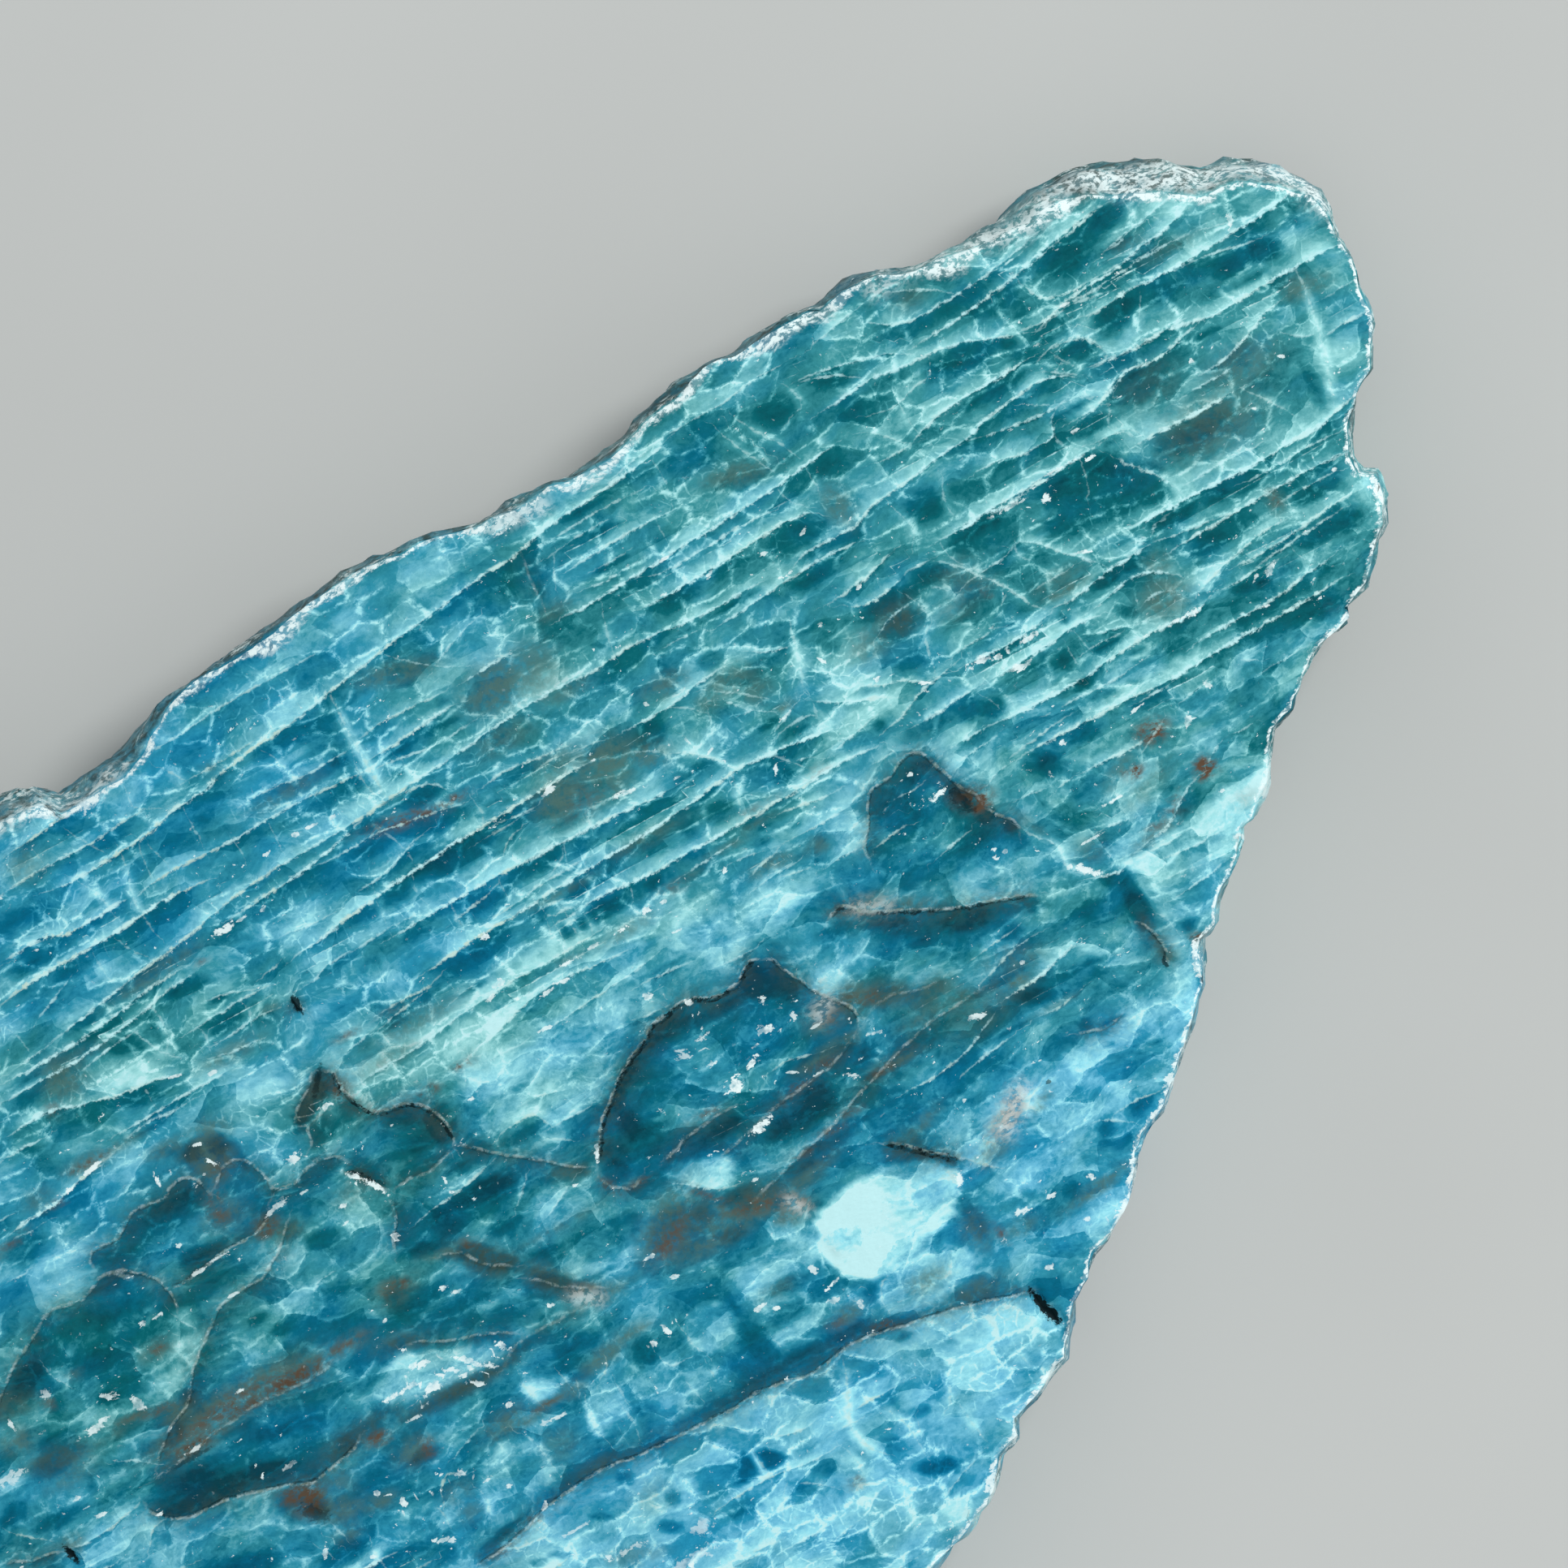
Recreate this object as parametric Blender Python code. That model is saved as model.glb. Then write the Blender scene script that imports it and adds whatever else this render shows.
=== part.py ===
"""A sawn slice of blue apatite: two flat sawn faces and a rough natural edge all the way round.

The outline is written as the face is seen, in millimetres right and up, and is then turned so
that the crystal's growth lines lie along X. The slice lies on its lower sawn face.
"""

import math

import bmesh
import bpy
from mathutils import Matrix, Vector, noise

MM = 0.001
THICKNESS = 6.0
GRAIN_TILT = math.radians(29.0)  # the growth lines rise this much to the right, as the face is seen

# Each point is (right, up, skin): skin is how far the rough natural skin stands out past the
# upper sawn face there, seen from above.
LONG_EDGE = [
    (0.0, 28.4, 0.7), (1.1, 28.9, 0.8), (2.0, 28.6, 0.8), (2.9, 29.2, 0.9), (4.0, 30.1, 1.0),
    (4.5, 30.6, 1.0), (5.2, 31.3, 0.7), (5.9, 32.1, 0.4), (6.7, 32.6, 0.2), (7.9, 33.4, 0.2),
    (8.6, 34.0, 0.4), (9.5, 34.6, 0.4), (10.3, 35.3, 0.4), (11.6, 36.2, 0.4), (12.5, 36.8, 0.4),
    (13.3, 37.1, 0.2), (14.2, 37.4, 0.1), (15.1, 37.8, 0.1), (16.0, 38.2, 0.1), (17.7, 38.7, 0.2),
    (18.1, 39.2, 0.4), (19.2, 39.7, 0.4), (20.2, 40.0, 0.2), (21.0, 40.3, 0.2), (21.7, 40.9, 0.4),
    (22.5, 41.5, 0.4), (23.2, 42.3, 0.5), (23.9, 43.0, 0.5), (25.1, 44.0, 0.4), (25.9, 44.5, 0.2),
    (26.8, 44.9, 0.2), (27.8, 45.5, 0.2), (28.6, 45.9, 0.2), (29.2, 46.4, 0.3), (30.1, 46.8, 0.4),
    (30.8, 47.4, 0.4), (31.6, 47.8, 0.4), (32.4, 48.2, 0.3), (33.3, 48.1, 0.3), (34.2, 48.4, 0.3),
    (34.9, 48.8, 0.4), (35.9, 49.3, 0.6), (36.7, 49.8, 0.7), (37.4, 50.5, 0.9), (38.0, 51.1, 1.0),
]
TIP = [
    (38.9, 51.5, 1.1), (39.8, 51.9, 1.2), (40.6, 52.0, 1.3), (42.0, 52.3, 1.5), (43.2, 52.3, 1.4),
    (44.4, 52.0, 1.3), (45.4, 52.2, 1.1), (46.4, 52.2, 1.0), (47.2, 51.9, 0.8), (48.1, 51.5, 0.7),
    (48.9, 51.0, 0.5), (49.3, 50.2, 0.3), (49.6, 49.3, 0.2), (50.2, 48.4, 0.2), (50.4, 47.4, 0.2),
    (50.9, 46.4, 0.2), (50.9, 45.4, 0.2), (50.8, 44.3, 0.2),
]
NOTCH = [
    (50.3, 43.4, 0.2), (50.1, 42.1, 0.3), (50.2, 41.2, 0.4), (50.5, 40.6, 0.4), (51.1, 40.6, 0.5),
    (51.4, 39.8, 0.5), (51.5, 38.6, 0.4), (51.1, 37.9, 0.3), (50.9, 37.0, 0.3), (50.7, 36.3, 0.2),
    (49.9, 35.5, 0.2), (50.0, 35.1, 0.2), (49.2, 34.4, 0.1),
]
CHIPPED_EDGE = [
    (48.7, 33.9, 0.1), (48.2, 32.8, 0.1), (47.9, 31.7, 0.2), (47.3, 31.0, 0.2), (47.1, 30.1, 0.2),
    (47.0, 28.9, 0.2), (46.5, 27.7, 0.2), (46.0, 27.3, 0.2), (45.8, 26.3, 0.1), (45.2, 24.8, 0.1),
    (45.0, 23.8, 0.1), (44.5, 23.2, 0.2), (44.5, 22.6, 0.2), (44.6, 21.5, 0.2), (44.3, 20.5, 0.2),
    (44.0, 19.6, 0.2), (43.6, 18.6, 0.1), (43.3, 17.6, 0.1), (43.0, 16.7, 0.1), (42.3, 16.0, 0.1),
    (42.1, 15.2, 0.2), (42.1, 14.5, 0.2), (41.9, 13.6, 0.2), (41.7, 13.0, 0.2), (40.9, 12.1, 0.1),
    (40.5, 11.6, 0.1), (40.3, 10.7, 0.1), (39.8, 9.8, 0.1), (39.6, 8.8, 0.1), (39.5, 7.7, 0.2),
    (38.9, 7.0, 0.2), (38.3, 6.2, 0.2), (37.6, 5.5, 0.1), (37.8, 4.8, 0.2), (37.1, 4.1, 0.2),
    (36.8, 3.1, 0.1), (36.6, 2.3, 0.1), (36.0, 1.6, 0.1), (35.3, 0.8, 0.1), (34.6, 0.0, 0.1),
]
# The broad end is a guess, so it has a plain route, which is cut finer and roughened below.
BROAD_END = [
    (34.6, 0.0, 0.1), (33.8, -2.4, 0.1), (32.9, -3.6, 0.1), (32.4, -7.2, 0.2), (30.2, -10.6, 0.2),
    (28.3, -11.6, 0.2), (27.4, -15.8, 0.2), (23.4, -18.0, 0.3), (22.6, -20.4, 0.3),
    (17.6, -23.6, 0.3), (14.6, -24.0, 0.3), (12.6, -27.4, 0.4), (7.6, -29.6, 0.5),
    (4.2, -29.0, 0.5), (0.8, -31.2, 0.5), (-6.2, -32.0, 0.4), (-8.4, -30.8, 0.4),
    (-13.6, -32.4, 0.5), (-17.6, -30.2, 0.6), (-19.4, -27.0, 0.5), (-24.6, -25.4, 0.4),
    (-26.0, -22.2, 0.4), (-31.2, -19.6, 0.4), (-34.4, -14.6, 0.5), (-34.0, -11.8, 0.6),
    (-35.8, -7.8, 0.6), (-32.8, -4.0, 0.6), (-32.4, -0.4, 0.5), (-29.4, 1.6, 0.4),
    (-27.0, 6.4, 0.5), (-24.2, 7.6, 0.6), (-22.4, 11.6, 0.5), (-18.8, 13.0, 0.6),
    (-15.6, 17.4, 0.7), (-12.4, 18.2, 0.6), (-9.2, 22.4, 0.6), (-5.8, 23.4, 0.7),
    (-3.6, 26.6, 0.7), (0.0, 28.4, 0.7),
]
BROAD_STEP = 1.15  # the finer spacing along the broad end
BUMP_REACH = 1.1  # how far the broad end's bumps and hollows stray from its route
BUMP_GRAIN = 0.31  # bumps per millimetre
CHIP_REACH = 0.5
CHIP_GRAIN = 0.93
CHIP_LAYER = 7.0  # keeps the chips' pattern apart from the bumps' one

# The edge from the lower face to the upper one: (height, share of the skin taken in, undercut).
EDGE_LEVELS = [
    (0.0, 0.0, 0.75), (0.9, 0.0, 0.40), (2.0, 0.0, 0.16), (3.2, 0.0, 0.0),
    (4.3, 0.12, 0.0), (5.2, 0.48, 0.0), (6.0, 1.0, 0.0),
]
HOLLOW_DEPTH = 0.26  # how deep the natural edge is broken into between the faces
HOLLOW_GRAIN = Vector((0.45, 0.45, 0.9))
HOLLOW_SHARE = 0.15  # more than 0 hollows out over half of the edge
OUTWARD_REACHES = (1, 2, 3)  # how many neighbours on each side the outward direction looks past
SKIN_COLOUR = (0.06, 0.36, 0.46, 1.0)


def left_of(along):
    """The direction to the left of a run, which is outward, as the outline runs clockwise."""
    return Vector((-along.y, along.x)).normalized()


def cut_finer(route, step):
    """The route with points added about a step apart, each pushed in or out like broken stone."""
    finer = []
    for start, end in zip(route, route[1:]):
        along = Vector(end[:2]) - Vector(start[:2])
        outward = left_of(along)
        count = max(1, round(along.length / step))
        for index in range(count):
            share = index / count
            spot = Vector(start[:2]) + along * share
            bump = noise.noise(Vector((spot.x, spot.y, 0.0)) * BUMP_GRAIN)
            chip = noise.noise(Vector((spot.x, spot.y, CHIP_LAYER)) * CHIP_GRAIN)
            spot += outward * (bump * BUMP_REACH + chip * CHIP_REACH)
            finer.append((spot.x, spot.y, start[2] + (end[2] - start[2]) * share))
    return finer


def whole_outline():
    """The whole edge, clockwise as the face is seen, then turned so that the grain is along X."""
    broad = cut_finer(BROAD_END, BROAD_STEP)
    points = LONG_EDGE + TIP + NOTCH + CHIPPED_EDGE + broad[1:]
    turn = Matrix.Rotation(-GRAIN_TILT, 2)
    return [(turn @ Vector(point[:2]), point[2]) for point in points]


def outward_of(outline, index):
    """The outward direction of the edge at one point, smoothed over its neighbours."""
    count = len(outline)
    total = Vector((0.0, 0.0))
    for reach in OUTWARD_REACHES:
        before = outline[(index - reach) % count][0]
        after = outline[(index + reach) % count][0]
        total += left_of(after - before)
    return total.normalized()


def edge_spot(outline, index, level):
    """Where the natural edge runs at one point of the outline and one of the edge levels."""
    height, skin_share, undercut = level
    spot, skin = outline[index]
    inset = skin * skin_share + undercut
    if 0.0 < height < THICKNESS:
        place = HOLLOW_GRAIN * Vector((spot.x, spot.y, height))
        inset += HOLLOW_DEPTH * max(0.0, noise.noise(place) + HOLLOW_SHARE)
    inside = spot - outward_of(outline, index) * inset
    return Vector((inside.x, inside.y, height))


def edges_around(mesh, ring):
    """The edges that join each vertex of a ring to the next."""
    return [mesh.edges.get((ring[index - 1], ring[index])) for index in range(len(ring))]


def raised_ring(mesh, ring):
    """A ring extruded from the last one, with its vertices in the same order."""
    made = bmesh.ops.extrude_edge_only(mesh, edges=edges_around(mesh, ring))["geom"]
    fresh = {item for item in made if isinstance(item, bmesh.types.BMVert)}
    raised = []
    for vert in ring:
        linked = {edge.other_vert(vert) for edge in vert.link_edges}
        raised += linked & fresh
    return raised


def slice_mesh():
    """The slice: its lower outline raised level by level, and both sawn faces filled in."""
    outline = whole_outline()
    count = len(outline)
    mesh = bmesh.new()
    ring = [mesh.verts.new(edge_spot(outline, index, EDGE_LEVELS[0])) for index in range(count)]
    for index in range(count):
        mesh.edges.new((ring[index - 1], ring[index]))
    bmesh.ops.contextual_create(mesh, geom=edges_around(mesh, ring))
    for level in EDGE_LEVELS[1:]:
        ring = raised_ring(mesh, ring)
        for index, vert in enumerate(ring):
            vert.co = edge_spot(outline, index, level)
    bmesh.ops.contextual_create(mesh, geom=edges_around(mesh, ring))
    bmesh.ops.recalc_face_normals(mesh, faces=mesh.faces)
    return mesh


def centre_over_origin(mesh):
    """Moves the slice so that the middle of its outline stands over the origin."""
    low = Vector(min(vert.co[axis] for vert in mesh.verts) for axis in range(3))
    high = Vector(max(vert.co[axis] for vert in mesh.verts) for axis in range(3))
    middle = Vector(((low.x + high.x) / 2.0, (low.y + high.y) / 2.0, low.z))
    bmesh.ops.translate(mesh, verts=mesh.verts, vec=-middle)


def apatite_material():
    """Blue-green stone with a soft sawn sheen."""
    material = bpy.data.materials.new("apatite")
    material.use_nodes = True
    shader = material.node_tree.nodes["Principled BSDF"]
    shader.inputs["Base Color"].default_value = SKIN_COLOUR
    shader.inputs["Roughness"].default_value = 0.35
    shader.inputs["Metallic"].default_value = 0.0
    return material


def build_slice():
    """The one object: the stone itself, since the crystals in it have grown together."""
    collection = bpy.data.collections.new("blue_apatite_slice")
    bpy.context.scene.collection.children.link(collection)
    stone = slice_mesh()
    centre_over_origin(stone)
    bmesh.ops.scale(stone, vec=Vector((MM, MM, MM)), verts=stone.verts)
    mesh = bpy.data.meshes.new("apatite_slice")
    stone.to_mesh(mesh)
    stone.free()
    mesh.materials.append(apatite_material())
    piece = bpy.data.objects.new("apatite_slice", mesh)
    collection.objects.link(piece)


for old in list(bpy.data.objects):
    bpy.data.objects.remove(old)
build_slice()
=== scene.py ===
"""The looks of a sawn slice of blue apatite, laid out as an add-on and run as a script.

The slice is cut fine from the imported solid, its broken edge and its cracks are worked into the
mesh, and what the stone shows is written to the mesh as attributes that its material reads.
All places are millimetres in the part's own frame, looking down on the upper sawn face.
"""

import math
import random
from types import SimpleNamespace

import bmesh
import bpy
import numpy as np
from bpy.props import FloatProperty, FloatVectorProperty, PointerProperty
from bpy.types import Operator, Panel, PropertyGroup
from mathutils import Euler, Matrix, Vector, kdtree, noise


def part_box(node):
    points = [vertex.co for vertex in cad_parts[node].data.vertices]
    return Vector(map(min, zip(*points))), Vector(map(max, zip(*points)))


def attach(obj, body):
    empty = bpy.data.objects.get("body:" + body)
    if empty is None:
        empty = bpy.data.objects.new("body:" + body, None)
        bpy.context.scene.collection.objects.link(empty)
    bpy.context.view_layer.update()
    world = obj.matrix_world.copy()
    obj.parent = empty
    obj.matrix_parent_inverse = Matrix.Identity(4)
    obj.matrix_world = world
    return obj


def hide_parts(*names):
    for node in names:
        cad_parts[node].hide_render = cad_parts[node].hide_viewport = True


bl_info = {
    "name": "Blue apatite slice",
    "version": (1, 0, 0),
    "blender": (4, 5, 0),
    "location": "3D View > Sidebar > Apatite",
    "description": "Makes a sawn slice of blue apatite with veins, cracks and a natural edge",
    "category": "Object",
}

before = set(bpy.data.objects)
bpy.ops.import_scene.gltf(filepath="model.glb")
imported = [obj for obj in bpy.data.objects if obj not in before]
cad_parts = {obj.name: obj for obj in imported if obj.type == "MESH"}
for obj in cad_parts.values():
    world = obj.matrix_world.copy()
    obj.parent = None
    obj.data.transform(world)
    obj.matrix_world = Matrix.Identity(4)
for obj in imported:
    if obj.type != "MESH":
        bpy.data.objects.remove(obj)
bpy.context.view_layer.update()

MM = 0.001
NODE = "apatite_slice"
LOW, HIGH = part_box(NODE)
THICKNESS = (HIGH[2] - LOW[2]) / MM
VEIN_DIP = (0.25, 0.35)  # how far a vein leans along and across for each millimetre of depth

# The photograph's frame: what the camera sees, in the part's own frame.
GRAIN_TILT = math.radians(29.0)  # the grain rises this much to the right in the picture
SEEN_MIDDLE = Vector((24.2623, 13.2858))  # where the middle of the picture falls
SEEN_WIDTH = 57.96
SENSOR_WIDTH = 36.0

FAR = 9.0  # millimetres, a distance past which no vein or crack shows
LAYER_GAP = 0.75  # veins closer than this are kept in separate layers
VEIN_LAYERS = ("veins_1", "veins_2", "veins_3", "veins_4")
CRACK_LAYERS = ("cracks_1", "cracks_2")
SPECK_LAYERS = ("specks_1", "specks_2")
VEIN_TAPER = 0.9  # millimetres over which a vein fades out at its ends
CRACK_TAPER = 0.35
LINE_REACH = 2.5  # how far from a vein or a crack its distance is still worked out
SPECK_REACH = 1.5
FAINTEST_END = 0.15  # the share of its strength that a line keeps at its very ends
LEVEL_SLACK = 0.01  # how near a sawn face's height a place counts as on it
GUESSED_LIMIT = 14.0  # how far towards the tip the random marks of the broad end may start


def from_hex(code):
    """A colour as three linear parts, from its usual six-letter code."""
    shares = [int(code[start:start + 2], 16) / 255.0 for start in (0, 2, 4)]
    return tuple(s / 12.92 if s <= 0.04045 else ((s + 0.055) / 1.055) ** 2.4 for s in shares)


def rgba(colour):
    """A colour property as a full colour for a socket."""
    return (*colour, 1.0)


def colour_property(name, description, code):
    """A colour that a user may change."""
    return FloatVectorProperty(name=name, description=description, default=from_hex(code),
                               size=3, min=0.0, max=1.0, subtype="COLOR")


# The light veins: (strength, x, y, x, y, ...). A vein that runs along the grain has a dark side below it.
VEINS = [
    (0.7, -2.2, 24.9, -1, 25, 0.6, 25.15, 1.2, 25.2),
    (0.6, -3, 23.75, -1.5, 23.85, 0.5, 23.8, 2, 23.9, 3, 23.9),
    (0.8, -1.6, 23.05, -0.6, 22.9, 1, 22.95, 3, 23.1, 4, 23.4, 5.2, 23.45, 6.4, 23.75, 7.8, 23.95, 9.5,
     24.1, 11.4, 24.45, 13.2, 24.75, 15, 25, 16.6, 25.2, 18, 25.4, 19.6, 25.5, 21.2, 25.85, 22.6, 25.95,
     24.2, 26.1, 25.6, 26.25, 27, 26.6),
    (0.9, -4.2, 21.55, -2.4, 21.6, -1.7, 21.3, -0.6, 21.3, 0.6, 21.35, 1.2, 21.3),
    (0.6, 1.2, 21.2, 2.4, 21.45, 4, 21.4, 5.2, 21.35, 6.8, 21.4, 8.2, 21.4, 9.8, 21.3, 11, 21.2),
    (0.9, -5, 20.2, -3.4, 20.4, -1.5, 20.45, 0.5, 20.5, 2, 20.65, 4, 20.5),
    (0.5, -4.2, 19, -3, 19.5, -2.2, 19.85),
    (0.7, -3.9, 18.1, -2, 18.4, 0, 18.75, 2, 19, 4, 19.4, 6, 19.65, 9.6, 19.75, 11, 19.85, 12.4, 20, 14,
     20.1, 15.4, 20.25, 16.4, 20.35, 18, 20.45, 19.2, 20.4, 20.4, 20.35, 21.4, 20.5, 22.6, 20.45, 23.8,
     20.3, 25, 20.2, 26.4, 20.25, 27.2, 20.25), (0.6, 1.6, 23, 1.5, 22.3, 1.2, 21.3, 1.2, 20.4, 1.25, 19.6),
    (0.6, -0.4, 22.9, 0, 22.2, 0.2, 21.5, 0.3, 20.9), (0.4, -1.25, 24.8, -1.1, 24),
    (0.4, 0.2, 24.7, 0.6, 24, 1, 23.3), (0.5, -1.1, 20.3, -1.1, 19.6, -1, 18.8),
    (0.4, -5.3, 19.5, -5, 18.7, -4.9, 18.2), (0.4, 2.3, 22.9, 2.2, 22.2, 2.1, 21.5),
    (0.3, 2.6, 22.7, 2.9, 21.7), (0.4, -0.2, 20.4, 0.2, 19.6, 0.6, 19.1),
    (0.35, 2.9, 25, 2.8, 24.2, 3.4, 23.8, 3.9, 23.6), (0.5, 4.8, 24.1, 6.4, 24.1, 8, 24.2),
    (0.4, 4, 25.7, 5.5, 25.7, 7, 25.85, 8.4, 25.9, 10, 25.9, 11.5, 25.9),
    (0.5, 6.2, 22.3, 7.6, 22.35, 9, 22.15, 10.8, 22.2),
    (0.5, 11.3, 22.35, 12.4, 22.5, 13.6, 22.45, 15, 22.35), (0.7, 15.6, 22.3, 16.8, 22.4, 18, 22.45),
    (0.8, 11.2, 21.5, 12.4, 21.55, 13.4, 21.65, 14.2, 21.75, 15.2, 21.75),
    (0.4, 11.3, 21.1, 12.3, 21, 13.4, 20.8, 14.4, 20.8, 15.4, 20.9),
    (0.8, 4, 18.85, 5.4, 18.95, 7.6, 19.15, 8.8, 19.4, 10, 19.7),
    (0.5, 7.8, 19, 9, 18.95, 10.2, 19, 11.4, 18.8, 12.6, 18.6, 13.5, 18.4),
    (0.6, 11, 19.8, 12.2, 19.8, 13, 19.55, 13.3, 19), (0.6, 14.4, 18.55, 15.2, 18.7, 16, 18.65, 18, 18.4),
    (0.9, 11.2, 24.4, 11.15, 23.4, 11.1, 22.6, 11.15, 21.6, 11.15, 20.6, 11.15, 20),
    (0.6, 10.8, 21.9, 10.7, 21, 10.8, 20.3), (0.4, 4.4, 23.2, 4.4, 22.4, 4.35, 21.6),
    (0.5, 4.4, 25, 4.8, 24.4, 5, 24.1), (0.3, 8, 23.7, 8.3, 23.2, 8.6, 22.4),
    (0.3, 9.8, 25.8, 9.95, 25.2, 10, 24.3), (0.3, 5.5, 21.2, 5.5, 20.4), (0.35, 6.9, 21.2, 6.85, 20.3),
    (0.3, 12.3, 20.9, 12.4, 20.3), (0.4, 14.9, 23.3, 16.2, 23.85, 17.4, 24.2),
    (0.3, 13.6, 24.7, 14.3, 24, 15.3, 23.2, 16.3, 22.7), (0.35, 20.6, 25.3, 23, 25.45, 25, 25.35),
    (0.4, 20.8, 24.85, 22.2, 25, 23.4, 25),
    (0.6, 21, 24.05, 22.4, 24.15, 23.6, 24.2, 24.8, 24.2, 25.6, 24.1), (0.5, 22, 23.6, 23.2, 23.6),
    (0.5, 21.1, 23.2, 22, 23.05, 23.4, 23.1),
    (0.8, 20, 22.65, 21.5, 22.6, 23.2, 22.7, 24.4, 22.75, 25.4, 22.8, 26.6, 22.85, 28, 22.95, 29.2, 23,
     30.4, 23.2, 32, 23.35), (0.6, 23.4, 22.5, 24.2, 22.3, 25.2, 22.3, 26.4, 22.35, 27.8, 22.4, 29, 22.3),
    (0.95, 22.7, 21.5, 24, 21.5, 25.4, 21.55, 26.6, 21.6, 28, 21.7, 29, 21.75, 29.9, 21.65, 30.2, 21.4),
    (0.7, 28.4, 20.1, 29.2, 20.4, 30.4, 20.35, 31.4, 20.4, 32, 20.7, 33, 20.8, 34.2, 20.95, 35.2, 21.1,
     36.4, 21.2, 37.4, 21.5, 38.4, 21.6, 39.4, 21.75, 40.4, 21.6, 41, 21.2),
    (0.5, 23, 19.85, 24.2, 19.8, 24.6, 19.6),
    (0.7, 24.7, 19.55, 26, 19.65, 27.2, 19.75, 28.4, 19.85, 29.8, 19.9, 31.2, 19.75),
    (0.6, 28.8, 18.3, 30, 18.4, 31, 18.6, 32, 18.85), (0.5, 20.9, 24.8, 20.6, 24.2, 20.4, 23.7),
    (0.5, 21.5, 22.2, 21.3, 21.5, 21.1, 20.6), (0.5, 28.4, 26, 28.8, 25, 29.2, 24.2, 29.6, 23.4),
    (0.5, 29.2, 26.1, 29.6, 25.3, 30.2, 24.4, 30.6, 23.6), (0.4, 25.8, 26.2, 25.85, 25.2, 25.7, 24.4),
    (0.6, 31.3, 26.4, 31.6, 25.8, 31.6, 25.2, 31, 25), (0.3, 24.8, 24.1, 24.85, 23.3),
    (0.5, 29.3, 22.9, 29.6, 22.2, 30, 21.8), (0.5, 30.6, 22.8, 30.7, 22.2),
    (0.4, 24, 26.2, 25.6, 26.5, 27.4, 26.7, 29, 26.7, 30.4, 26.9, 32, 26.9),
    (0.6, 33, 26.95, 34.2, 27.2, 35.4, 27.4), (0.5, 36.3, 27.4, 37.2, 27, 38.2, 26.4, 38.6, 26.05),
    (0.6, 35.2, 26.8, 35.8, 26.3, 36.6, 26, 38, 26, 39.6, 26.1, 41, 26.3, 42.4, 26.6),
    (0.7, 36.3, 25.1, 38, 25.2, 39.6, 25.4, 41.2, 25.65, 43, 25.95, 45, 26.3),
    (0.6, 32, 26.1, 33.2, 25.9, 34.4, 25.6, 35.4, 25.3, 36.2, 24.8), (0.5, 32, 26, 33.2, 25.6, 34.1, 25),
    (0.7, 32, 24.65, 33.2, 24.7, 34.2, 24.85, 35.6, 24.65, 36.8, 24.6, 38, 24.35, 39, 23.95, 40, 23.6,
     40.3, 23.5), (0.6, 40.6, 23.4, 41.6, 23.75, 43, 23.7, 44.4, 23.8, 46, 24),
    (0.6, 44, 24.7, 45, 24.95, 46, 25),
    (0.5, 40.8, 25.4, 41.1, 24.8, 41.4, 24.3, 42, 24.1, 43.4, 24.05, 45, 24.1),
    (0.95, 34.5, 22, 35.6, 22.4, 36.8, 22.55, 38.4, 22.6, 39.8, 22.65),
    (0.6, 33, 22, 33.8, 21.95, 34.6, 22),
    (0.6, 36.4, 21.1, 37.2, 20.9, 38.4, 20.7, 39.6, 20.6, 40.8, 20.6, 41.4, 20.2),
    (0.6, 40, 20.4, 40.8, 20.4, 41.3, 20.1), (0.5, 38.6, 21.4, 39.2, 21, 39.8, 20.7),
    (0.8, 36, 19.95, 37, 19.9, 37.8, 19.7, 38.6, 19.65, 39.2, 19.7, 39.3, 20, 39.5, 20.3, 39.8, 20.6),
    (0.6, 39.4, 20, 39.2, 19.4, 39.6, 19, 39.9, 18.7),
    (0.8, 40.2, 19.75, 41, 19.8, 41.6, 20.1, 42.2, 20.4, 43, 20.5, 43.8, 20.35, 44.8, 20.5, 46, 20.8),
    (0.8, 42.2, 23.1, 42.6, 22.95, 43.4, 23, 44.2, 23.1, 46, 22.95),
    (0.7, 42.9, 21.05, 44, 21.1, 45.2, 21.15, 46, 21.1),
    (0.7, 40, 22.4, 40.6, 22.6, 41.6, 22.5, 42.1, 22.1, 42.4, 21.5, 42.2, 21.2, 41.5, 21.2),
    (0.5, 40.6, 22.4, 41, 21.8, 41.4, 21.2),
    (0.95, 34.2, 18.45, 35.4, 18.45, 37, 18.5, 38.4, 18.45, 39.4, 18.6, 40.6, 18.6),
    (0.5, 41, 18.7, 41.6, 18.7, 42, 18.3), (0.5, 41.6, 19.9, 41.3, 19.3, 41.1, 18.8),
    (0.5, 44.8, 18.7, 46, 18.65), (0.6, 34.9, 20.4, 34.6, 19.8, 34.5, 19.2, 34.6, 18.9),
    (0.4, 33, 23.3, 33.6, 22.9, 34.2, 22.2, 34.6, 22), (0.4, 34.8, 23.6, 34.8, 22.8, 34.9, 22.3),
    (0.35, 36.6, 24.5, 36.3, 23.9, 35.6, 23.8, 34.6, 23.5, 33.6, 23.7),
    (0.4, 32.6, 18.6, 33, 19.2, 32.7, 20.4), (0.4, 44.5, 22.7, 44.2, 22.1, 43.8, 21.6),
    (0.9, 5.3, 16.5, 6.2, 16.55, 7.2, 16.7, 8.2, 16.85, 9, 16.9, 9.6, 17.05, 10.6, 17.1, 11.6, 17.2, 12.4,
     17.3, 13.2, 17.3, 14.2, 17.35, 15.2, 17.4, 16.2, 17.45, 17.2, 17.5, 18, 17.5, 18.6, 17.45),
    (0.85, 8.8, 15.35, 9.4, 15.4, 10.4, 15.4, 11.6, 15.45, 12.8, 15.45, 14, 15.45, 15.4, 15.4, 17, 15.35,
     18.4, 15.3, 19.6, 15.2, 20.9, 15.15),
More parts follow.
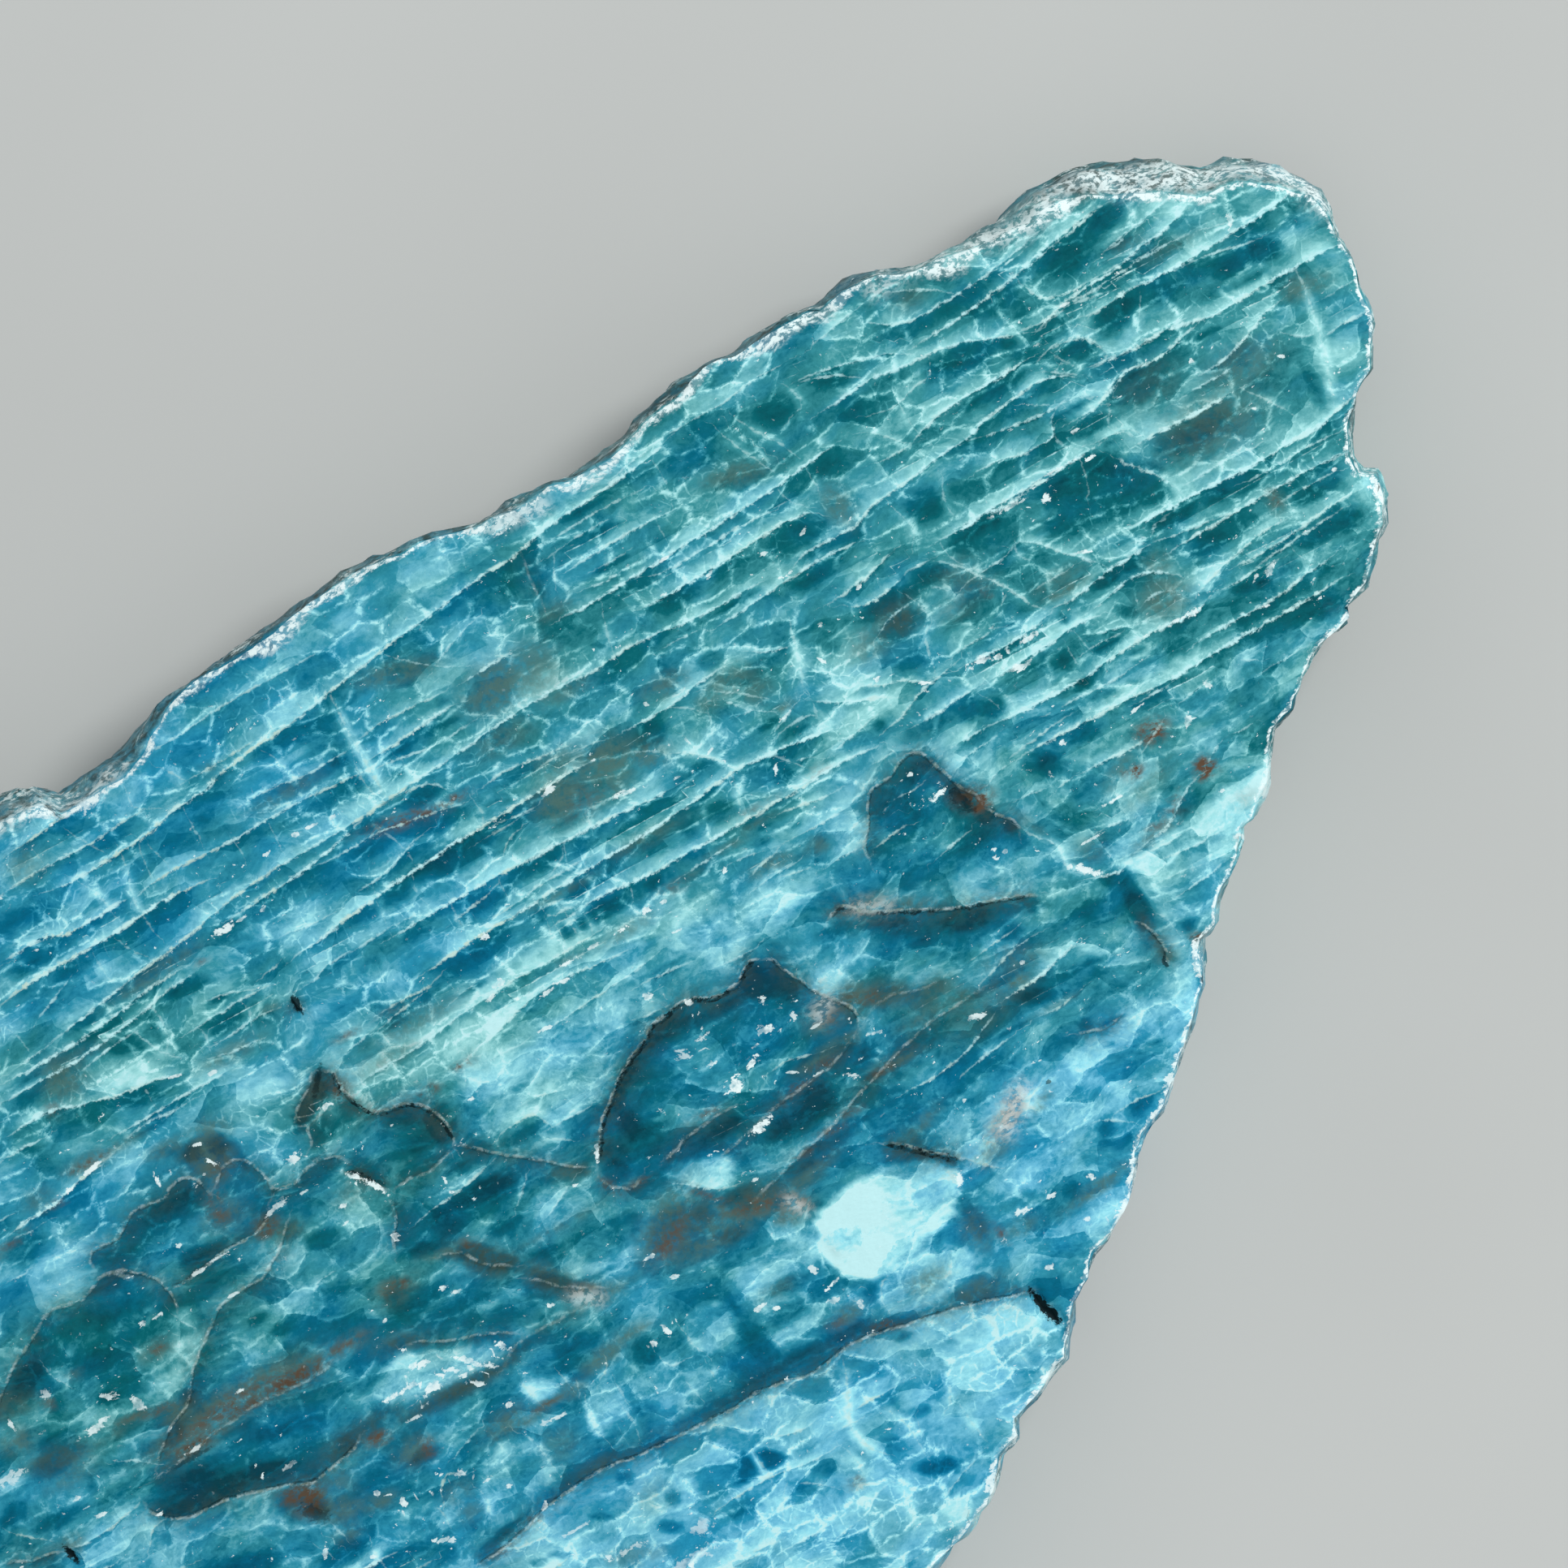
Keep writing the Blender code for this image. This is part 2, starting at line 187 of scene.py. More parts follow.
    (0.85, 9.2, 13.6, 10.2, 13.7, 11, 13.8, 11.8, 13.85, 12.6, 13.85, 13.4, 13.9, 14.4, 13.95, 15.4, 14,
     16.6, 14.05, 17.6, 14.1, 18.6, 14.15, 19.8, 14.25, 21, 14.35, 22, 14.5, 23.2, 14.6, 24.3, 14.5, 25.4,
     14.4, 27, 14.15), (0.6, 7, 13.1, 8, 13.15, 8.9, 13.1, 9.8, 13.25),
    (0.5, 6.8, 12.6, 7.6, 12.8, 8.4, 12.9, 9, 13),
    (0.6, 5, 11.2, 6, 11.3, 7, 11.3, 8.2, 11.4, 9.2, 11.55, 10, 11.65, 11, 11.7, 12, 11.8, 13.2, 11.75,
     14.6, 11.8, 15.8, 11.85),
    (0.7, 9.6, 10.25, 10.6, 10.4, 11.4, 10.7, 12.2, 10.85, 13, 10.95, 14, 10.95, 15, 10.8, 16.2, 10.75),
    (0.4, 5.2, 12.4, 6.2, 12.65, 6.8, 12.75), (0.5, 9.6, 12.2, 10.2, 12.3, 10.9, 12.4),
    (0.4, 13.6, 11.35, 14.4, 11.4, 15.4, 11.4), (0.6, 9.3, 15.7, 9.9, 15.65),
    (0.4, 7, 15.6, 8, 15.65, 9.2, 15.7), (0.5, 8.4, 17.4, 9.6, 17.55, 10.4, 17.75, 11.2, 18.05, 12, 18.2),
    (0.4, 9, 17, 8.95, 16.4, 8.9, 15.8), (0.4, 10.6, 16.9, 10.4, 16.4, 10.5, 16),
    (0.4, 10.4, 19, 10.7, 18.4, 10.9, 17.6), (0.5, 11.35, 15.4, 11.3, 14.9, 11.3, 14.3),
    (0.4, 13.3, 15.2, 13.3, 14.6), (0.5, 10.7, 14.65, 11.6, 14.85, 12.6, 15, 13.2, 15.2),
    (0.4, 13.9, 18.3, 14, 17.8, 13.8, 17.4), (0.5, 13.9, 16, 14.2, 16.3, 14.6, 16.5, 15, 16.6),
    (0.5, 14.2, 13.55, 14.4, 13.1, 14.9, 13.2, 15.3, 13.1, 15.8, 13.1),
    (0.6, 14.1, 12.9, 14, 12.4, 14.1, 12), (0.7, 14.9, 13.1, 14.85, 12.6, 14.9, 11.9),
    (0.6, 15.5, 12.7, 15.5, 12.3, 15.4, 11.9), (0.6, 14.1, 12.6, 14.8, 12.65, 15.8, 12.65),
    (0.85, 15.2, 12.95, 16.4, 12.95, 17.6, 12.85, 18.6, 12.75, 20, 12.8, 21.4, 12.8, 22.6, 12.8, 24,
     12.85, 25.2, 12.9, 26.2, 12.95, 27, 12.95, 28, 12.8), (0.5, 17.5, 13, 17.4, 12.5, 17.3, 12.2),
    (0.4, 16, 13.5, 16, 13.1), (0.5, 13.8, 13.55, 14.4, 13.6, 15.2, 13.5),
    (0.35, 15, 14.5, 15.8, 14.9, 16, 15.3), (0.4, 16.05, 15.3, 15.95, 14.9),
    (0.5, 12.4, 14.2, 13.4, 14.2, 14.6, 14.4, 16.6, 14.45), (0.4, 13.4, 16.9, 14.4, 16.9, 15.4, 16.95),
    (0.5, 14.2, 17.2, 15.2, 17, 16, 17), (0.5, 16.6, 18.2, 17.4, 18.25, 18, 18.1),
    (0.5, 14.6, 18.6, 15.4, 18.7), (0.5, 12, 9.6, 13, 9.65, 14, 9.75, 15, 9.85, 16, 9.9, 17.2, 10.1),
    (0.6, 16, 9.4, 16.6, 9.35, 17.4, 9.3, 18, 9.2), (0.4, 9.6, 9.7, 10.6, 9.6, 11.4, 9.6),
    (0.5, 5, 15.3, 5.7, 15.4, 6.2, 15.6, 7.4, 15.65), (0.5, 5.2, 17.4, 6.6, 17.2, 7.4, 17.2),
    (0.5, 4, 16.45, 4.7, 16.5), (0.8, 20, 17.85, 21, 17.85, 22, 17.85, 22.8, 18, 23.4, 18.1, 24.4, 18.15),
    (0.6, 18.4, 18.05, 19, 18), (0.4, 20, 17, 20.6, 16.7, 21, 16.35),
    (0.8, 21, 16.35, 21.6, 16.1, 22.1, 15.7, 22.6, 15.2, 22.9, 14.7),
    (0.7, 21.85, 16.6, 21.95, 16.25, 22.1, 15.95), (0.5, 22.6, 15.7, 22.9, 16.3, 23.1, 16.9),
    (0.4, 22, 17.8, 22.6, 17.4, 23, 17),
    (0.6, 23.2, 17.35, 23.8, 17.1, 24.2, 16.6, 24.6, 16.2, 25.1, 15.9, 25.3, 15.7),
    (0.4, 23.4, 17.7, 24.6, 16.9, 25.4, 16.2), (0.6, 24.1, 16.25, 24.4, 16.25, 24.8, 16.3),
    (0.95, 27.35, 18.4, 27.1, 17.6, 26.9, 16.8, 26.6, 16),
    (0.8, 25.5, 18.2, 26, 17.9, 26.6, 17.7, 27.1, 17.6),
    (0.8, 24.9, 15.2, 25.4, 15.35, 25.9, 15.6, 26.3, 15.75),
    (0.9, 26.6, 15.55, 27.2, 15.1, 27.8, 14.8, 28.4, 14.55, 29, 14.3, 29.5, 14.05),
    (0.6, 27.6, 14.9, 28.6, 15.05, 29.2, 14.7, 30, 14.5, 30.6, 14.1, 31.4, 14),
    (0.6, 31.15, 14.2, 31.3, 15, 31.5, 15.6, 31.9, 15.8, 32, 16),
    (0.6, 29.8, 16.3, 30.4, 16.65, 31.2, 16.85, 31.8, 16.85), (0.5, 31.6, 17.2, 31.9, 16.5, 32, 15.9),
    (0.9, 29.2, 18.3, 30, 18.4, 31, 18.6, 32, 18.9),
    (0.9, 29.4, 17.95, 30, 17.65, 30.6, 17.6, 31.2, 17.7, 32, 17.9),
    (0.7, 24.9, 13.9, 25.4, 13.75, 25.7, 13.6), (0.4, 24.3, 14.5, 24.7, 14.1, 25.3, 13.4),
    (0.6, 26.2, 13.4, 27.2, 13.6, 28.2, 13.8, 28.6, 13.85),
    (0.6, 28.4, 13.2, 29.4, 13.4, 30, 13.7, 30.6, 13.9, 31.4, 14, 32.2, 14.2),
    (0.8, 29.4, 12.8, 30.6, 12.85, 31.6, 12.95, 32.6, 13),
    (0.7, 23.4, 12.45, 24.4, 12.3, 25.4, 12.15, 26, 12.1), (0.5, 27.6, 12.35, 28.2, 12.35),
    (0.5, 23.4, 11.4, 24.4, 11.35, 26.4, 11.4), (0.6, 20.9, 11.7, 21.8, 11.6, 22.6, 11.45),
    (0.7, 21.6, 10.95, 22.2, 11.1, 22.9, 11.25), (0.5, 21.4, 10.45, 22.4, 10.5, 23.4, 10.55),
    (0.7, 23.9, 9.8, 24.8, 9.9, 25.8, 9.85), (0.5, 22.6, 10.3, 23.6, 10.1),
    (0.8, 26.1, 9.55, 26.9, 9.75, 27.5, 9.75), (0.4, 27.5, 10.8, 28.8, 10.8),
    (0.5, 30, 10.8, 31, 10.95, 32, 11), (0.6, 30, 11.45, 31.2, 11.5, 32.2, 11.5),
    (0.6, 30.8, 9.6, 31.4, 9.85, 32, 9.9), (0.5, 22.75, 14.5, 22.6, 13.8, 22.3, 13.1),
    (0.4, 26.7, 15.9, 26.6, 15, 26.6, 14, 26.5, 13.6), (0.5, 25, 15, 26, 15.1, 26.5, 14.95, 26.6, 14.6),
    (0.5, 18, 16, 18.8, 15.85, 19.6, 15.7), (0.5, 19, 12.1, 20.2, 12.2, 21.8, 12.3),
    (0.8, 40, 26.1, 41, 26.15, 42, 26.35),
    (0.85, 40, 25.35, 41.5, 25.75, 43, 26.05, 44.2, 26.25, 45.2, 26.3),
    (0.7, 40.7, 25.4, 41, 25, 41.2, 24.5, 41.8, 24.2, 42.6, 24.05, 43.6, 24.1),
    (0.85, 40, 23.7, 41, 23.6, 42, 23.85, 43.4, 23.95, 44.4, 24, 45.2, 24.25, 46.2, 24.35, 47.2, 24.6, 48,
     24.85), (0.6, 44.1, 24.75, 44.9, 24.8, 45.4, 25, 46.2, 25.15, 47, 25.3, 47.5, 25.5),
    (0.5, 46, 25.8, 46.2, 25.3, 46.6, 24.7, 46.8, 24.5), (0.5, 45.7, 26.1, 45.7, 25.4, 45.8, 24.9),
    (0.5, 44.6, 24, 45.6, 23.85, 46.4, 23.9, 47.2, 23.8), (0.4, 47.4, 23.8, 48.2, 23.6, 48.9, 23.4),
    (0.4, 41, 23.5, 42, 23.65, 43, 23.5, 44, 23.3),
    (0.9, 42.5, 22.95, 43.4, 23, 44.4, 23.05, 45.4, 23, 46.6, 23, 47.8, 23.05, 49, 23.1, 50.2, 23.15, 51,
     23.3, 51.8, 23.4), (0.5, 46.6, 22.9, 47.6, 22.75, 48.6, 22.55, 49.4, 22.4),
    (0.85, 41.6, 21.3, 42.4, 21.2, 43.4, 21.1, 44.4, 21.15, 45.4, 21, 46.6, 20.75, 48, 20.8, 49.4, 20.85,
     51, 20.85, 52, 20.8), (0.7, 40.9, 22.4, 41.5, 22.6, 42.1, 22.2, 42.4, 21.6, 42.4, 21.3),
    (0.6, 40.6, 22.3, 41, 21.8, 41.4, 21.2, 41.6, 20.6), (0.6, 40, 22, 40.6, 21.6, 41.2, 21.2),
    (0.8, 40, 19.85, 41, 19.85, 41.6, 20.05, 42.2, 20.3, 42.8, 20.5, 43.4, 20.45),
    (0.6, 40, 20.6, 40.8, 20.5, 41.4, 20.2, 41.6, 20), (0.5, 41.1, 18.9, 41.5, 19.5, 41.9, 20),
    (0.8, 40.2, 18.75, 41, 18.7, 41.6, 18.6, 41.8, 18.2),
    (0.7, 44.9, 19.05, 46, 19.1, 46.8, 19.35, 47.6, 19.6, 48.2, 19.9, 49.2, 20.05),
    (0.6, 44, 18.65, 45.2, 18.7, 46.6, 18.7),
    (0.95, 41.6, 17.95, 42.8, 17.95, 44, 17.9, 45.2, 17.9, 46.1, 17.95),
    (0.5, 46.1, 17.9, 46.5, 17.4, 47, 16.7, 47.4, 16), (0.6, 48.4, 19, 49, 18.5, 49.6, 18.3),
    (0.7, 50, 20.8, 50, 20, 49.8, 19, 49.6, 18, 49.3, 17, 49, 16.2, 48.8, 15.6),
    (0.7, 49.7, 18.05, 50.6, 18.15, 51.8, 18.1), (0.4, 50.4, 19.3, 51.8, 19.4),
    (0.95, 40, 15.35, 41.4, 15.3, 42.6, 15.3, 44, 15.25, 45.2, 15.2, 46.6, 15.25, 48, 15.25, 49, 15.5,
     49.8, 15.7), (0.5, 42.4, 15.75, 43.2, 15.8, 44.2, 15.8, 46, 15.75),
    (0.85, 40.6, 18.2, 41.1, 17.5, 41.7, 16.8, 42.1, 16.2, 42.35, 15.5),
    (0.6, 44.6, 14.75, 46, 14.75, 47.4, 14.8, 48.4, 14.75),
    (0.5, 40.4, 14.5, 41.2, 14.35, 42.4, 14.2, 43.6, 14.05), (0.4, 40.2, 14.5, 40.9, 14.9, 41.6, 15.1),
    (0.85, 41, 13.9, 42.4, 13.95, 43.8, 14, 45.2, 14.05, 46.4, 14.05, 47.8, 14, 48.6, 13.9),
    (0.6, 45.2, 13.5, 46.4, 13.55, 47.8, 13.5),
    (0.7, 41, 12, 42.2, 12.4, 43.4, 12.7, 44.6, 12.9, 45.4, 12.8),
    (0.7, 42.4, 12.25, 43.6, 12.2, 45, 12.25, 46.2, 12.4, 47.2, 12.5, 48.2, 12.5),
    (0.6, 43.4, 11.85, 45, 12, 46.2, 12.1, 47.2, 12.2),
    (0.7, 41.8, 11.75, 42.6, 11.7, 43.4, 11.75, 44.2, 11.7),
    (0.8, 40, 10.45, 41.4, 10.5, 42.8, 10.5, 44, 10.55, 45.2, 10.75, 46.2, 10.85),
    (0.5, 44.9, 11.7, 45.1, 11.3, 45.5, 10.9), (0.6, -6, 17.8, -5.2, 17.9, -4, 18.05),
    (0.75, -6.3, 17.6, -5, 17.55, -3.6, 17.6, -2.4, 17.7, -1.4, 17.8, -0.4, 18, 0.6, 18.1, 1.8, 18.1),
    (0.75, -6.8, 17, -5.4, 17, -4, 17, -2.6, 17.1, -1.6, 17.25, -0.6, 17.4, 0.2, 17.6, 1, 17.7, 2, 17.75),
    (0.7, -3.6, 16.6, -2.8, 16.75, -2, 16.85, -1.3, 16.9),
    (0.5, -1.4, 17.8, -1.3, 17.3, -1.1, 16.7, -0.9, 16.2, -0.6, 15.7, -0.2, 15.3, 0.1, 15),
    (0.5, -0.5, 17.8, -0.15, 17.3, -0.1, 16.6, -0.2, 16.1, -0.5, 15.7),
    (0.8, -7.2, 15.8, -6.2, 15.9, -5.4, 15.9, -4.6, 15.65, -3.8, 15.4, -3, 15.2, -2.2, 15.1, -1.4, 15,
     -0.7, 14.8, -0.1, 14.6), (0.6, -8, 15.1, -7, 15.15, -5.8, 15.1),
    (0.6, -3.8, 13.9, -2.6, 13.9, -1.4, 13.95, 0, 14, 1.4, 13.95),
    (0.5, -3.4, 13.6, -2.4, 13.75, -1.4, 13.65, -0.4, 13.7),
    (0.9, -9, 12.55, -8, 12.75, -7, 12.75, -6.2, 12.95, -5.4, 13.15, -4.6, 13.3, -4.1, 13.35),
    (0.5, -8.8, 12.4, -8.2, 12.3, -7.4, 12.4, -7, 12.3), (0.7, -9.8, 11.1, -9, 11.05),
    (0.6, 0.4, 15.9, 1, 15.95, 2, 16, 3.2, 16.05, 4, 16), (0.6, 1.6, 16.65, 2.4, 16.55, 3, 16.3, 3.5, 16.1),
    (0.5, 1, 15.05, 2, 15.1, 3.2, 15.2, 4, 15.1), (0.5, 0.8, 14.7, 1.8, 14.5, 3, 14.4),
    (0.5, 1, 15.9, 1.05, 15.5, 1, 15.1), (0.5, 2.8, 16, 2.9, 15.5, 2.7, 15, 2.6, 14.5),
    (0.7, -1.9, 14.9, -1.85, 14.4, -1.85, 14),
    (0.85, 33.6, 18.4, 34.6, 18.35, 35.6, 18.4, 36.6, 18.3, 37.4, 18.5, 38.4, 18.6, 39.4, 18.6),
    (0.7, 33, 17.9, 33.6, 17.4, 34, 16.95, 34.5, 16.3, 34.9, 15.8, 35.2, 15.2, 35.5, 14.6, 35.8, 14.3),
    (0.7, 35.9, 16.95, 36.4, 16.8, 36.9, 16.4, 37.4, 15.8, 37.9, 15.3, 38.3, 14.9, 38.6, 14.5),
    (0.5, 33.6, 18.2, 33.7, 17.7, 34, 17.1), (0.5, 32, 17.95, 33, 17.9),
    (0.5, 32.5, 17, 32.8, 16.9, 33.1, 16.5), (0.5, 33.6, 16.5, 34.4, 16.6, 35.4, 16.65, 36, 16.9),
    (0.4, 35, 15.6, 34.4, 15.1), (0.7, 36, 16.9, 35.95, 16.5, 36.2, 16.1),
    (0.5, 39.6, 18.3, 39.5, 17.7, 39.3, 17.2), (0.5, 36, 15.1, 37, 15.1, 37.5, 15.15),
    (0.6, 32, 14.4, 33, 14.5, 34, 14.5),
    (0.8, 36, 14.15, 37, 14.1, 37.8, 14.25, 38.4, 14.35, 39.2, 14.4, 40, 14.45, 40.6, 14.5),
    (0.5, 39.2, 14.35, 40, 14.75, 40.8, 15, 41.4, 15.15),
    (0.95, 32, 13.9, 33, 13.85, 34, 13.8, 35.2, 13.9, 36, 14.05),
    (0.9, 32.6, 12.95, 33.4, 12.95, 34.4, 13, 35.6, 13.1, 36.8, 13.2, 37.6, 13.05),
    (0.7, 37, 13.35, 38, 13.5, 38.8, 13.7, 39.6, 13.7, 40.2, 13.4, 40.6, 13.1, 40.9, 12.8),
    (0.6, 38.9, 12.6, 39.6, 12.8, 40.2, 12.6), (0.8, 37, 12.6, 37.6, 12.4, 38.2, 12.25),
    (0.7, 36.4, 12.2, 37.2, 12.15, 38, 12.15),
    (0.9, 32, 11.5, 33.2, 11.35, 34.6, 11.35, 36, 11.35, 37, 11.5, 38, 11.55, 39, 11.6, 40, 11.5, 40.8,
     11.5, 41.6, 11.8), (0.7, 35.85, 12.5, 35.9, 12, 35.9, 11.6), (0.5, 36.4, 12.8, 36.5, 12.3),
    (0.5, 33, 12.3, 33.1, 11.7), (0.4, 32.3, 12.5, 32.6, 12),
    (0.5, 34, 10.8, 35.4, 10.8, 36.8, 10.75, 38.2, 10.85), (0.5, 32, 10.1, 33.6, 10.3, 34.6, 10.4),
    (0.9, 32.5, 9.95, 34, 9.95, 35.4, 9.9, 37, 9.85, 38.4, 9.75, 40, 9.8, 41.4, 9.85, 43, 9.85, 44.6, 9.9,
     46, 9.95), (0.7, 37.2, 9.55, 38.2, 9.6, 38.8, 9.65), (0.7, 34, 8.3, 35, 8.3, 36, 8.2, 37, 8.3),
    (0.6, 38.6, 8.8, 39.2, 8.95, 39.8, 9), (0.6, 41.8, 8.35, 42.8, 8.35, 43.6, 8.4),
    (0.5, 41.2, 9.15, 41.8, 8.8), (0.6, 32, 8.55, 32.6, 8.5),
    (0.6, -9.5, 3.35, -8.9, 3.1, -8.4, 2.7, -8.2, 2.55),
    (0.7, -10, -0.1, -9.8, 0.15, -9.5, 0.5, -9, 0.6, -8.8, 0.5),
    (0.6, -14.3, 3.1, -13.9, 2.7, -13.4, 2.3, -13, 1.9),
    (0.6, -12.7, 1.5, -12.3, 1.3, -11.6, 1.25, -10.8, 1.3, -10.2, 1.45, -9.5, 1.55),
    (0.7, -5, 7.1, -4.8, 6.6, -4.5, 6.2), (0.6, -5.6, 6.1, -5.5, 5.6),
    (0.6, -10.1, 7.6, -9.9, 7, -9.6, 6.6), (0.6, -6.9, 6.8, -6.6, 6.1),
    (0.6, 4.6, 5.7, 5.4, 5.85, 6.4, 5.95, 7.4, 6.15, 8.2, 6.35),
    (0.6, 8.7, 7, 9.2, 7.1, 9.8, 7.15, 10.3, 7.1, 10.5, 6.6, 10.7, 6.3),
    (0.7, 10.7, 6.35, 11.6, 6.35, 12.2, 6.3), (0.6, 10.3, 7.6, 11.2, 7.5, 12, 7.2),
    (0.5, 8.5, 3.4, 9.2, 3.7, 9.8, 4, 10.4, 4.3), (0.5, 10.2, 6.1, 11, 5.6),
    (0.4, -0.2, 5, 0.2, 5.5, 1, 5.6), (0.5, 8.9, 5.2, 8.4, 4.7, 8, 4.4),
    (0.9, 13.7, 2.25, 14.4, 1.7, 15, 1.3, 15.4, 1.2), (0.6, 15, 8.4, 15.8, 8.25, 16.6, 8.2),
    (0.6, 19, 8.55, 20, 8.5, 20.6, 8.5),
    (0.5, 22.6, 1.15, 23.6, 1.1, 24.6, 1.2, 25.6, 1.45, 26.4, 1.85, 27, 2.1),
    (0.6, 24.8, 0.7, 25.6, 0.85, 26.4, 0.95, 27.2, 1.05),
    (0.5, 18.4, 4.2, 19.4, 4.3, 20.2, 4.05, 20.8, 3.95), (0.6, 27.8, 8.1, 28.6, 8.3, 29.4, 8.45),
    (0.6, 31.6, 8.55, 32.2, 8.6, 32.6, 8.5), (0.5, 33, 8.25, 33.8, 8.35),
    (0.5, 36.4, 7.9, 37.2, 8.3, 37.7, 8.6), (0.7, 33.4, 6.1, 34.2, 6.1, 34.9, 5.9),
    (0.7, 34.2, 6.85, 35, 6.85), (0.6, 38.4, 6.4, 38.8, 6.7, 39.4, 6.9), (0.5, 39.5, 6.9, 40.4, 6.8),
    (0.5, 35, 4.1, 36.4, 3.95, 38, 3.95), (0.5, 34.6, 3.4, 35.4, 3.35, 36.2, 3.2),
    (0.5, 34.8, 2.6, 36, 2.7, 37.2, 2.85), (0.5, 34.4, 4.6, 35.6, 4.5, 36.8, 4.6),
    (0.7, 31.1, 7.7, 31.4, 7.1, 31.9, 6.6, 32, 6.1, 31.9, 5.6, 32.2, 5.2, 32.7, 4.8, 33, 4.7),
    (0.6, 32.4, 4.75, 32.9, 4.6, 33.4, 4.45, 33.9, 4.5, 34.4, 4.8),
    (0.7, 34.4, 4.8, 35, 4.9, 35.9, 5.05, 36.6, 5.5, 37.2, 5.9, 37.8, 6.1),
    (0.8, 27.4, 2.35, 28.2, 2.45, 29.2, 2.5, 30.2, 2.8, 31, 2.85), (0.4, 27, 4.2, 28.4, 4.4, 29.4, 4.5),
    (0.5, 27, 3.3, 28, 3.6, 29, 3.9, 29.8, 3.9), (0.5, 28, 1.2, 29, 1.15, 30.2, 1.3),
    (0.6, 33.9, 2.6, 34.2, 2.1, 34.3, 1.6), (1, 5.05, -1.2, 5.1, -1.8, 5.3, -2.4),
    (0.9, 4.1, -2.95, 4.4, -3.5, 4.5, -4.1, 4.6, -4.6), (1, 6.8, -3, 6.7, -3.6, 6.6, -4.2, 6.8, -4.9),
    (0.8, 7.85, -3.9, 7.95, -4.4, 7.9, -5.2), (1, -2.75, -3.9, -2.75, -4.4, -2.65, -4.9),
    (0.8, 1.75, -4, 1.85, -4.6, 1.6, -5.1), (0.8, 0.15, -4.1, 0.2, -4.5, 0.15, -4.7),
    (0.6, 0.3, -3.9, 0.6, -3.3, 1, -3, 1.4, -3.2), (0.7, 3.2, -2.95, 3.3, -3.4),
    (0.8, 6.45, -1.8, 6.55, -2.3), (0.8, 6.8, -2.4, 6.75, -2.8), (0.6, 7.6, -2.7, 8.1, -2.4, 8.2, -2),
    (0.6, 8.1, -3, 8.1, -3.8), (0.5, 1.5, -2.6, 2.2, -2.3, 2.8, -2.1), (0.6, -3.6, -2.7, -3.4, -3.2),
    (0.8, -4.5, -3, -4.2, -3.5), (0.9, 11.2, -2.6, 11.25, -3.1, 11.5, -3.7), (0.8, 13.95, -4.4, 14.1, -4.8),
    (0.6, 10.4, -4.4, 10.55, -5),
    (0.7, 17.4, -1.5, 17.25, -2.2, 17.25, -2.9, 17.4, -3.5, 17.9, -4, 18.4, -4.4),
    (0.6, 18.2, -5.8, 18.2, -5.1, 18.5, -4.6, 19, -4.45), (0.7, 17.35, -4.75, 17.5, -5.1),
    (0.8, 11.35, -4.3, 11.4, -4.6), (0.7, 10, -3, 10.1, -3.5, 10.8, -3.55),
    (0.7, 15.9, -6.3, 15.6, -7.1, 15.3, -7.8, 14.95, -8.5, 14.95, -9.2, 15.2, -9.8, 15.6, -10.3),
    (0.5, 11.3, -7.6, 11.35, -8.2, 11.4, -8.8), (0.6, 15.2, -8.2, 16.2, -8.2, 17.2, -8.2),
    (0.5, 16.3, -8.6, 16.7, -9.4, 16.8, -10.2, 16.8, -11), (0.6, 17.2, -9.6, 17.1, -10),
    (0.6, 18.9, -9, 18.6, -9.6, 18.4, -9.8), (0.5, 14.3, -9.2, 14.5, -10, 14.4, -10.8),
    (0.7, 12.2, -7.6, 13, -7.9, 13.8, -7.9), (0.6, 12.3, -9.6, 12.9, -10, 13.4, -10.5),
    (0.5, 11.7, -9.5, 11.3, -10, 11, -10.5), (0.5, 9, -9, 10.4, -8.9, 11.8, -8.9, 12.8, -9.1, 14, -9.1),
    (0.7, 10.6, -11.5, 11.6, -11.5, 12.6, -11.5), (0.7, 12.4, -12.05, 13.2, -11.95),
    (0.6, 9.4, -11, 10.6, -11.1), (0.5, 18.8, -9.8, 18.9, -10.8, 19, -11.5),
    (0.5, 13.9, -11.9, 14.4, -11.4, 15.2, -11.2), (0.6, 16.6, -12.7, 17.4, -12.3, 18.4, -12),
    (0.5, 15.3, -11.2, 15.5, -12, 15.2, -13), (0.5, 21.6, -9.2, 21.8, -9.9), (0.5, 14.3, -8.6, 15.4, -8.6),
    (0.6, 28.2, -3.2, 28.8, -3.4, 29.4, -3.9), (0.5, 29, -3.3, 30, -3.25, 31, -3.4),
    (0.6, 26, -1.9, 26.6, -1.3, 27.2, -1), (0.6, 23.4, -2.1, 24, -2.7, 24.4, -3),
]

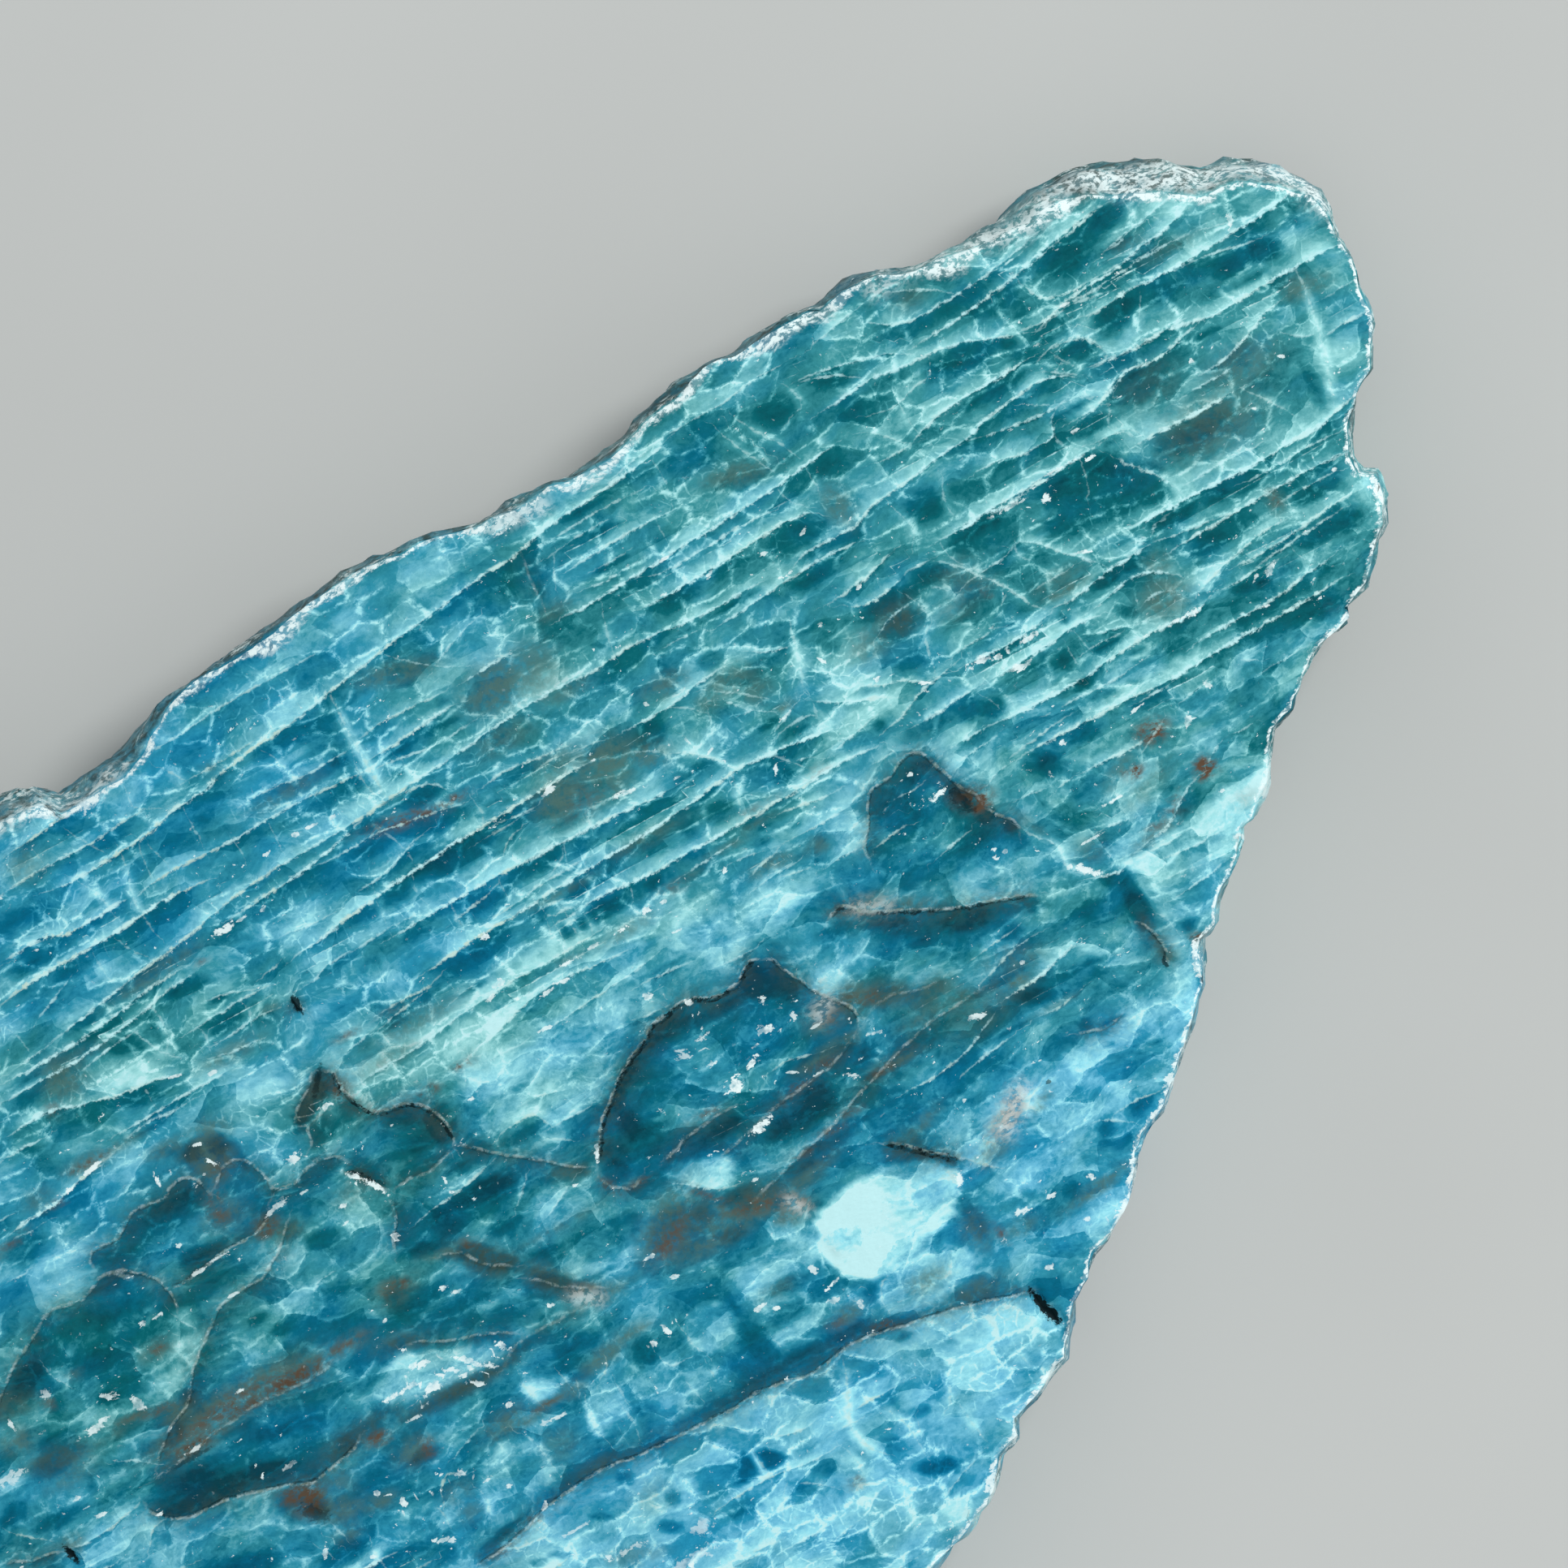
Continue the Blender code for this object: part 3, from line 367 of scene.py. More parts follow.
# The cracks: (strength, x, y, x, y, ...). The strength is negative where the dark side is the upper one.
CRACKS = [
    (0.9, 4.2, 12.3, 4.45, 12, 4.4, 11.5, 4.45, 11.2, 4.65, 10.7, 4.8, 10.3, 5.1, 9.95, 5.6, 9.8, 6.2,
     9.7, 6.7, 9.36, 7.06, 8.8, 7.2, 8.04, 7.06, 7.5), (1, 4.6, 15.2, 4.5, 14.9, 4.65, 14.5),
    (0.4, 9.6, 10.2, 9.3, 10.1, 8.9, 9.95), (0.3, 19.9, 25.4, 19.75, 24.2, 19.7, 23.3),
    (0.65, 25.7, 9.2, 25.8, 9.8, 26.2, 10.3, 26.5, 10.8, 26.8, 11.3, 27.1, 11.5, 27.6, 11.55, 28, 11.65,
     28.5, 11.9, 29, 11.95, 29.3, 11.6, 29.5, 11, 29.7, 10.4, 29.9, 9.9, 30.2, 9.5, 30.35, 9.1),
    (0.5, -9.6, 9, -9.2, 9.3, -8.6, 9.4, -8, 9.2, -7.5, 9.15, -7, 9.45, -6.5, 9.55, -6.1, 9.3, -5.8, 9),
    (0.6, -6.7, 9.9, -6.7, 10.2, -6.5, 10.5, -6.1, 10.5, -5.3, 10.5, -4.9, 10.8, -4.5, 11.05, -3.9, 11.05,
     -3.2, 10.95, -2.9, 11.15, -2.4, 11.3, -2, 11.15, -1.8, 10.9, -1.8, 10.6, -1.6, 10.3),
    (0.6, -0.1, 10.9, 0.1, 10.5, 0.3, 10.2, 0.4, 9.8, 0.35, 9.4, 0.6, 9.2, 1, 9.1, 1.3, 9.05, 1.5, 9.1,
     1.8, 9.35, 2.4, 9.4, 2.8, 9.3, 3.2, 9.2, 3.4, 9),
    (0.5, 2.3, 9.9, 2.6, 10.1, 2.7, 10.6, 3, 10.8, 3.6, 10.9, 4, 10.9),
    (0.5, 2.3, 11, 2.8, 11.5, 3.4, 11.9, 3.9, 12.4, 4.2, 12.3),
    (0.6, -13, 6.9, -12.1, 7.4, -11.1, 8.2, -10.1, 8.7, -9.1, 9.3, -8.2, 9.2, -7.6, 9.15, -6.9, 9.4, -6.1,
     9.5, -5.55, 9.1, -4.95, 8.5, -4.75, 7.75, -4.8, 7.1),
    (-0.6, -4.75, 8.05, -3.8, 8, -2.9, 8.15, -2, 8.3, -1.1, 8.25, -0.4, 8.45, 0.1, 8.9),
    (0.5, -1.4, 10.4, -0.9, 10.8, -0.3, 11, 0.15, 10.6, 0.4, 9.9, 0.4, 9.3, 0.1, 8.9),
    (0.6, -8.3, 2.4, -7.2, 3.35, -6.1, 3.9, -5.4, 4.8, -4.7, 5.4, -3.8, 6.1, -3.2, 6.5, -2.3, 6.6, -1.44,
     6.6, -0.86, 6.95, -0.3, 7.3, 0.5, 8.1),
    (0.45, -8.8, 2.05, -7.8, 2.1, -7, 2.25, -6.3, 2.35, -5.6, 2.5, -4.6, 2.55, -3.8, 2.65, -2.8, 2.55,
     -1.6, 2.5, -0.6, 2.6),
    (-0.7, -9.3, 1.5, -9.2, 1.1, -8.6, 0.5, -7.9, 0.27, -6.7, 0.2, -5.7, 0, -4.96, -0.24, -4.2, -0.46,
     -3.6, -0.8, -2.9, -0.7, -1.7, -0.46, -1.15, -0.24),
    (0.5, 0.46, 9.2, 1.2, 9.07, 1.8, 9.36, 2.5, 9.36, 3.1, 9.2, 3.4, 8.8),
    (0.6, 4.1, 7, 4.1, 6.6, 3.9, 6, 3.5, 5.55, 3.3, 5),
    (-0.55, 4.4, 7.2, 5, 7.3, 5.9, 7.16, 6.6, 7.4, 7.06, 7.5),
    (0.6, -15, 2.1, -14.4, 1.8, -14, 1.6, -13.2, 1.5, -12.8, 1.3),
    (-1, 3, 8.7, 3.4, 8.4, 3.7, 8, 3.95, 7.7, 4.15, 7.4, 4.25, 7.2),
    (0.6, 7.2, 7.5, 7.8, 6.9, 8.5, 6.3, 9.3, 5.7, 10, 5.1, 10.6, 4.6, 11.2, 4.3),
    (0.9, 11.4, 4.3, 11.7, 4.6, 12, 5.1, 12.4, 5.6, 12.9, 6, 13.5, 6.5, 14, 6.85, 14.6, 7.2, 15.2, 7.4,
     15.6, 7.75, 16.3, 7.85, 17, 8, 17.6, 7.85, 18.2, 7.55, 18.8, 7.55, 19.4, 7.7, 19.9, 8.1, 20.4, 8),
    (0.5, 11.2, 4, 11.3, 3.5, 11.7, 3.1, 12.2, 2.9, 12.7, 3.2),
    (0.5, 4.5, 4.2, 5.2, 4, 5.6, 3.6, 5.9, 3.1, 6.4, 2.8, 6.9, 2.5),
    (0.5, 6.9, 2, 7.4, 1.6, 7.8, 1.2, 8.3, 0.8, 9, 0.4, 9.6, 0.1),
    (0.5, 2, 1.9, 2.6, 1.7, 3.2, 1.35, 3.8, 1.1, 4.4, 0.95, 5.2, 0.6, 5.8, 0.3),
    (0.4, 4.8, -0.5, 5.3, -0.2, 5.8, -0.05, 6.6, 0, 7.4, -0.05, 8.3, 0),
    (0.7, 20.4, 8, 20.7, 7.8, 20.8, 7.4, 21.1, 6.9, 21.3, 6.4, 21.6, 5.9, 21.9, 5.5, 22.2, 5.1, 22.4, 4.8,
     22.4, 4.4, 22.3, 4),
    (0.8, 23.2, 8.05, 23.8, 8.25, 24.2, 8.05, 24.4, 7.7, 24.8, 7.5, 25.4, 7.2, 26, 6.9, 26.6, 6.6, 27.2,
     6.3, 27.8, 6.05, 28.6, 5.8, 29.4, 5.55, 30, 5.3, 30.5, 5.1),
    (0.5, 13.4, 3.2, 14, 3.3, 14.8, 3.55, 15.6, 3.65, 16.4, 3.75, 17, 3.75),
    (0.5, 15.4, 2.3, 16.2, 2.45, 16.8, 2.6, 17.4, 2.75, 18, 2.9, 18.6, 3, 19.4, 3.1, 20, 3.2, 20.8, 3.3,
     21.6, 3.6, 22.2, 4),
    (0.5, 16, 0.4, 16.8, 0.55, 17.6, 0.8, 18.4, 1, 19.2, 1.2, 20, 1.4, 20.8, 1.75, 21.4, 1.95, 22.2, 2.2,
     22.8, 2.4, 24.4, 2.85, 25, 2.95, 26, 3, 27, 3.1),
    (0.4, 23, 4.4, 23.6, 4.5, 24.1, 4.5, 24.6, 4.25, 25.2, 4.15, 26.2, 4.15),
    (0.6, 30.4, 9, 30.4, 8.7, 30.8, 8.2, 31, 7.9, 31, 7.4),
    (0.7, 33, 2.6, 33.3, 2.3, 33.5, 1.8, 33.6, 1.3, 33.5, 0.9, 33.4, 0.5),
    (0.6, 29.2, -0.05, 29.8, -0.3, 30.4, -0.4, 31, -0.3, 31.2, -0.15),
    (-0.68, 0.2, -6.45, 1, -6.4, 1.8, -6.3, 2.6, -6.1, 3.2, -5.9, 3.8, -5.75, 4.6, -5.65, 5.6, -5.55, 6.6,
     -5.6, 7.4, -5.75, 8.4, -5.8, 9.4, -5.85, 10.6, -5.9, 11.4, -5.95, 12.4, -5.85, 13.6, -6, 14.4, -6.2,
     15.2, -6.15, 16, -6, 16.8, -6, 17.6, -6.1, 18.4, -6.3, 19.4, -6.5, 20.4, -6.7, 21.6, -7, 22.4, -7.3,
     23, -7.5), (1, 20.9, -0.1, 21.6, -0.6, 22.2, -1.2, 22.8, -1.7, 23.4, -2.15),
    (0.4, 23.5, -2.8, 24, -2.7, 24.3, -2.9),
]

# Soft spots: (x, y, reach along, reach across, turn in degrees, amount).
DEEP_SPOTS = [
    (-3.2, 20.9, 1, 0.35, 0, 0.7), (-2, 20, 0.8, 0.3, 0, 0.7), (-2.4, 22.5, 1.6, 0.6, 0, 0.5),
    (1.3, 24.5, 1.2, 0.5, 0, 0.4), (2, 23.5, 1.3, 0.3, 0, 0.4), (-3.6, 19.4, 0.8, 0.4, 0, 0.4),
    (5.4, 24.7, 0.7, 0.6, 0, 0.5), (6.3, 25.2, 0.4, 0.15, 0, 0.5), (8, 25.5, 0.4, 0.3, 0, 0.5),
    (9.6, 25.3, 0.3, 0.3, 0, 0.3), (8.7, 23.6, 1.3, 0.35, 0, 0.6), (5, 22.6, 0.9, 0.5, 0, 0.6),
    (9.2, 22.7, 1.2, 0.25, 0, 0.5), (8.4, 20.9, 2.5, 0.35, 0, 0.6), (10.6, 21, 0.4, 0.4, 0, 0.6),
    (10.3, 22, 0.4, 0.3, 0, 0.8), (12.5, 21.2, 0.6, 0.3, 0, 0.7), (14.2, 21.3, 0.9, 0.25, 0, 0.6),
    (12, 20.5, 0.4, 0.2, 0, 0.6), (13.2, 20.4, 0.5, 0.15, 0, 0.5), (12.4, 19.4, 0.9, 0.35, 0, 1),
    (10.2, 19.3, 0.6, 0.2, 0, 0.8), (12, 18.4, 1.5, 0.3, 0, 0.6), (9.5, 18.6, 1.6, 0.4, 0, 0.6),
    (14.7, 22.1, 0.4, 0.2, 0, 0.7), (12.8, 27, 0.6, 0.3, 0, 0.5), (23, 24.75, 0.6, 0.25, 0, 0.8),
    (24.8, 24.75, 0.9, 0.4, 0, 0.6), (23, 25.75, 1.1, 0.2, 0, 0.6), (27.8, 25.1, 0.8, 0.4, 0, 0.6),
    (30.6, 25.6, 0.9, 0.8, 0, 0.9), (22.6, 23.45, 0.8, 0.15, 0, 0.9), (24, 21.2, 1.2, 0.4, 0, 0.7),
    (26.5, 21.2, 1, 0.4, 0, 0.5), (29, 21, 1.5, 0.5, 0, 0.9), (22.8, 22.3, 1.2, 0.3, 0, 0.4),
    (28.9, 19.4, 1.2, 0.4, 0, 0.6), (19, 24.5, 0.8, 0.5, 0, 0.6), (20.5, 24.6, 0.4, 0.4, 0, 0.5),
    (31.4, 22.8, 0.8, 0.4, 0, 0.7), (24, 20, 0.8, 0.2, 0, 0.5), (26, 20.05, 1, 0.15, 0, 0.7),
    (37.6, 23.8, 1.5, 0.5, -8, 0.9), (39.3, 23.6, 0.5, 0.3, -20, 0.8), (43.4, 22.5, 0.7, 0.45, 0, 1),
    (45.5, 22.3, 0.8, 0.5, 0, 0.7), (38, 22.2, 1.6, 0.25, 0, 0.7), (41.2, 22, 0.7, 0.45, -30, 0.7),
    (39.8, 20.2, 0.6, 0.2, 0, 0.6), (43.6, 25.5, 1.3, 0.5, 8, 0.7), (40, 24.9, 0.9, 0.4, 0, 0.6),
    (42.4, 24.9, 1.2, 0.5, 0, 0.4), (33.8, 19.7, 0.8, 0.7, 0, 0.8), (33, 25.5, 0.9, 0.3, -20, 0.6),
    (43, 19.8, 1.3, 0.6, 0, 0.7), (40.4, 19.4, 0.8, 0.3, 0, 0.6), (33.5, 22.6, 0.8, 0.3, 0, 0.3),
    (35, 24.4, 1, 0.3, 0, 0.5), (39.9, 21.3, 0.9, 0.25, -10, 0.6), (12.6, 16.8, 1.4, 0.5, 0, 1.1),
    (12, 17, 1.5, 0.4, 0, 0.8), (11, 18.7, 1.5, 0.4, 0, 0.7), (8.9, 18.4, 1.3, 0.5, 0, 0.5),
    (12.6, 18.3, 1.2, 0.4, -10, 0.9), (11.8, 13.3, 1, 0.45, 10, 1), (10.6, 13.2, 0.9, 0.5, 0, 0.6),
    (14.8, 15.1, 1.3, 0.35, 0, 0.7), (12.4, 14.8, 0.9, 0.35, 0, 0.7), (9.6, 15, 0.8, 0.3, 0, 0.6),
    (8.2, 16.5, 0.8, 0.35, 0, 0.6), (9.8, 16.7, 0.7, 0.4, 0, 0.5), (14.6, 12.4, 0.35, 0.3, 0, 0.9),
    (16.2, 12.45, 0.9, 0.35, 0, 0.9), (15.2, 12.4, 0.2, 0.3, 0, 0.8), (15.7, 13.5, 0.45, 0.25, 0, 0.8),
    (14, 13.4, 0.4, 0.3, 0, 0.6), (5.8, 18.6, 1, 0.5, 0, 0.4), (7.3, 12.6, 0.7, 0.25, 10, 0.7),
    (9.5, 13.1, 0.5, 0.15, 0, 0.6), (5.4, 15.7, 0.3, 0.12, 0, 0.7), (5.2, 15.2, 0.3, 0.2, 0, 0.5),
    (7.7, 14.8, 0.9, 0.35, 0, 0.4), (16.6, 15.9, 0.8, 0.3, 0, 0.6), (5.9, 13.95, 0.5, 0.12, 0, 0.6),
    (6, 9.3, 0.8, 0.4, -20, 0.9), (4.3, 10.6, 0.4, 0.4, 0, 0.8), (17.2, 9.4, 0.8, 0.2, 0, 0.7),
    (13, 10.6, 1.5, 0.3, 0, 0.4), (10.7, 12.2, 0.4, 0.12, 0, 0.7), (14.6, 17.15, 0.8, 0.12, 0, 0.8),
    (11.9, 17.15, 1.8, 0.3, 0, 0.9), (20.8, 17.3, 0.7, 0.5, 0, 0.9), (21.5, 15.3, 1.2, 0.3, 0, 0.6),
    (19, 13.6, 0.9, 0.4, 0, 0.5), (20.4, 13.5, 0.4, 0.4, 0, 0.6), (21.7, 13.5, 0.7, 0.4, 0, 0.7),
    (24.4, 13.5, 0.5, 0.25, 0, 0.9), (24.9, 15.5, 0.4, 0.2, 0, 0.9), (25.4, 14.75, 0.9, 0.25, 0, 0.6),
    (28.4, 13.5, 0.25, 0.3, 0, 0.7), (26.2, 13.25, 0.3, 0.15, 0, 0.6), (18.3, 12.4, 0.5, 0.3, 0, 1),
    (22.8, 12.3, 0.6, 0.15, 0, 0.6), (22.5, 11.8, 0.4, 0.2, 0, 0.8), (23.9, 11.8, 0.5, 0.2, 0, 0.5),
    (29.9, 12.5, 1, 0.35, 0, 0.5), (31.6, 12.3, 0.6, 0.4, 0, 0.7), (23.5, 16.6, 0.7, 0.5, 0, 0.4),
    (25.8, 17.5, 1, 0.4, 0, 0.5), (30.9, 17.2, 1.3, 0.35, 0, 0.9), (30.8, 16.3, 1, 0.5, 0, 0.8),
    (30.8, 15, 0.8, 0.5, 0, 0.6), (28.3, 16.9, 0.5, 0.3, 0, 0.5), (24.1, 18.6, 0.6, 0.3, 0, 0.8),
    (27, 18.5, 0.3, 0.15, 0, 0.7), (31.2, 11.2, 1, 0.2, 0, 0.5), (28.9, 11.2, 0.7, 0.5, 0, 1.2),
    (29.6, 9.8, 0.5, 0.8, 0, 1.2), (27.6, 10.2, 1.2, 0.8, 0, 0.9), (42.8, 25.2, 1.3, 0.7, 0, 0.9),
    (44.8, 25.8, 0.9, 0.4, 5, 0.9), (43.3, 25, 0.5, 0.9, 0, 0.5), (40.3, 25, 0.6, 0.5, 0, 0.7),
    (40.4, 24.3, 0.5, 0.5, 0, 0.7), (44.5, 24.7, 0.8, 0.2, 0, 0.7), (43.5, 22.6, 0.9, 0.35, 0, 1.1),
    (43, 22.2, 0.6, 0.4, 0, 0.7), (45.2, 22.3, 0.8, 0.4, 0, 0.6), (46.6, 22.5, 0.6, 0.5, 0, 0.7),
    (47.9, 22, 0.8, 0.5, 0, 0.9), (49.3, 21.9, 0.8, 0.45, -20, 1), (48.4, 21.3, 0.9, 0.2, 0, 0.8),
    (46.8, 21.5, 0.6, 0.4, 0, 0.7), (47.6, 22.6, 0.6, 0.15, 0, 0.7), (49.2, 22.9, 0.5, 0.15, 0, 0.6),
    (41.8, 22.1, 0.6, 0.35, -30, 0.8), (40.6, 21.6, 0.6, 0.3, -30, 0.7), (40.7, 20.2, 0.5, 0.12, 0, 0.8),
    (43, 20.2, 1, 0.25, 0, 0.9), (42.8, 19.5, 1, 0.4, 0, 0.6), (40.9, 19.3, 0.8, 0.25, 0, 0.9),
    (45.9, 20.3, 0.8, 0.15, -10, 0.7), (41, 18.4, 0.5, 0.12, 0, 0.6), (40.6, 17.2, 1.4, 0.6, -20, 1.4),
    (41.2, 16.4, 0.9, 0.6, -50, 1.3), (40.2, 16.4, 1.5, 0.6, 0, 1), (44, 17.2, 1.8, 0.6, 0, 0.7),
    (47, 17.6, 1, 0.5, 0, 0.5), (48.5, 16.8, 0.3, 1, 0, 0.8), (48.2, 18.2, 0.5, 0.4, 0, 0.5),
    (46.4, 16.6, 0.8, 0.4, 0, 0.5), (41.6, 14.9, 1, 0.3, 0, 0.9), (43.5, 14.8, 0.6, 0.3, 0, 0.8),
    (44.6, 14.5, 0.5, 0.2, 0, 0.7), (47, 14.4, 0.9, 0.15, 0, 0.6), (42.4, 13.4, 0.9, 0.5, 0, 0.8),
    (44, 13.5, 0.8, 0.3, 0, 0.4), (46.8, 13.2, 1, 0.35, 0, 0.8), (43.4, 12.1, 0.7, 0.12, 0, 0.7),
    (42.6, 11.4, 0.6, 0.3, -20, 1), (43.3, 11.2, 0.4, 0.25, 0, 1), (44.6, 11.2, 0.6, 0.4, 0, 0.6),
    (46.6, 11.7, 1.4, 0.35, 0, 0.7), (45.9, 10.6, 0.6, 0.15, 0, 0.8), (51.1, 22.6, 0.7, 0.5, 20, 0.35),
    (-2.4, 17.5, 1, 0.15, 0, 0.7), (-1.6, 17.6, 0.3, 0.2, 0, 0.8), (-5.6, 17.3, 0.8, 0.2, 0, 0.6),
    (-5.8, 16.5, 0.9, 0.4, 0, 0.6), (-1.6, 16.6, 0.9, 0.35, -15, 0.8), (1.3, 17.4, 0.9, 0.3, 0, 0.9),
    (-0.4, 16.6, 0.4, 0.6, 0, 0.5), (-4.1, 14.9, 0.3, 0.3, 0, 0.6), (-2.3, 14.8, 1, 0.4, -20, 0.8),
    (-1.6, 14.3, 0.4, 0.3, 0, 0.6), (-4.8, 15.4, 0.4, 0.15, 0, 0.6), (1.8, 15.5, 0.9, 0.3, 0, 0.7),
    (2, 16.5, 0.4, 0.1, 0, 0.8), (-8.6, 11.8, 0.9, 0.6, 0, 0.7), (-5.4, 12.2, 1.2, 0.3, 0, 0.4),
    (-2.6, 18.1, 0.8, 0.2, 0, 0.6), (-2.3, 13.5, 0.8, 0.15, 0, 0.5), (-7.3, 12.6, 0.4, 0.15, 0, 0.6),
    (-1.5, 11.95, 0.4, 0.3, 0, 1), (-0.5, 11.7, 0.5, 0.45, 0, 0.8), (-3.5, 10.4, 1.8, 0.6, 0, 0.7),
    (-2.5, 10.6, 0.7, 0.5, 0, 0.7), (-5.9, 10, 0.8, 0.4, 0, 0.5), (3.3, 11.5, 1, 0.3, 35, 1.4),
    (3.3, 10.3, 0.8, 0.4, 0, 0.8), (-6.5, 9.2, 0.8, 0.3, 0, 0.8), (2.3, 9, 0.9, 0.3, 0, 0.9),
    (-0.3, 9.6, 0.6, 0.8, 0, 0.4), (0, 10.6, 0.2, 0.4, -30, 0.8), (33, 9.3, 0.8, 0.5, -30, 1),
    (34.8, 9.5, 0.7, 0.3, 0, 0.9), (40.4, 9.25, 0.35, 0.15, 10, 0.7), (45, 9.3, 0.9, 0.35, 0, 0.8),
    (43.6, 9.6, 0.4, 0.2, 0, 0.5), (36.2, 10.45, 0.5, 0.15, -10, 1), (35.7, 11.1, 0.4, 0.2, 0, 0.8),
    (38, 11.25, 0.5, 0.15, 0, 0.6), (32.4, 12, 0.5, 0.4, 0, 1), (34.5, 12.5, 0.8, 0.3, 0, 0.4),
    (35.6, 12.2, 0.4, 0.4, 0, 0.9), (37.2, 11.95, 0.8, 0.15, 0, 0.9), (38.5, 12.7, 0.4, 0.25, -30, 0.8),
    (36.3, 13.6, 0.25, 0.15, 0, 0.9), (38.4, 14.1, 0.6, 0.25, 0, 1), (39.4, 14, 0.3, 0.25, 0, 0.9),
    (39.4, 12.65, 0.5, 0.1, 0, 0.8), (39.2, 17.5, 1.4, 0.6, -15, 1.3), (38.8, 16.6, 1.6, 0.7, 0, 0.9),
    (40.4, 17.4, 1, 0.7, -40, 1.4), (35, 18, 1.3, 0.3, 0, 0.8), (34.4, 17.6, 0.5, 0.4, 0, 0.5),
    (32.8, 17.4, 0.8, 0.4, 0, 0.9), (33.8, 15.8, 0.8, 0.5, 0, 0.5), (36.5, 16, 0.7, 0.6, 0, 0.5),
    (39.6, 15.1, 1, 0.15, 0, 0.6), (33.4, 14.3, 0.6, 0.12, 0, 0.5), (33.6, 13.6, 0.8, 0.15, 0, 0.7),
    (6.1, 3.2, 0.8, 0.5, -45, 0.9), (-4.3, -1.4, 0.9, 0.6, -40, 1), (-1, -0.2, 1.6, 0.4, 5, 0.9),
    (2.7, -0.5, 2.4, 0.3, 0, 0.9), (6.5, -1, 1.2, 0.9, 0, 0.8), (2.7, 3.9, 0.7, 0.35, 10, 0.8),
    (-11, 4.6, 1, 0.45, -10, 0.8), (1.8, 2.1, 0.8, 0.3, -10, 0.8), (7.8, 1.5, 1, 0.3, -45, 0.9),
    (12.9, 0.6, 1.3, 1, 0, 0.7), (16, 0.3, 1, 0.6, -20, 0.7), (23.8, 4.7, 0.9, 0.45, -25, 0.6),
    (-7.5, 8.3, 2, 0.6, 0, 0.6), (-8.6, 7.4, 1, 0.4, 0, 0.5), (-10.8, 7.6, 0.8, 0.5, 30, 1),
    (-3, 7.3, 1.8, 0.35, 0, 0.9), (-3.3, 8.6, 0.5, 0.3, 0, 1.2), (-2.6, 8.5, 0.6, 0.25, 0, 1),
    (-2.4, 5.4, 0.5, 0.25, 0, 0.7), (-1.6, 4.6, 0.6, 0.3, 0, 0.7), (-10.9, 5.1, 0.9, 0.3, 0, 1.1),
    (-11.4, 4.4, 0.9, 0.5, 0, 0.9), (-8.6, 5.6, 0.5, 0.3, 0, 0.8), (-12.3, 2.5, 1.2, 0.3, 0, 0.9),
    (-9.5, 2.3, 1.8, 0.4, 0, 0.5), (-7.3, 1.4, 1.8, 0.5, 0, 0.8), (-3.5, 1.4, 2, 0.4, -15, 0.8),
    (-4.8, 2.3, 1, 0.12, 0, 0.7), (-8.6, 3.2, 1.5, 0.3, 0, 0.5), (-7, 3.2, 0.6, 0.35, 30, 1),
    (-6, 4.2, 0.4, 0.3, 45, 1), (-7, 0.6, 2, 0.35, -5, 1.4), (-4.8, 0.3, 1.2, 0.4, -15, 1.2),
    (1.3, 6.8, 0.8, 0.4, -20, 0.8), (1.4, 7.4, 0.3, 0.1, 0, 0.5), (0.7, 5, 0.9, 0.4, 0, 0.6),
    (5.8, 8.2, 1.2, 0.5, 0, 0.8), (4.9, 8.8, 0.6, 0.3, 0, 0.6), (6.8, 8.4, 0.3, 0.7, 0, 1.4),
    (6.8, 6.7, 0.6, 0.3, 0, 0.9), (5.3, 6.8, 0.6, 0.3, 0, 0.5), (9.7, 6.6, 0.9, 0.3, 0, 0.7),
    (9.6, 5.7, 0.8, 0.3, 0, 0.5), (11.8, 5.8, 1.2, 0.3, 10, 0.6), (7, 5.5, 2, 0.4, 0, 0.7),
    (4.4, 4.7, 0.9, 0.3, -10, 0.9), (7.4, 4, 0.8, 0.3, 0, 0.7), (3.1, 3.2, 1.4, 0.4, 0, 0.8),
    (2.5, 3.7, 0.5, 0.3, 0, 0.9), (4.6, 2.3, 1.4, 0.3, 0, 0.6), (5.5, 2.1, 0.6, 0.15, 0, 0.9),
    (6, 1.2, 1.2, 0.5, 0, 0.5), (7.3, 1.3, 0.9, 0.4, -20, 0.7), (8.2, 2.4, 0.8, 0.2, 0, 0.7),
    (11.9, 3.8, 0.5, 0.5, 0, 1.1), (9.6, 0.7, 1, 0.15, 0, 0.6), (6.2, -0.3, 0.8, 0.25, 0, 0.9),
    (0, 0.2, 0.5, 0.4, 60, 0.7), (1, 1.9, 0.5, 0.2, 0, 0.6), (5.9, 3.6, 0.7, 0.35, -40, 1.2),
    (6.6, 2.8, 0.6, 0.3, -20, 1.1), (16, 7.4, 1.2, 0.35, 0, 1), (18, 7.1, 1.5, 0.3, 0, 0.9),
    (20, 7.2, 1, 0.6, -30, 1), (20.6, 6.6, 0.5, 0.7, 30, 0.9), (14.2, 6.9, 0.9, 0.25, 35, 0.8),
    (13.2, 5, 0.5, 0.7, 0, 0.8), (13.5, 4.5, 0.8, 0.3, 0, 0.8), (19.4, 5, 1, 0.3, 0, 0.7),
    (19.8, 2.4, 0.6, 0.6, -50, 1.2), (18.6, 2.2, 1.5, 0.5, 0, 0.8), (16.2, 3.2, 1, 0.3, 0, 0.8),
    (15.4, 0.8, 0.9, 0.3, 0, 0.9), (19, 0.8, 1.5, 0.4, 10, 0.8), (17.6, 3.3, 0.7, 0.2, 0, 0.7),
    (25.4, 6.6, 1.2, 0.4, -25, 0.9), (23.4, 7.6, 0.6, 0.3, 0, 0.7), (26, 5.9, 0.8, 0.4, 0, 0.7),
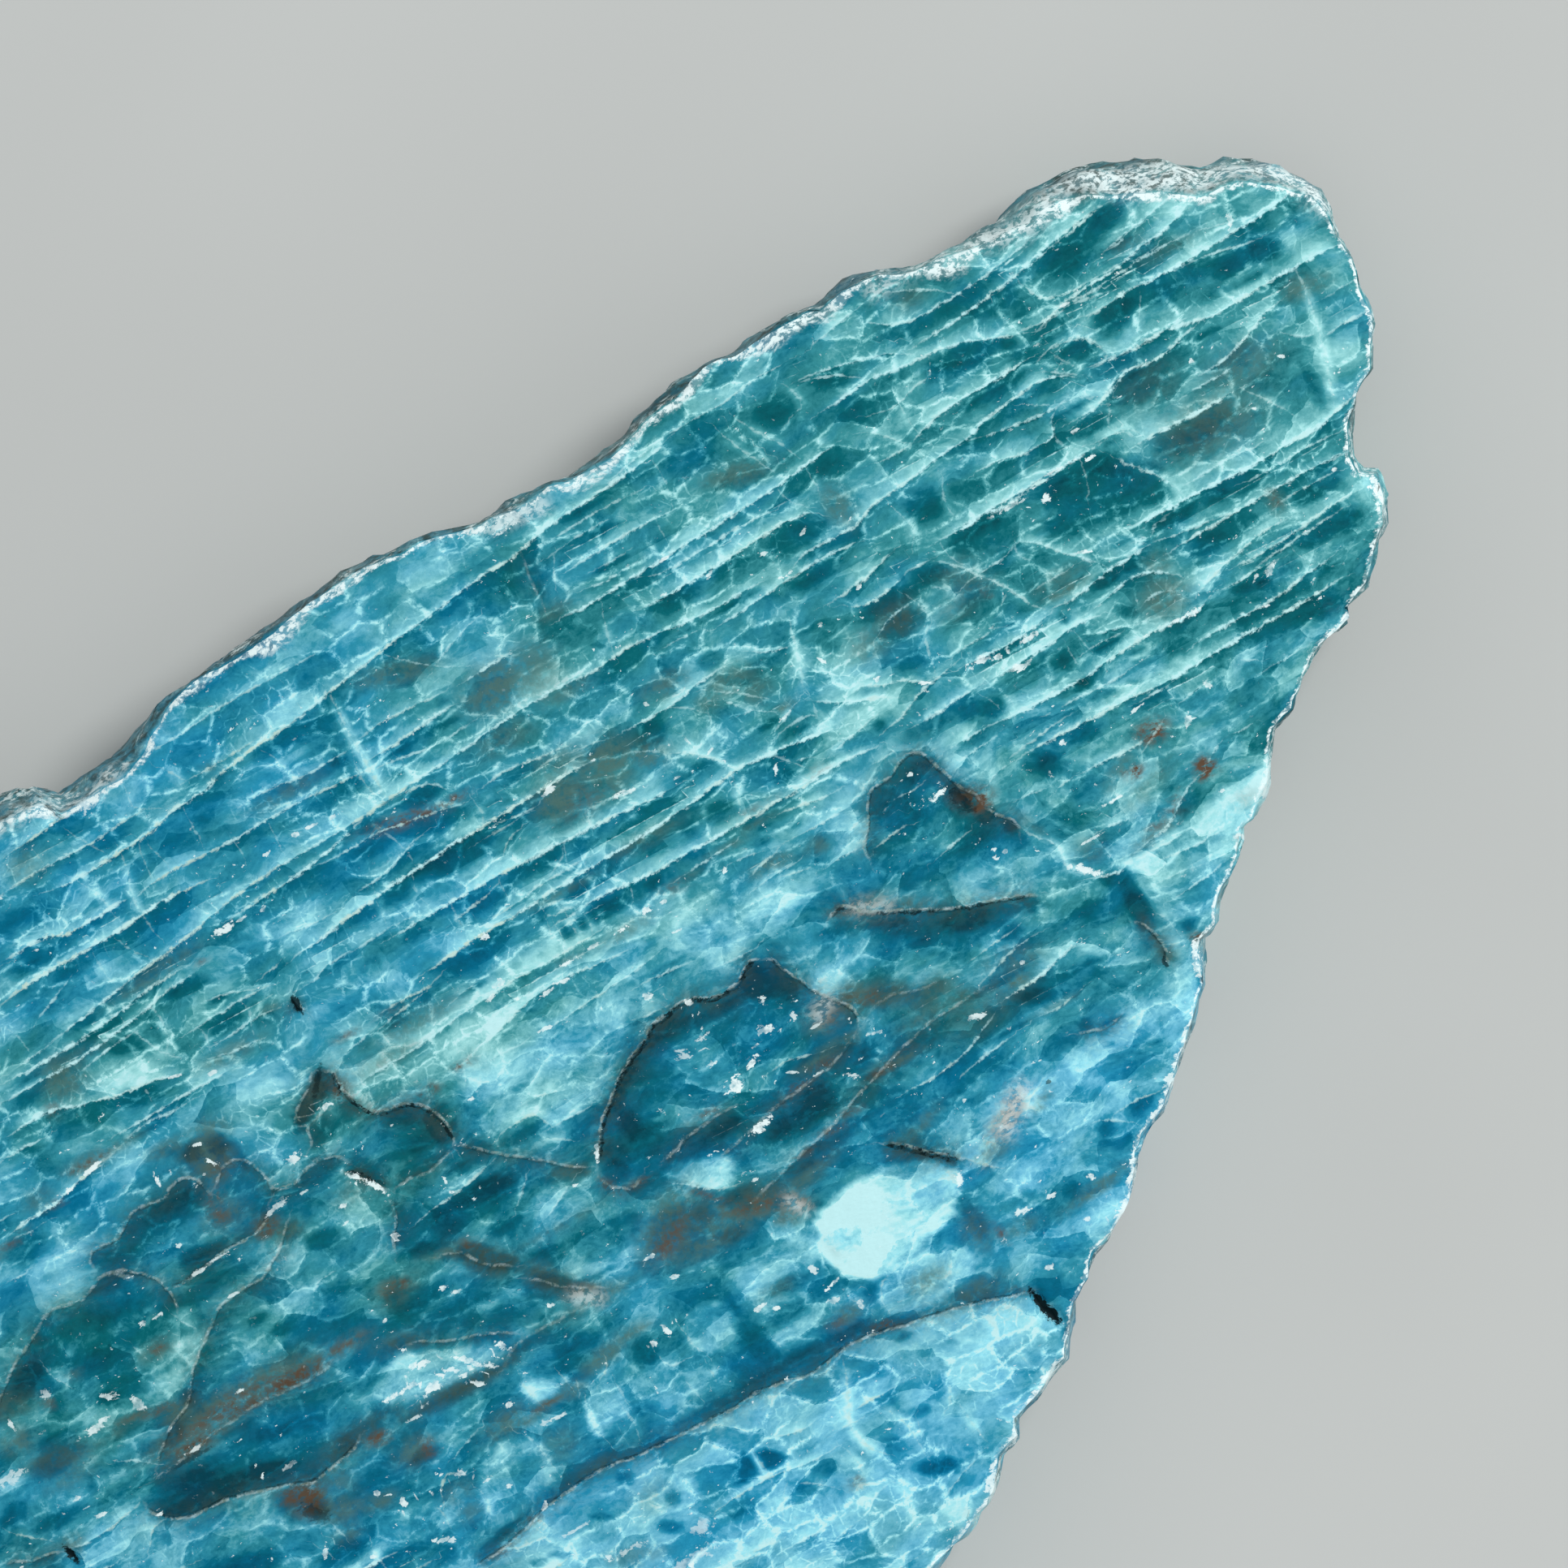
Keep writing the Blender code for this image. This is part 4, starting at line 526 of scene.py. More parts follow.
    (22, 3.1, 0.8, 0.3, 30, 0.8), (21.8, 2.2, 0.6, 0.15, 20, 1), (24.6, 2.6, 1.2, 0.3, 0, 0.4),
    (13.8, 0.8, 0.8, 0.5, 0, 0.8), (14.5, -0.4, 0.8, 0.3, 0, 0.8), (16.6, -0.2, 0.5, 0.2, 0, 0.6),
    (30.2, 8.6, 0.5, 0.4, -30, 1.1), (30.8, 7.9, 0.3, 0.5, 0, 0.8), (29.6, 8, 1.2, 0.4, 0, 0.6),
    (27.6, 8.2, 0.8, 0.4, 0, 0.5), (29.2, 6.4, 0.5, 0.2, 0, 0.4), (27.8, 5.6, 1.3, 0.4, -20, 1),
    (29.6, 5.1, 1.2, 0.3, -20, 0.7), (28.9, 4.5, 0.5, 0.3, 0, 0.8), (33.4, 4.2, 0.7, 0.4, -40, 0.9),
    (33.5, 3.2, 0.45, 0.8, 0, 1.1), (33.3, 2.6, 0.3, 0.2, 0, 0.9), (28.6, 1.9, 0.8, 0.3, -20, 1),
    (30.6, 2, 0.7, 0.2, 0, 0.7), (27.4, 1.2, 1, 0.15, 0, 0.6), (27.8, 3.1, 1.2, 0.2, 0, 0.8),
    (31.9, 3.8, 0.7, 0.3, 0, 0.5), (34.9, 1.5, 0.4, 0.3, -20, 0.8), (36.7, 5.25, 0.2, 0.15, 0, 0.9),
    (37.4, 5.5, 0.2, 0.12, 0, 0.7), (36.7, 6.2, 0.3, 0.2, -45, 0.7), (36.8, 7, 0.2, 0.3, 0, 0.5),
    (29.7, 0.1, 0.3, 0.25, 0, 0.9), (30.6, -0.2, 0.6, 0.1, 0, 0.8), (32.2, 8.1, 0.12, 0.12, 0, 0.8),
    (33.6, 7.9, 0.3, 0.15, 0, 0.5), (40.2, 6.6, 0.7, 0.3, -10, 0.4), (-0.6, -4.1, 0.9, 0.35, 0, 0.7),
    (0.5, -2, 0.8, 0.3, 0, 0.8), (-0.8, -1.6, 1, 0.4, 0, 0.6), (2.5, -2.5, 0.7, 0.3, 0, 0.5),
    (6.2, -1.6, 0.6, 0.5, 0, 0.5), (8, -1.4, 0.8, 0.4, 0, 0.4), (1.8, -5.9, 1, 0.2, 10, 0.9),
    (3.4, -5.3, 0.6, 0.3, 0, 0.5), (0.9, -5.2, 0.6, 0.4, 0, 0.5), (-0.3, -5.5, 0.8, 0.4, 0, 0.5),
    (2.4, -7.5, 0.4, 0.2, -20, 1.1), (3.2, -7.6, 0.5, 0.15, -30, 0.9), (5.2, -7.1, 0.5, 0.15, -30, 0.8),
    (6.7, -6.3, 0.4, 0.3, -30, 0.9), (7.3, -8.7, 0.5, 0.25, -30, 1.1), (7.9, -7.8, 0.3, 0.3, 0, 0.8),
    (13.4, -4.4, 0.6, 1.2, 0, 0.8), (13.3, -2.6, 0.25, 0.8, 0, 0.6), (14.8, -3.9, 0.9, 0.4, 0, 0.8),
    (9.6, -2.6, 0.5, 0.6, 0, 1), (14.6, -5.5, 2, 0.3, 0, 0.8), (16.4, -5.6, 1.2, 0.2, 0, 1),
    (18, -4.7, 0.4, 0.4, 0, 0.7), (10.9, -5.5, 2, 0.2, 0, 0.6), (15.6, -3, 0.9, 0.3, 0, 0.7),
    (12.4, -12.2, 0.5, 0.2, 0, 0.5), (15.3, -6.4, 0.3, 0.12, 0, 0.6), (18.2, -6.7, 0.3, 0.2, 0, 0.8),
    (28.5, -3.6, 0.6, 0.3, 45, 0.8), (30.2, -3.5, 0.8, 0.3, 0, 0.5), (26.3, -5, 0.5, 0.4, 0, 0.9),
    (25.2, -5.4, 1.2, 0.4, 0, 0.5), (27.4, -4.4, 0.6, 0.2, -20, 0.6), (25.6, -7, 0.5, 0.4, 0, 0.5),
    (31.6, -1.7, 0.6, 0.12, -20, 0.8), (30.4, -0.9, 0.4, 0.08, 15, 0.7), (24.8, -0.4, 1, 0.3, 0, 0.5),
    (22.6, -4.2, 0.4, 0.9, 0, 0.7),
]
MILKY_SPOTS = [
    (10.3, 26.3, 1.3, 0.5, 0, 0.7), (13.6, 26.2, 1.5, 0.6, 0, 0.7), (15.8, 26.5, 2, 0.6, 0, 0.7),
    (5, 27, 1, 0.4, 0, 0.6), (34, 26.6, 1, 0.5, 0, 0.8), (6, 17.6, 1.2, 0.8, 0, 0.9),
    (7.2, 16, 1.8, 0.4, 0, 0.8), (6.4, 15, 1, 0.6, 0, 0.7), (6.8, 14.3, 2, 0.35, 0, 0.7),
    (7.8, 11, 1.6, 0.5, 0, 0.9), (9, 10.9, 1.5, 0.5, 0, 0.8), (13, 12.1, 1.2, 0.2, 0, 0.6),
    (16.6, 14.5, 0.9, 0.15, 0, 0.8), (10.6, 12, 1, 0.3, 0, 0.7), (28, 15.4, 1, 0.4, -20, 0.8),
    (27, 14.6, 0.8, 0.4, 0, 0.6), (29, 14.1, 1.3, 0.4, 0, 0.8), (26, 12.8, 1.5, 0.3, 0, 0.7),
    (24.6, 12, 1, 0.3, 0, 0.6), (19, 10.8, 1.8, 0.4, 0, 0.7), (22, 9.7, 1.5, 0.4, 0, 0.8),
    (26.2, 11.7, 1, 0.4, 20, 0.7), (25.5, 10.6, 0.8, 0.8, 0, 0.8), (31.5, 14, 0.8, 0.3, 0, 0.7),
    (-7.5, 11.3, 1.3, 0.7, 0, 0.8), (-8.5, 9.9, 1.3, 0.5, 0, 0.7), (1.8, 13.3, 1.6, 0.3, 0, 0.8),
    (1.5, 12.6, 1.5, 0.5, 0, 0.8), (0.9, 11.8, 1.2, 0.3, 0, 0.7), (1.2, 10.5, 1, 0.5, 0, 0.7),
    (-5, 14.4, 1.2, 0.4, 0, 0.6), (-1.6, 15.5, 1, 0.3, 0, 0.7), (-3.5, 14.6, 1, 0.4, 0, 0.6),
    (50.4, 22, 0.4, 1, 0, 0.7), (51.2, 20.2, 0.6, 1, 0, 0.7), (50.6, 17.2, 0.8, 0.8, -30, 0.5),
    (49, 14.6, 0.6, 0.8, 0, 0.7), (48.3, 13, 0.4, 0.8, 0, 0.8), (47.5, 25, 1.2, 0.4, 10, 0.7),
    (49.5, 24.4, 1.2, 0.5, -10, 0.5), (45, 15.8, 2.4, 0.25, 0, 0.6), (37.5, 10.5, 1.2, 0.3, 0, 0.5),
    (39.6, 10.1, 1.6, 0.25, 0, 0.8), (37, 11, 1.5, 0.15, 0, 0.6), (33.5, 11, 1.5, 0.25, 0, 0.6),
    (41.5, 9.3, 1.6, 0.3, 0, 0.6), (38.5, 9.2, 1.5, 0.3, 0, 0.5), (36.3, 9.4, 0.6, 0.4, 0, 0.5),
    (43, 8.7, 1.5, 0.3, 0, 0.6), (37.5, 13.2, 1, 0.15, 0, 0.6), (46.5, 11.2, 1, 0.15, 0, 0.6),
    (8.7, 4, 0.5, 0.3, 0, 1), (5.5, -1.9, 0.4, 0.5, 0, 0.5), (23.5, 6.4, 1.2, 0.6, 20, 0.6),
    (22, 6.6, 0.6, 0.8, 0, 0.7), (21.6, 7.3, 0.8, 0.4, 0, 0.8), (24.2, 2, 1.2, 0.4, 0, 0.5),
    (23.2, 1.7, 0.3, 0.15, 0, 0.9), (20.6, -0.3, 0.8, 0.3, -20, 0.8), (19.5, -0.7, 1.2, 0.3, 0, 0.7),
    (24.8, 7.9, 0.8, 0.3, 0, 0.6), (26, 7.3, 0.9, 0.2, -25, 0.6), (24.6, -3.6, 1, 0.8, 0, 0.9),
    (24.2, -4.7, 0.8, 0.25, 0, 0.9), (33.6, 0.2, 0.6, 0.8, 0, 0.9), (34, 1, 0.4, 0.5, 0, 0.8),
    (27.3, -6.3, 0.8, 0.3, 0, 0.7), (23.6, -6.4, 0.8, 0.4, 0, 0.6), (22, -8, 1, 1, 0, 0.7),
    (26.6, -1.6, 0.5, 0.25, 35, 1.2), (22.8, -2.6, 0.4, 0.3, 45, 1), (32.4, 2.4, 0.8, 0.3, -20, 0.8),
    (31.6, 2.6, 0.8, 0.3, 0, 0.6), (32, 1.2, 1, 0.3, 0, 0.5), (30, 6.8, 1.2, 0.4, 0, 0.4),
    (16.6, 5.9, 0.9, 0.4, -20, 0.8), (18.3, 5.8, 0.7, 0.2, 0, 0.7), (16.3, 6.5, 0.5, 0.4, 0, 0.6),
    (-3, 6.5, 0.8, 0.12, 0, 0.6), (25, -1.6, 1.2, 0.35, 35, 1.2), (12.9, -0.9, 1, 0.3, -30, 0.6),
    (15, -4.6, 0.9, 0.3, 0, 0.5), (16.6, -4.2, 0.6, 0.3, 0, 0.6), (20.5, -8.5, 1.5, 1, 0, 0.5),
    (20, -10.6, 1.5, 0.6, 0, 0.6),
]
MURK_SPOTS = [
    (-1.8, 24.3, 0.7, 0.6, 0, 0.6), (13.8, 23.8, 1.5, 0.4, -15, 0.8), (16.7, 21.6, 1.3, 0.9, 0, 1),
    (16, 19.8, 1.2, 0.5, 0, 0.6), (6, 24, 0.3, 0.3, 0, 0.6), (8, 21.9, 1.5, 0.3, 0, 0.6),
    (28.2, 24.2, 1.3, 0.4, -15, 0.8), (31, 21.3, 0.5, 0.8, 0, 0.8), (18.2, 21.5, 1, 1, 0, 0.8),
    (18.8, 20.2, 1, 0.3, 0, 0.7), (20, 23, 0.8, 0.3, 0, 0.6), (37, 26.7, 0.7, 0.4, 0, 0.6),
    (8.2, 12.2, 1.8, 0.35, 0, 0.7), (6.5, 11.5, 1.5, 0.3, 0, 0.7), (16.5, 11.4, 1.2, 0.25, 0, 0.7),
    (14.2, 11.5, 0.7, 0.2, 0, 0.6), (16.8, 16.8, 1, 0.9, 0, 1), (17.4, 18, 1, 0.5, 0, 0.7),
    (15.2, 13.8, 1.3, 0.15, 0, 0.7), (18.9, 17.2, 1.2, 0.9, -10, 1), (20.3, 16.8, 0.9, 0.5, -30, 0.9),
    (18.6, 16.2, 0.8, 0.4, 0, 0.8), (23.3, 17.3, 0.5, 0.4, 0, 0.7), (24.3, 17.6, 1, 0.5, 0, 0.8),
    (22.2, 18.6, 0.9, 0.4, 0, 0.8), (25, 16.8, 0.6, 0.5, 0, 0.7), (30.9, 16.6, 0.9, 0.6, 0, 0.9),
    (29.5, 16.3, 0.8, 0.6, 0, 0.7), (18.8, 14, 1.4, 0.25, 0, 0.7), (21.5, 12.3, 2, 0.12, 8, 0.7),
    (22.4, 10.9, 0.9, 0.25, 0, 0.9), (24.3, 10.7, 0.5, 0.3, 0, 0.7), (25.7, 15.8, 0.5, 0.15, 10, 1),
    (44.5, 17.3, 2, 1.1, 0, 0.8), (46.5, 18.6, 1.5, 0.8, 0, 0.7), (43.2, 19.6, 1.2, 0.8, 0, 0.5),
    (44.6, 27, 0.8, 0.4, 0, 0.7), (45, 24.6, 0.7, 0.3, 0, 0.6), (46.4, 23.7, 1.2, 0.3, 0, 0.5),
    (49.8, 20.1, 0.6, 0.4, 0, 0.9), (50.6, 19.9, 0.5, 0.3, 0, 0.7), (45.2, 13.6, 0.3, 0.5, 0, 0.9),
    (-4.3, 16.7, 0.8, 0.8, 0, 0.9), (-3.6, 17.1, 1.6, 0.2, 0, 0.6), (0.6, 18.4, 1.8, 0.25, 5, 0.8),
    (-5, 13.5, 0.9, 0.3, 0, 1), (-3.8, 13.5, 1, 0.2, 0, 0.8), (-7.3, 13.2, 0.6, 0.4, 0, 0.6),
    (-2.3, 12.6, 0.8, 0.25, 0, 0.8), (1.6, 14.5, 1.2, 0.3, 0, 0.8), (3.6, 15.3, 0.5, 0.15, 0, 0.7),
    (-0.6, 12.3, 0.8, 0.5, 0, 0.9), (-1, 11.2, 0.7, 0.6, 0, 1), (33.6, 17, 0.8, 0.5, 0, 0.6),
    (33.9, 16.2, 0.8, 0.4, 0, 0.7), (33, 15.9, 0.8, 0.5, 0, 0.5), (36.9, 14.5, 0.9, 0.2, 0, 1),
    (36.8, 15, 1, 0.3, 0, 0.6), (39.9, 12.5, 0.9, 0.7, 0, 1), (40.3, 13.7, 0.5, 0.4, 0, 0.8),
    (6.1, 3.3, 0.9, 0.5, -45, 0.9), (-11, 4.4, 1, 0.5, -10, 0.8), (-4.2, -1.3, 0.8, 0.6, -40, 0.9),
    (-1, -0.1, 1.6, 0.4, 5, 0.7), (2.7, -0.4, 2.4, 0.35, 0, 0.8), (1.8, 2.1, 0.9, 0.35, -10, 0.8),
    (7.8, 1.6, 1, 0.4, -45, 0.8), (2.7, 3.8, 0.9, 0.4, 10, 0.8), (-1.6, 9.4, 0.9, 0.5, 0, 0.7),
    (12.9, 0.6, 1.3, 1, 0, 0.9), (16, 0.3, 1, 0.6, -20, 0.9), (23.8, 4.7, 0.9, 0.45, -25, 0.9),
    (27.3, 2.6, 2, 0.7, 15, 0.5), (3.5, 11.7, 0.8, 0.3, 35, 1), (-1, 11.7, 0.9, 0.5, -20, 1),
    (12.6, 1.2, 1.6, 0.7, 30, 1), (15.4, 0.3, 1.8, 0.5, -15, 1), (13.8, -0.2, 1.6, 0.4, 0, 0.9),
    (18, 0.2, 1.4, 0.3, 15, 0.8), (17.2, -0.5, 0.5, 0.35, -30, 0.9), (22.6, -0.2, 1, 0.2, 20, 0.7),
    (-5, 3.3, 3, 0.4, 5, 1), (-12.3, 5.8, 0.6, 0.5, 0, 0.9), (-11.6, 4.7, 1, 0.3, 0, 0.8),
    (-10.8, 4.2, 1.2, 0.3, 0, 0.7), (-6.2, 6.2, 0.7, 0.3, 0, 0.9), (-9.3, 6.9, 0.3, 0.15, 0, 0.8),
    (-10.6, 6.5, 0.2, 0.2, 0, 0.6), (-7.8, 4.4, 1.6, 0.15, -10, 1), (-6.6, 3.8, 0.6, 0.4, 30, 1),
    (-3.5, 3.5, 1.5, 0.3, 0, 0.8), (-11.2, 3.7, 1, 0.4, 0, 0.6), (-9, 4.2, 0.8, 0.15, 0, 0.6),
    (-12.4, 1.5, 0.5, 0.3, 0, 0.9), (-6.6, 2.5, 1.2, 0.3, 5, 1), (-4.3, 2.9, 1.2, 0.25, 5, 1),
    (-2, 3, 1.4, 0.35, 0, 1), (-0.4, 8.2, 0.5, 0.4, 0, 1), (0.3, 7.7, 0.5, 0.3, 0, 0.8),
    (2.6, 4, 0.7, 0.3, -10, 1.2), (2.7, 7.8, 0.6, 0.4, 0, 0.5), (5.9, 3.7, 0.7, 0.4, -40, 1.1),
    (6.6, 2.8, 0.6, 0.3, 0, 1), (5.2, 4.1, 1.2, 0.15, -15, 1), (8.6, 0.5, 0.7, 0.3, -20, 1),
    (9.2, 0, 1.2, 0.3, 0, 0.8), (12, 0.7, 1, 0.6, 30, 0.8), (10.5, 4.5, 0.8, 0.25, -20, 0.7),
    (9.2, 3, 1.6, 0.2, 0, 0.6), (0, 3, 1, 0.3, 0, 0.8), (-0.6, -0.6, 0.5, 0.3, 0, 0.9),
    (3.5, -0.5, 1.5, 0.25, 0, 1.1), (1.9, 2, 0.6, 0.15, 0, 0.7), (21.3, 5, 0.7, 0.5, 0, 0.8),
    (22.7, 5.2, 0.6, 0.5, 0, 1.1), (23.3, 4.8, 0.5, 0.25, 0, 1.1), (20.3, 3.7, 0.8, 0.2, 0, 0.8),
    (21.6, 3.9, 1, 0.15, 0, 0.9), (15.4, 3.9, 0.8, 0.12, 0, 0.9), (16.8, -0.5, 0.6, 0.5, 0, 0.9),
    (25.3, 3.9, 1, 0.4, 0, 0.7), (24.6, 3.3, 1, 0.3, 0, 0.6), (26.3, 3.3, 0.5, 0.2, 0, 0.8),
    (14, 0.5, 0.5, 0.8, 0, 0.8), (22.8, 2.3, 1.2, 0.2, 0, 0.9), (24.8, 7.9, 0.8, 0.3, 0, 0.8),
    (26, 7.3, 0.9, 0.2, -25, 0.8), (35.4, 5, 1.2, 0.2, 10, 0.8), (28.3, 2.7, 0.5, 0.2, -10, 1.2),
    (28.8, 3.3, 0.8, 0.4, 0, 0.7), (28, 3.8, 0.9, 0.2, 0, 0.6), (33, 5.7, 0.6, 0.5, 0, 0.6),
    (35.3, 7.7, 0.9, 0.3, 30, 0.7), (36, 6.7, 1.3, 0.4, 20, 0.5), (39, 4.5, 0.5, 0.4, 0, 0.4),
    (33.6, 1, 0.3, 0.5, 0, 0.8), (33.5, 1.9, 0.15, 0.6, 0, 0.7), (34.9, 1, 0.4, 0.15, -20, 0.9),
    (31.5, 7.6, 0.15, 0.8, 20, 0.5), (29, 1.3, 1, 0.12, 0, 0.6), (-3.8, -1.5, 0.8, 0.6, -60, 1.2),
    (-3, -2.3, 0.8, 0.4, 0, 0.9), (-3.3, -3.1, 0.5, 0.3, 0, 0.8), (-1.6, -2.7, 0.6, 0.25, 0, 0.9),
    (0.4, -1.7, 0.8, 0.5, 0, 0.9), (-2.6, -1.3, 0.5, 0.5, 0, 0.6), (3.8, -2.4, 1, 0.4, 10, 0.9),
    (5.2, -2.6, 1.5, 0.15, 8, 1), (6.6, -2.5, 0.5, 0.3, 0, 0.9), (8.2, -2, 0.9, 0.3, 10, 1),
    (1, -3.8, 0.6, 0.4, 0, 0.6), (1.1, -4.6, 0.5, 0.4, 0, 0.6), (7.2, -7.4, 0.8, 0.6, 0, 0.4),
    (6, -5.4, 0.8, 0.15, 0, 0.6), (5.2, -4, 0.7, 0.6, 0, 0.5), (20, -5.3, 0.9, 0.4, 0, 0.8),
    (16.8, -5, 0.7, 0.3, 0, 0.9), (9.5, -1.7, 0.8, 0.2, 0, 1), (25, -1.6, 1, 0.3, 35, 0.5),
    (24.4, -2.3, 0.8, 0.4, 0, 0.7), (26.9, -1.6, 0.6, 0.15, 30, 0.9), (27.2, -5.4, 1.5, 0.2, 8, 1),
    (22.5, -4.6, 0.5, 0.8, 0, 0.7), (21.5, -6.5, 1, 0.3, 0, 0.8), (24, -5.3, 0.6, 0.3, 0, 0.7),
    (17.6, -2.6, 0.1, 0.5, 0, 0.4), (14, -10.6, 0.4, 0.25, 0, 0.6), (15, -2.9, 0.8, 0.3, 0, 0.6),
    (16.6, -0.9, 0.6, 0.2, -20, 0.9),
]
RUST_SPOTS = [
    (11.5, 18.9, 1.6, 0.25, -10, 0.7), (5.6, 13, 0.5, 0.12, 0, 0.5), (7.4, 13.1, 0.8, 0.1, 0, 0.5),
    (17.5, 16.2, 0.5, 0.5, 0, 0.3), (13.2, 18.7, 0.7, 0.15, 0, 0.7), (7.3, 9.75, 0.4, 0.2, 0, 0.7),
    (8.8, 9.95, 0.35, 0.15, 0, 0.8), (22.9, 13, 0.9, 0.12, 0, 0.4), (25.6, 13.1, 0.5, 0.15, 0, 0.4),
    (18.8, 11.9, 0.7, 0.15, 0, 0.5), (30.2, 9.5, 0.6, 0.3, -20, 0.9), (4.4, 11.4, 0.3, 0.3, 0, 0.8),
    (30.3, 9.2, 0.3, 0.3, 0, 1), (37.1, 8.4, 0.6, 0.4, 0, 0.9), (36.7, 8.3, 0.4, 0.2, 0, 0.5),
    (34.2, 15.8, 0.15, 0.2, 0, 0.4), (-5.2, 15.9, 0.3, 0.3, 0, 0.4), (-5, 13.5, 0.8, 0.15, 0, 0.5),
    (-1.6, 10.1, 0.5, 0.3, 60, 0.5), (-1.7, 9.4, 0.3, 0.2, 0, 0.6), (2.2, 18.05, 0.3, 0.1, 0, 0.5),
    (-6.8, 12.75, 0.3, 0.1, 0, 0.5), (-0.9, 11, 0.4, 0.3, 0, 0.4), (45.2, 13.7, 0.1, 0.3, 0, 0.5),
    (25.7, -1.4, 1, 0.35, 35, 0.9), (17.2, -0.5, 0.45, 0.3, -30, 0.7), (12.4, 0.6, 0.9, 0.3, 30, 0.6),
    (14.4, 1.4, 0.8, 0.15, -50, 0.5), (21.5, 5, 0.5, 0.4, 0, 0.5), (16, 0.1, 1.2, 0.3, -15, 0.5),
    (24.6, 7.9, 0.9, 0.2, -20, 0.5), (-5, 3.1, 2.4, 0.25, 5, 0.6), (2.7, 4, 0.5, 0.2, -10, 0.6),
    (-7.4, 4.3, 1, 0.1, -10, 0.6), (-6, 6.3, 0.4, 0.15, 20, 0.5), (-10.6, 6.4, 0.15, 0.2, 0, 0.6),
    (-4.6, 3.6, 0.4, 0.1, 0, 0.5), (-4.3, -0.9, 0.5, 0.2, 0, 0.9), (-6.6, 2.45, 1, 0.2, 5, 0.8),
    (-4.3, 2.75, 1.2, 0.15, 5, 0.7), (-2.2, 2.85, 1.3, 0.25, 0, 0.9), (-0.4, 8.2, 0.4, 0.3, 0, 0.8),
    (0, 3, 0.8, 0.2, 0, 0.5), (-0.6, -0.6, 0.4, 0.2, 0, 0.8), (8.6, 0.6, 0.5, 0.2, -20, 0.5),
    (5.8, 4.1, 0.3, 0.15, 0, 0.6), (11.4, 3.4, 0.15, 0.5, 20, 0.6), (12.4, 2.95, 0.5, 0.1, 0, 0.6),
    (23.3, 4.8, 0.4, 0.2, 0, 0.6), (22.6, 5.2, 0.3, 0.3, 0, 0.3), (16, 3.95, 0.4, 0.12, 0, 0.6),
    (20, 1.35, 1, 0.1, 12, 0.7), (19.2, 3.2, 0.8, 0.15, 10, 0.6), (20.6, 3.5, 0.5, 0.15, 0, 0.7),
    (24, 8.2, 0.6, 0.2, 0, 0.4), (22.6, 2.3, 0.8, 0.1, 10, 0.6), (18.5, 1.05, 0.6, 0.1, 10, 0.5),
    (35.8, 7.4, 0.35, 0.2, 0, 1.1), (37.2, 8.3, 0.35, 0.3, 30, 1), (38.2, 6.3, 0.35, 0.35, 0, 1.1),
    (38, 6, 0.3, 0.15, 0, 0.8), (36.4, 5.6, 0.6, 0.12, 30, 0.8), (35.4, 5.2, 0.5, 0.1, 10, 0.6),
    (30.2, 8.95, 0.4, 0.15, 0, 1), (34.9, 1, 0.25, 0.12, -30, 1), (28.6, 3.9, 0.6, 0.1, 0, 0.3),
    (-3.9, -1.3, 0.4, 0.5, -40, 1.1), (1.4, -6.4, 0.5, 0.1, 0, 0.8), (3, -6, 0.5, 0.08, 20, 0.6),
    (0.9, -1.8, 0.2, 0.3, 0, 0.8), (5.4, -2.5, 1, 0.08, 8, 0.5), (17.8, -6.05, 0.4, 0.15, -20, 0.8),
    (14.1, -10.6, 0.2, 0.15, 0, 0.8), (22.9, -7.4, 0.4, 0.12, -30, 0.6), (16.3, -5.1, 0.3, 0.15, 0, 0.6),
    (25.2, -1.5, 1, 0.3, 35, 0.35), (23.2, -5.2, 0.15, 0.4, 0, 0.6), (16.8, -0.6, 0.5, 0.3, 0, 0.25),
    (30.4, -0.4, 0.3, 0.08, 0, 0.4),
]

# Where the stone leans towards green (positive) or towards azure (negative), in the same form.
GREENER_SPOTS = [
    (42, 16, 12, 12, 0, 0.5), (-7, 6.5, 5, 3, 0, 0.45), (5, 6, 5, 4, 0, 0.3), (25, 3, 6, 3, 0, 0.2),
    (-2, 16.5, 5, 2, 0, 0.6), (9, 11, 6, 1.2, 0, 0.5), (20, 17, 7, 5, 0, 0.3), (46, 24, 8, 5, 0, 0.2),
    (26, 24, 10, 5, 0, 0.25), (-1, 22.5, 6, 4, 0, -0.12), (7, 24, 6, 4, 0, -0.1), (-6, 11, 6, 3, 0, -0.1),
    (2, -4.5, 9, 2.5, 0, -0.15), (12, -9.5, 12, 4, 0, -0.4), (28, -2.5, 7, 3.5, 0, -0.35),
    (12, 16, 6, 4, 0, -0.1),
]

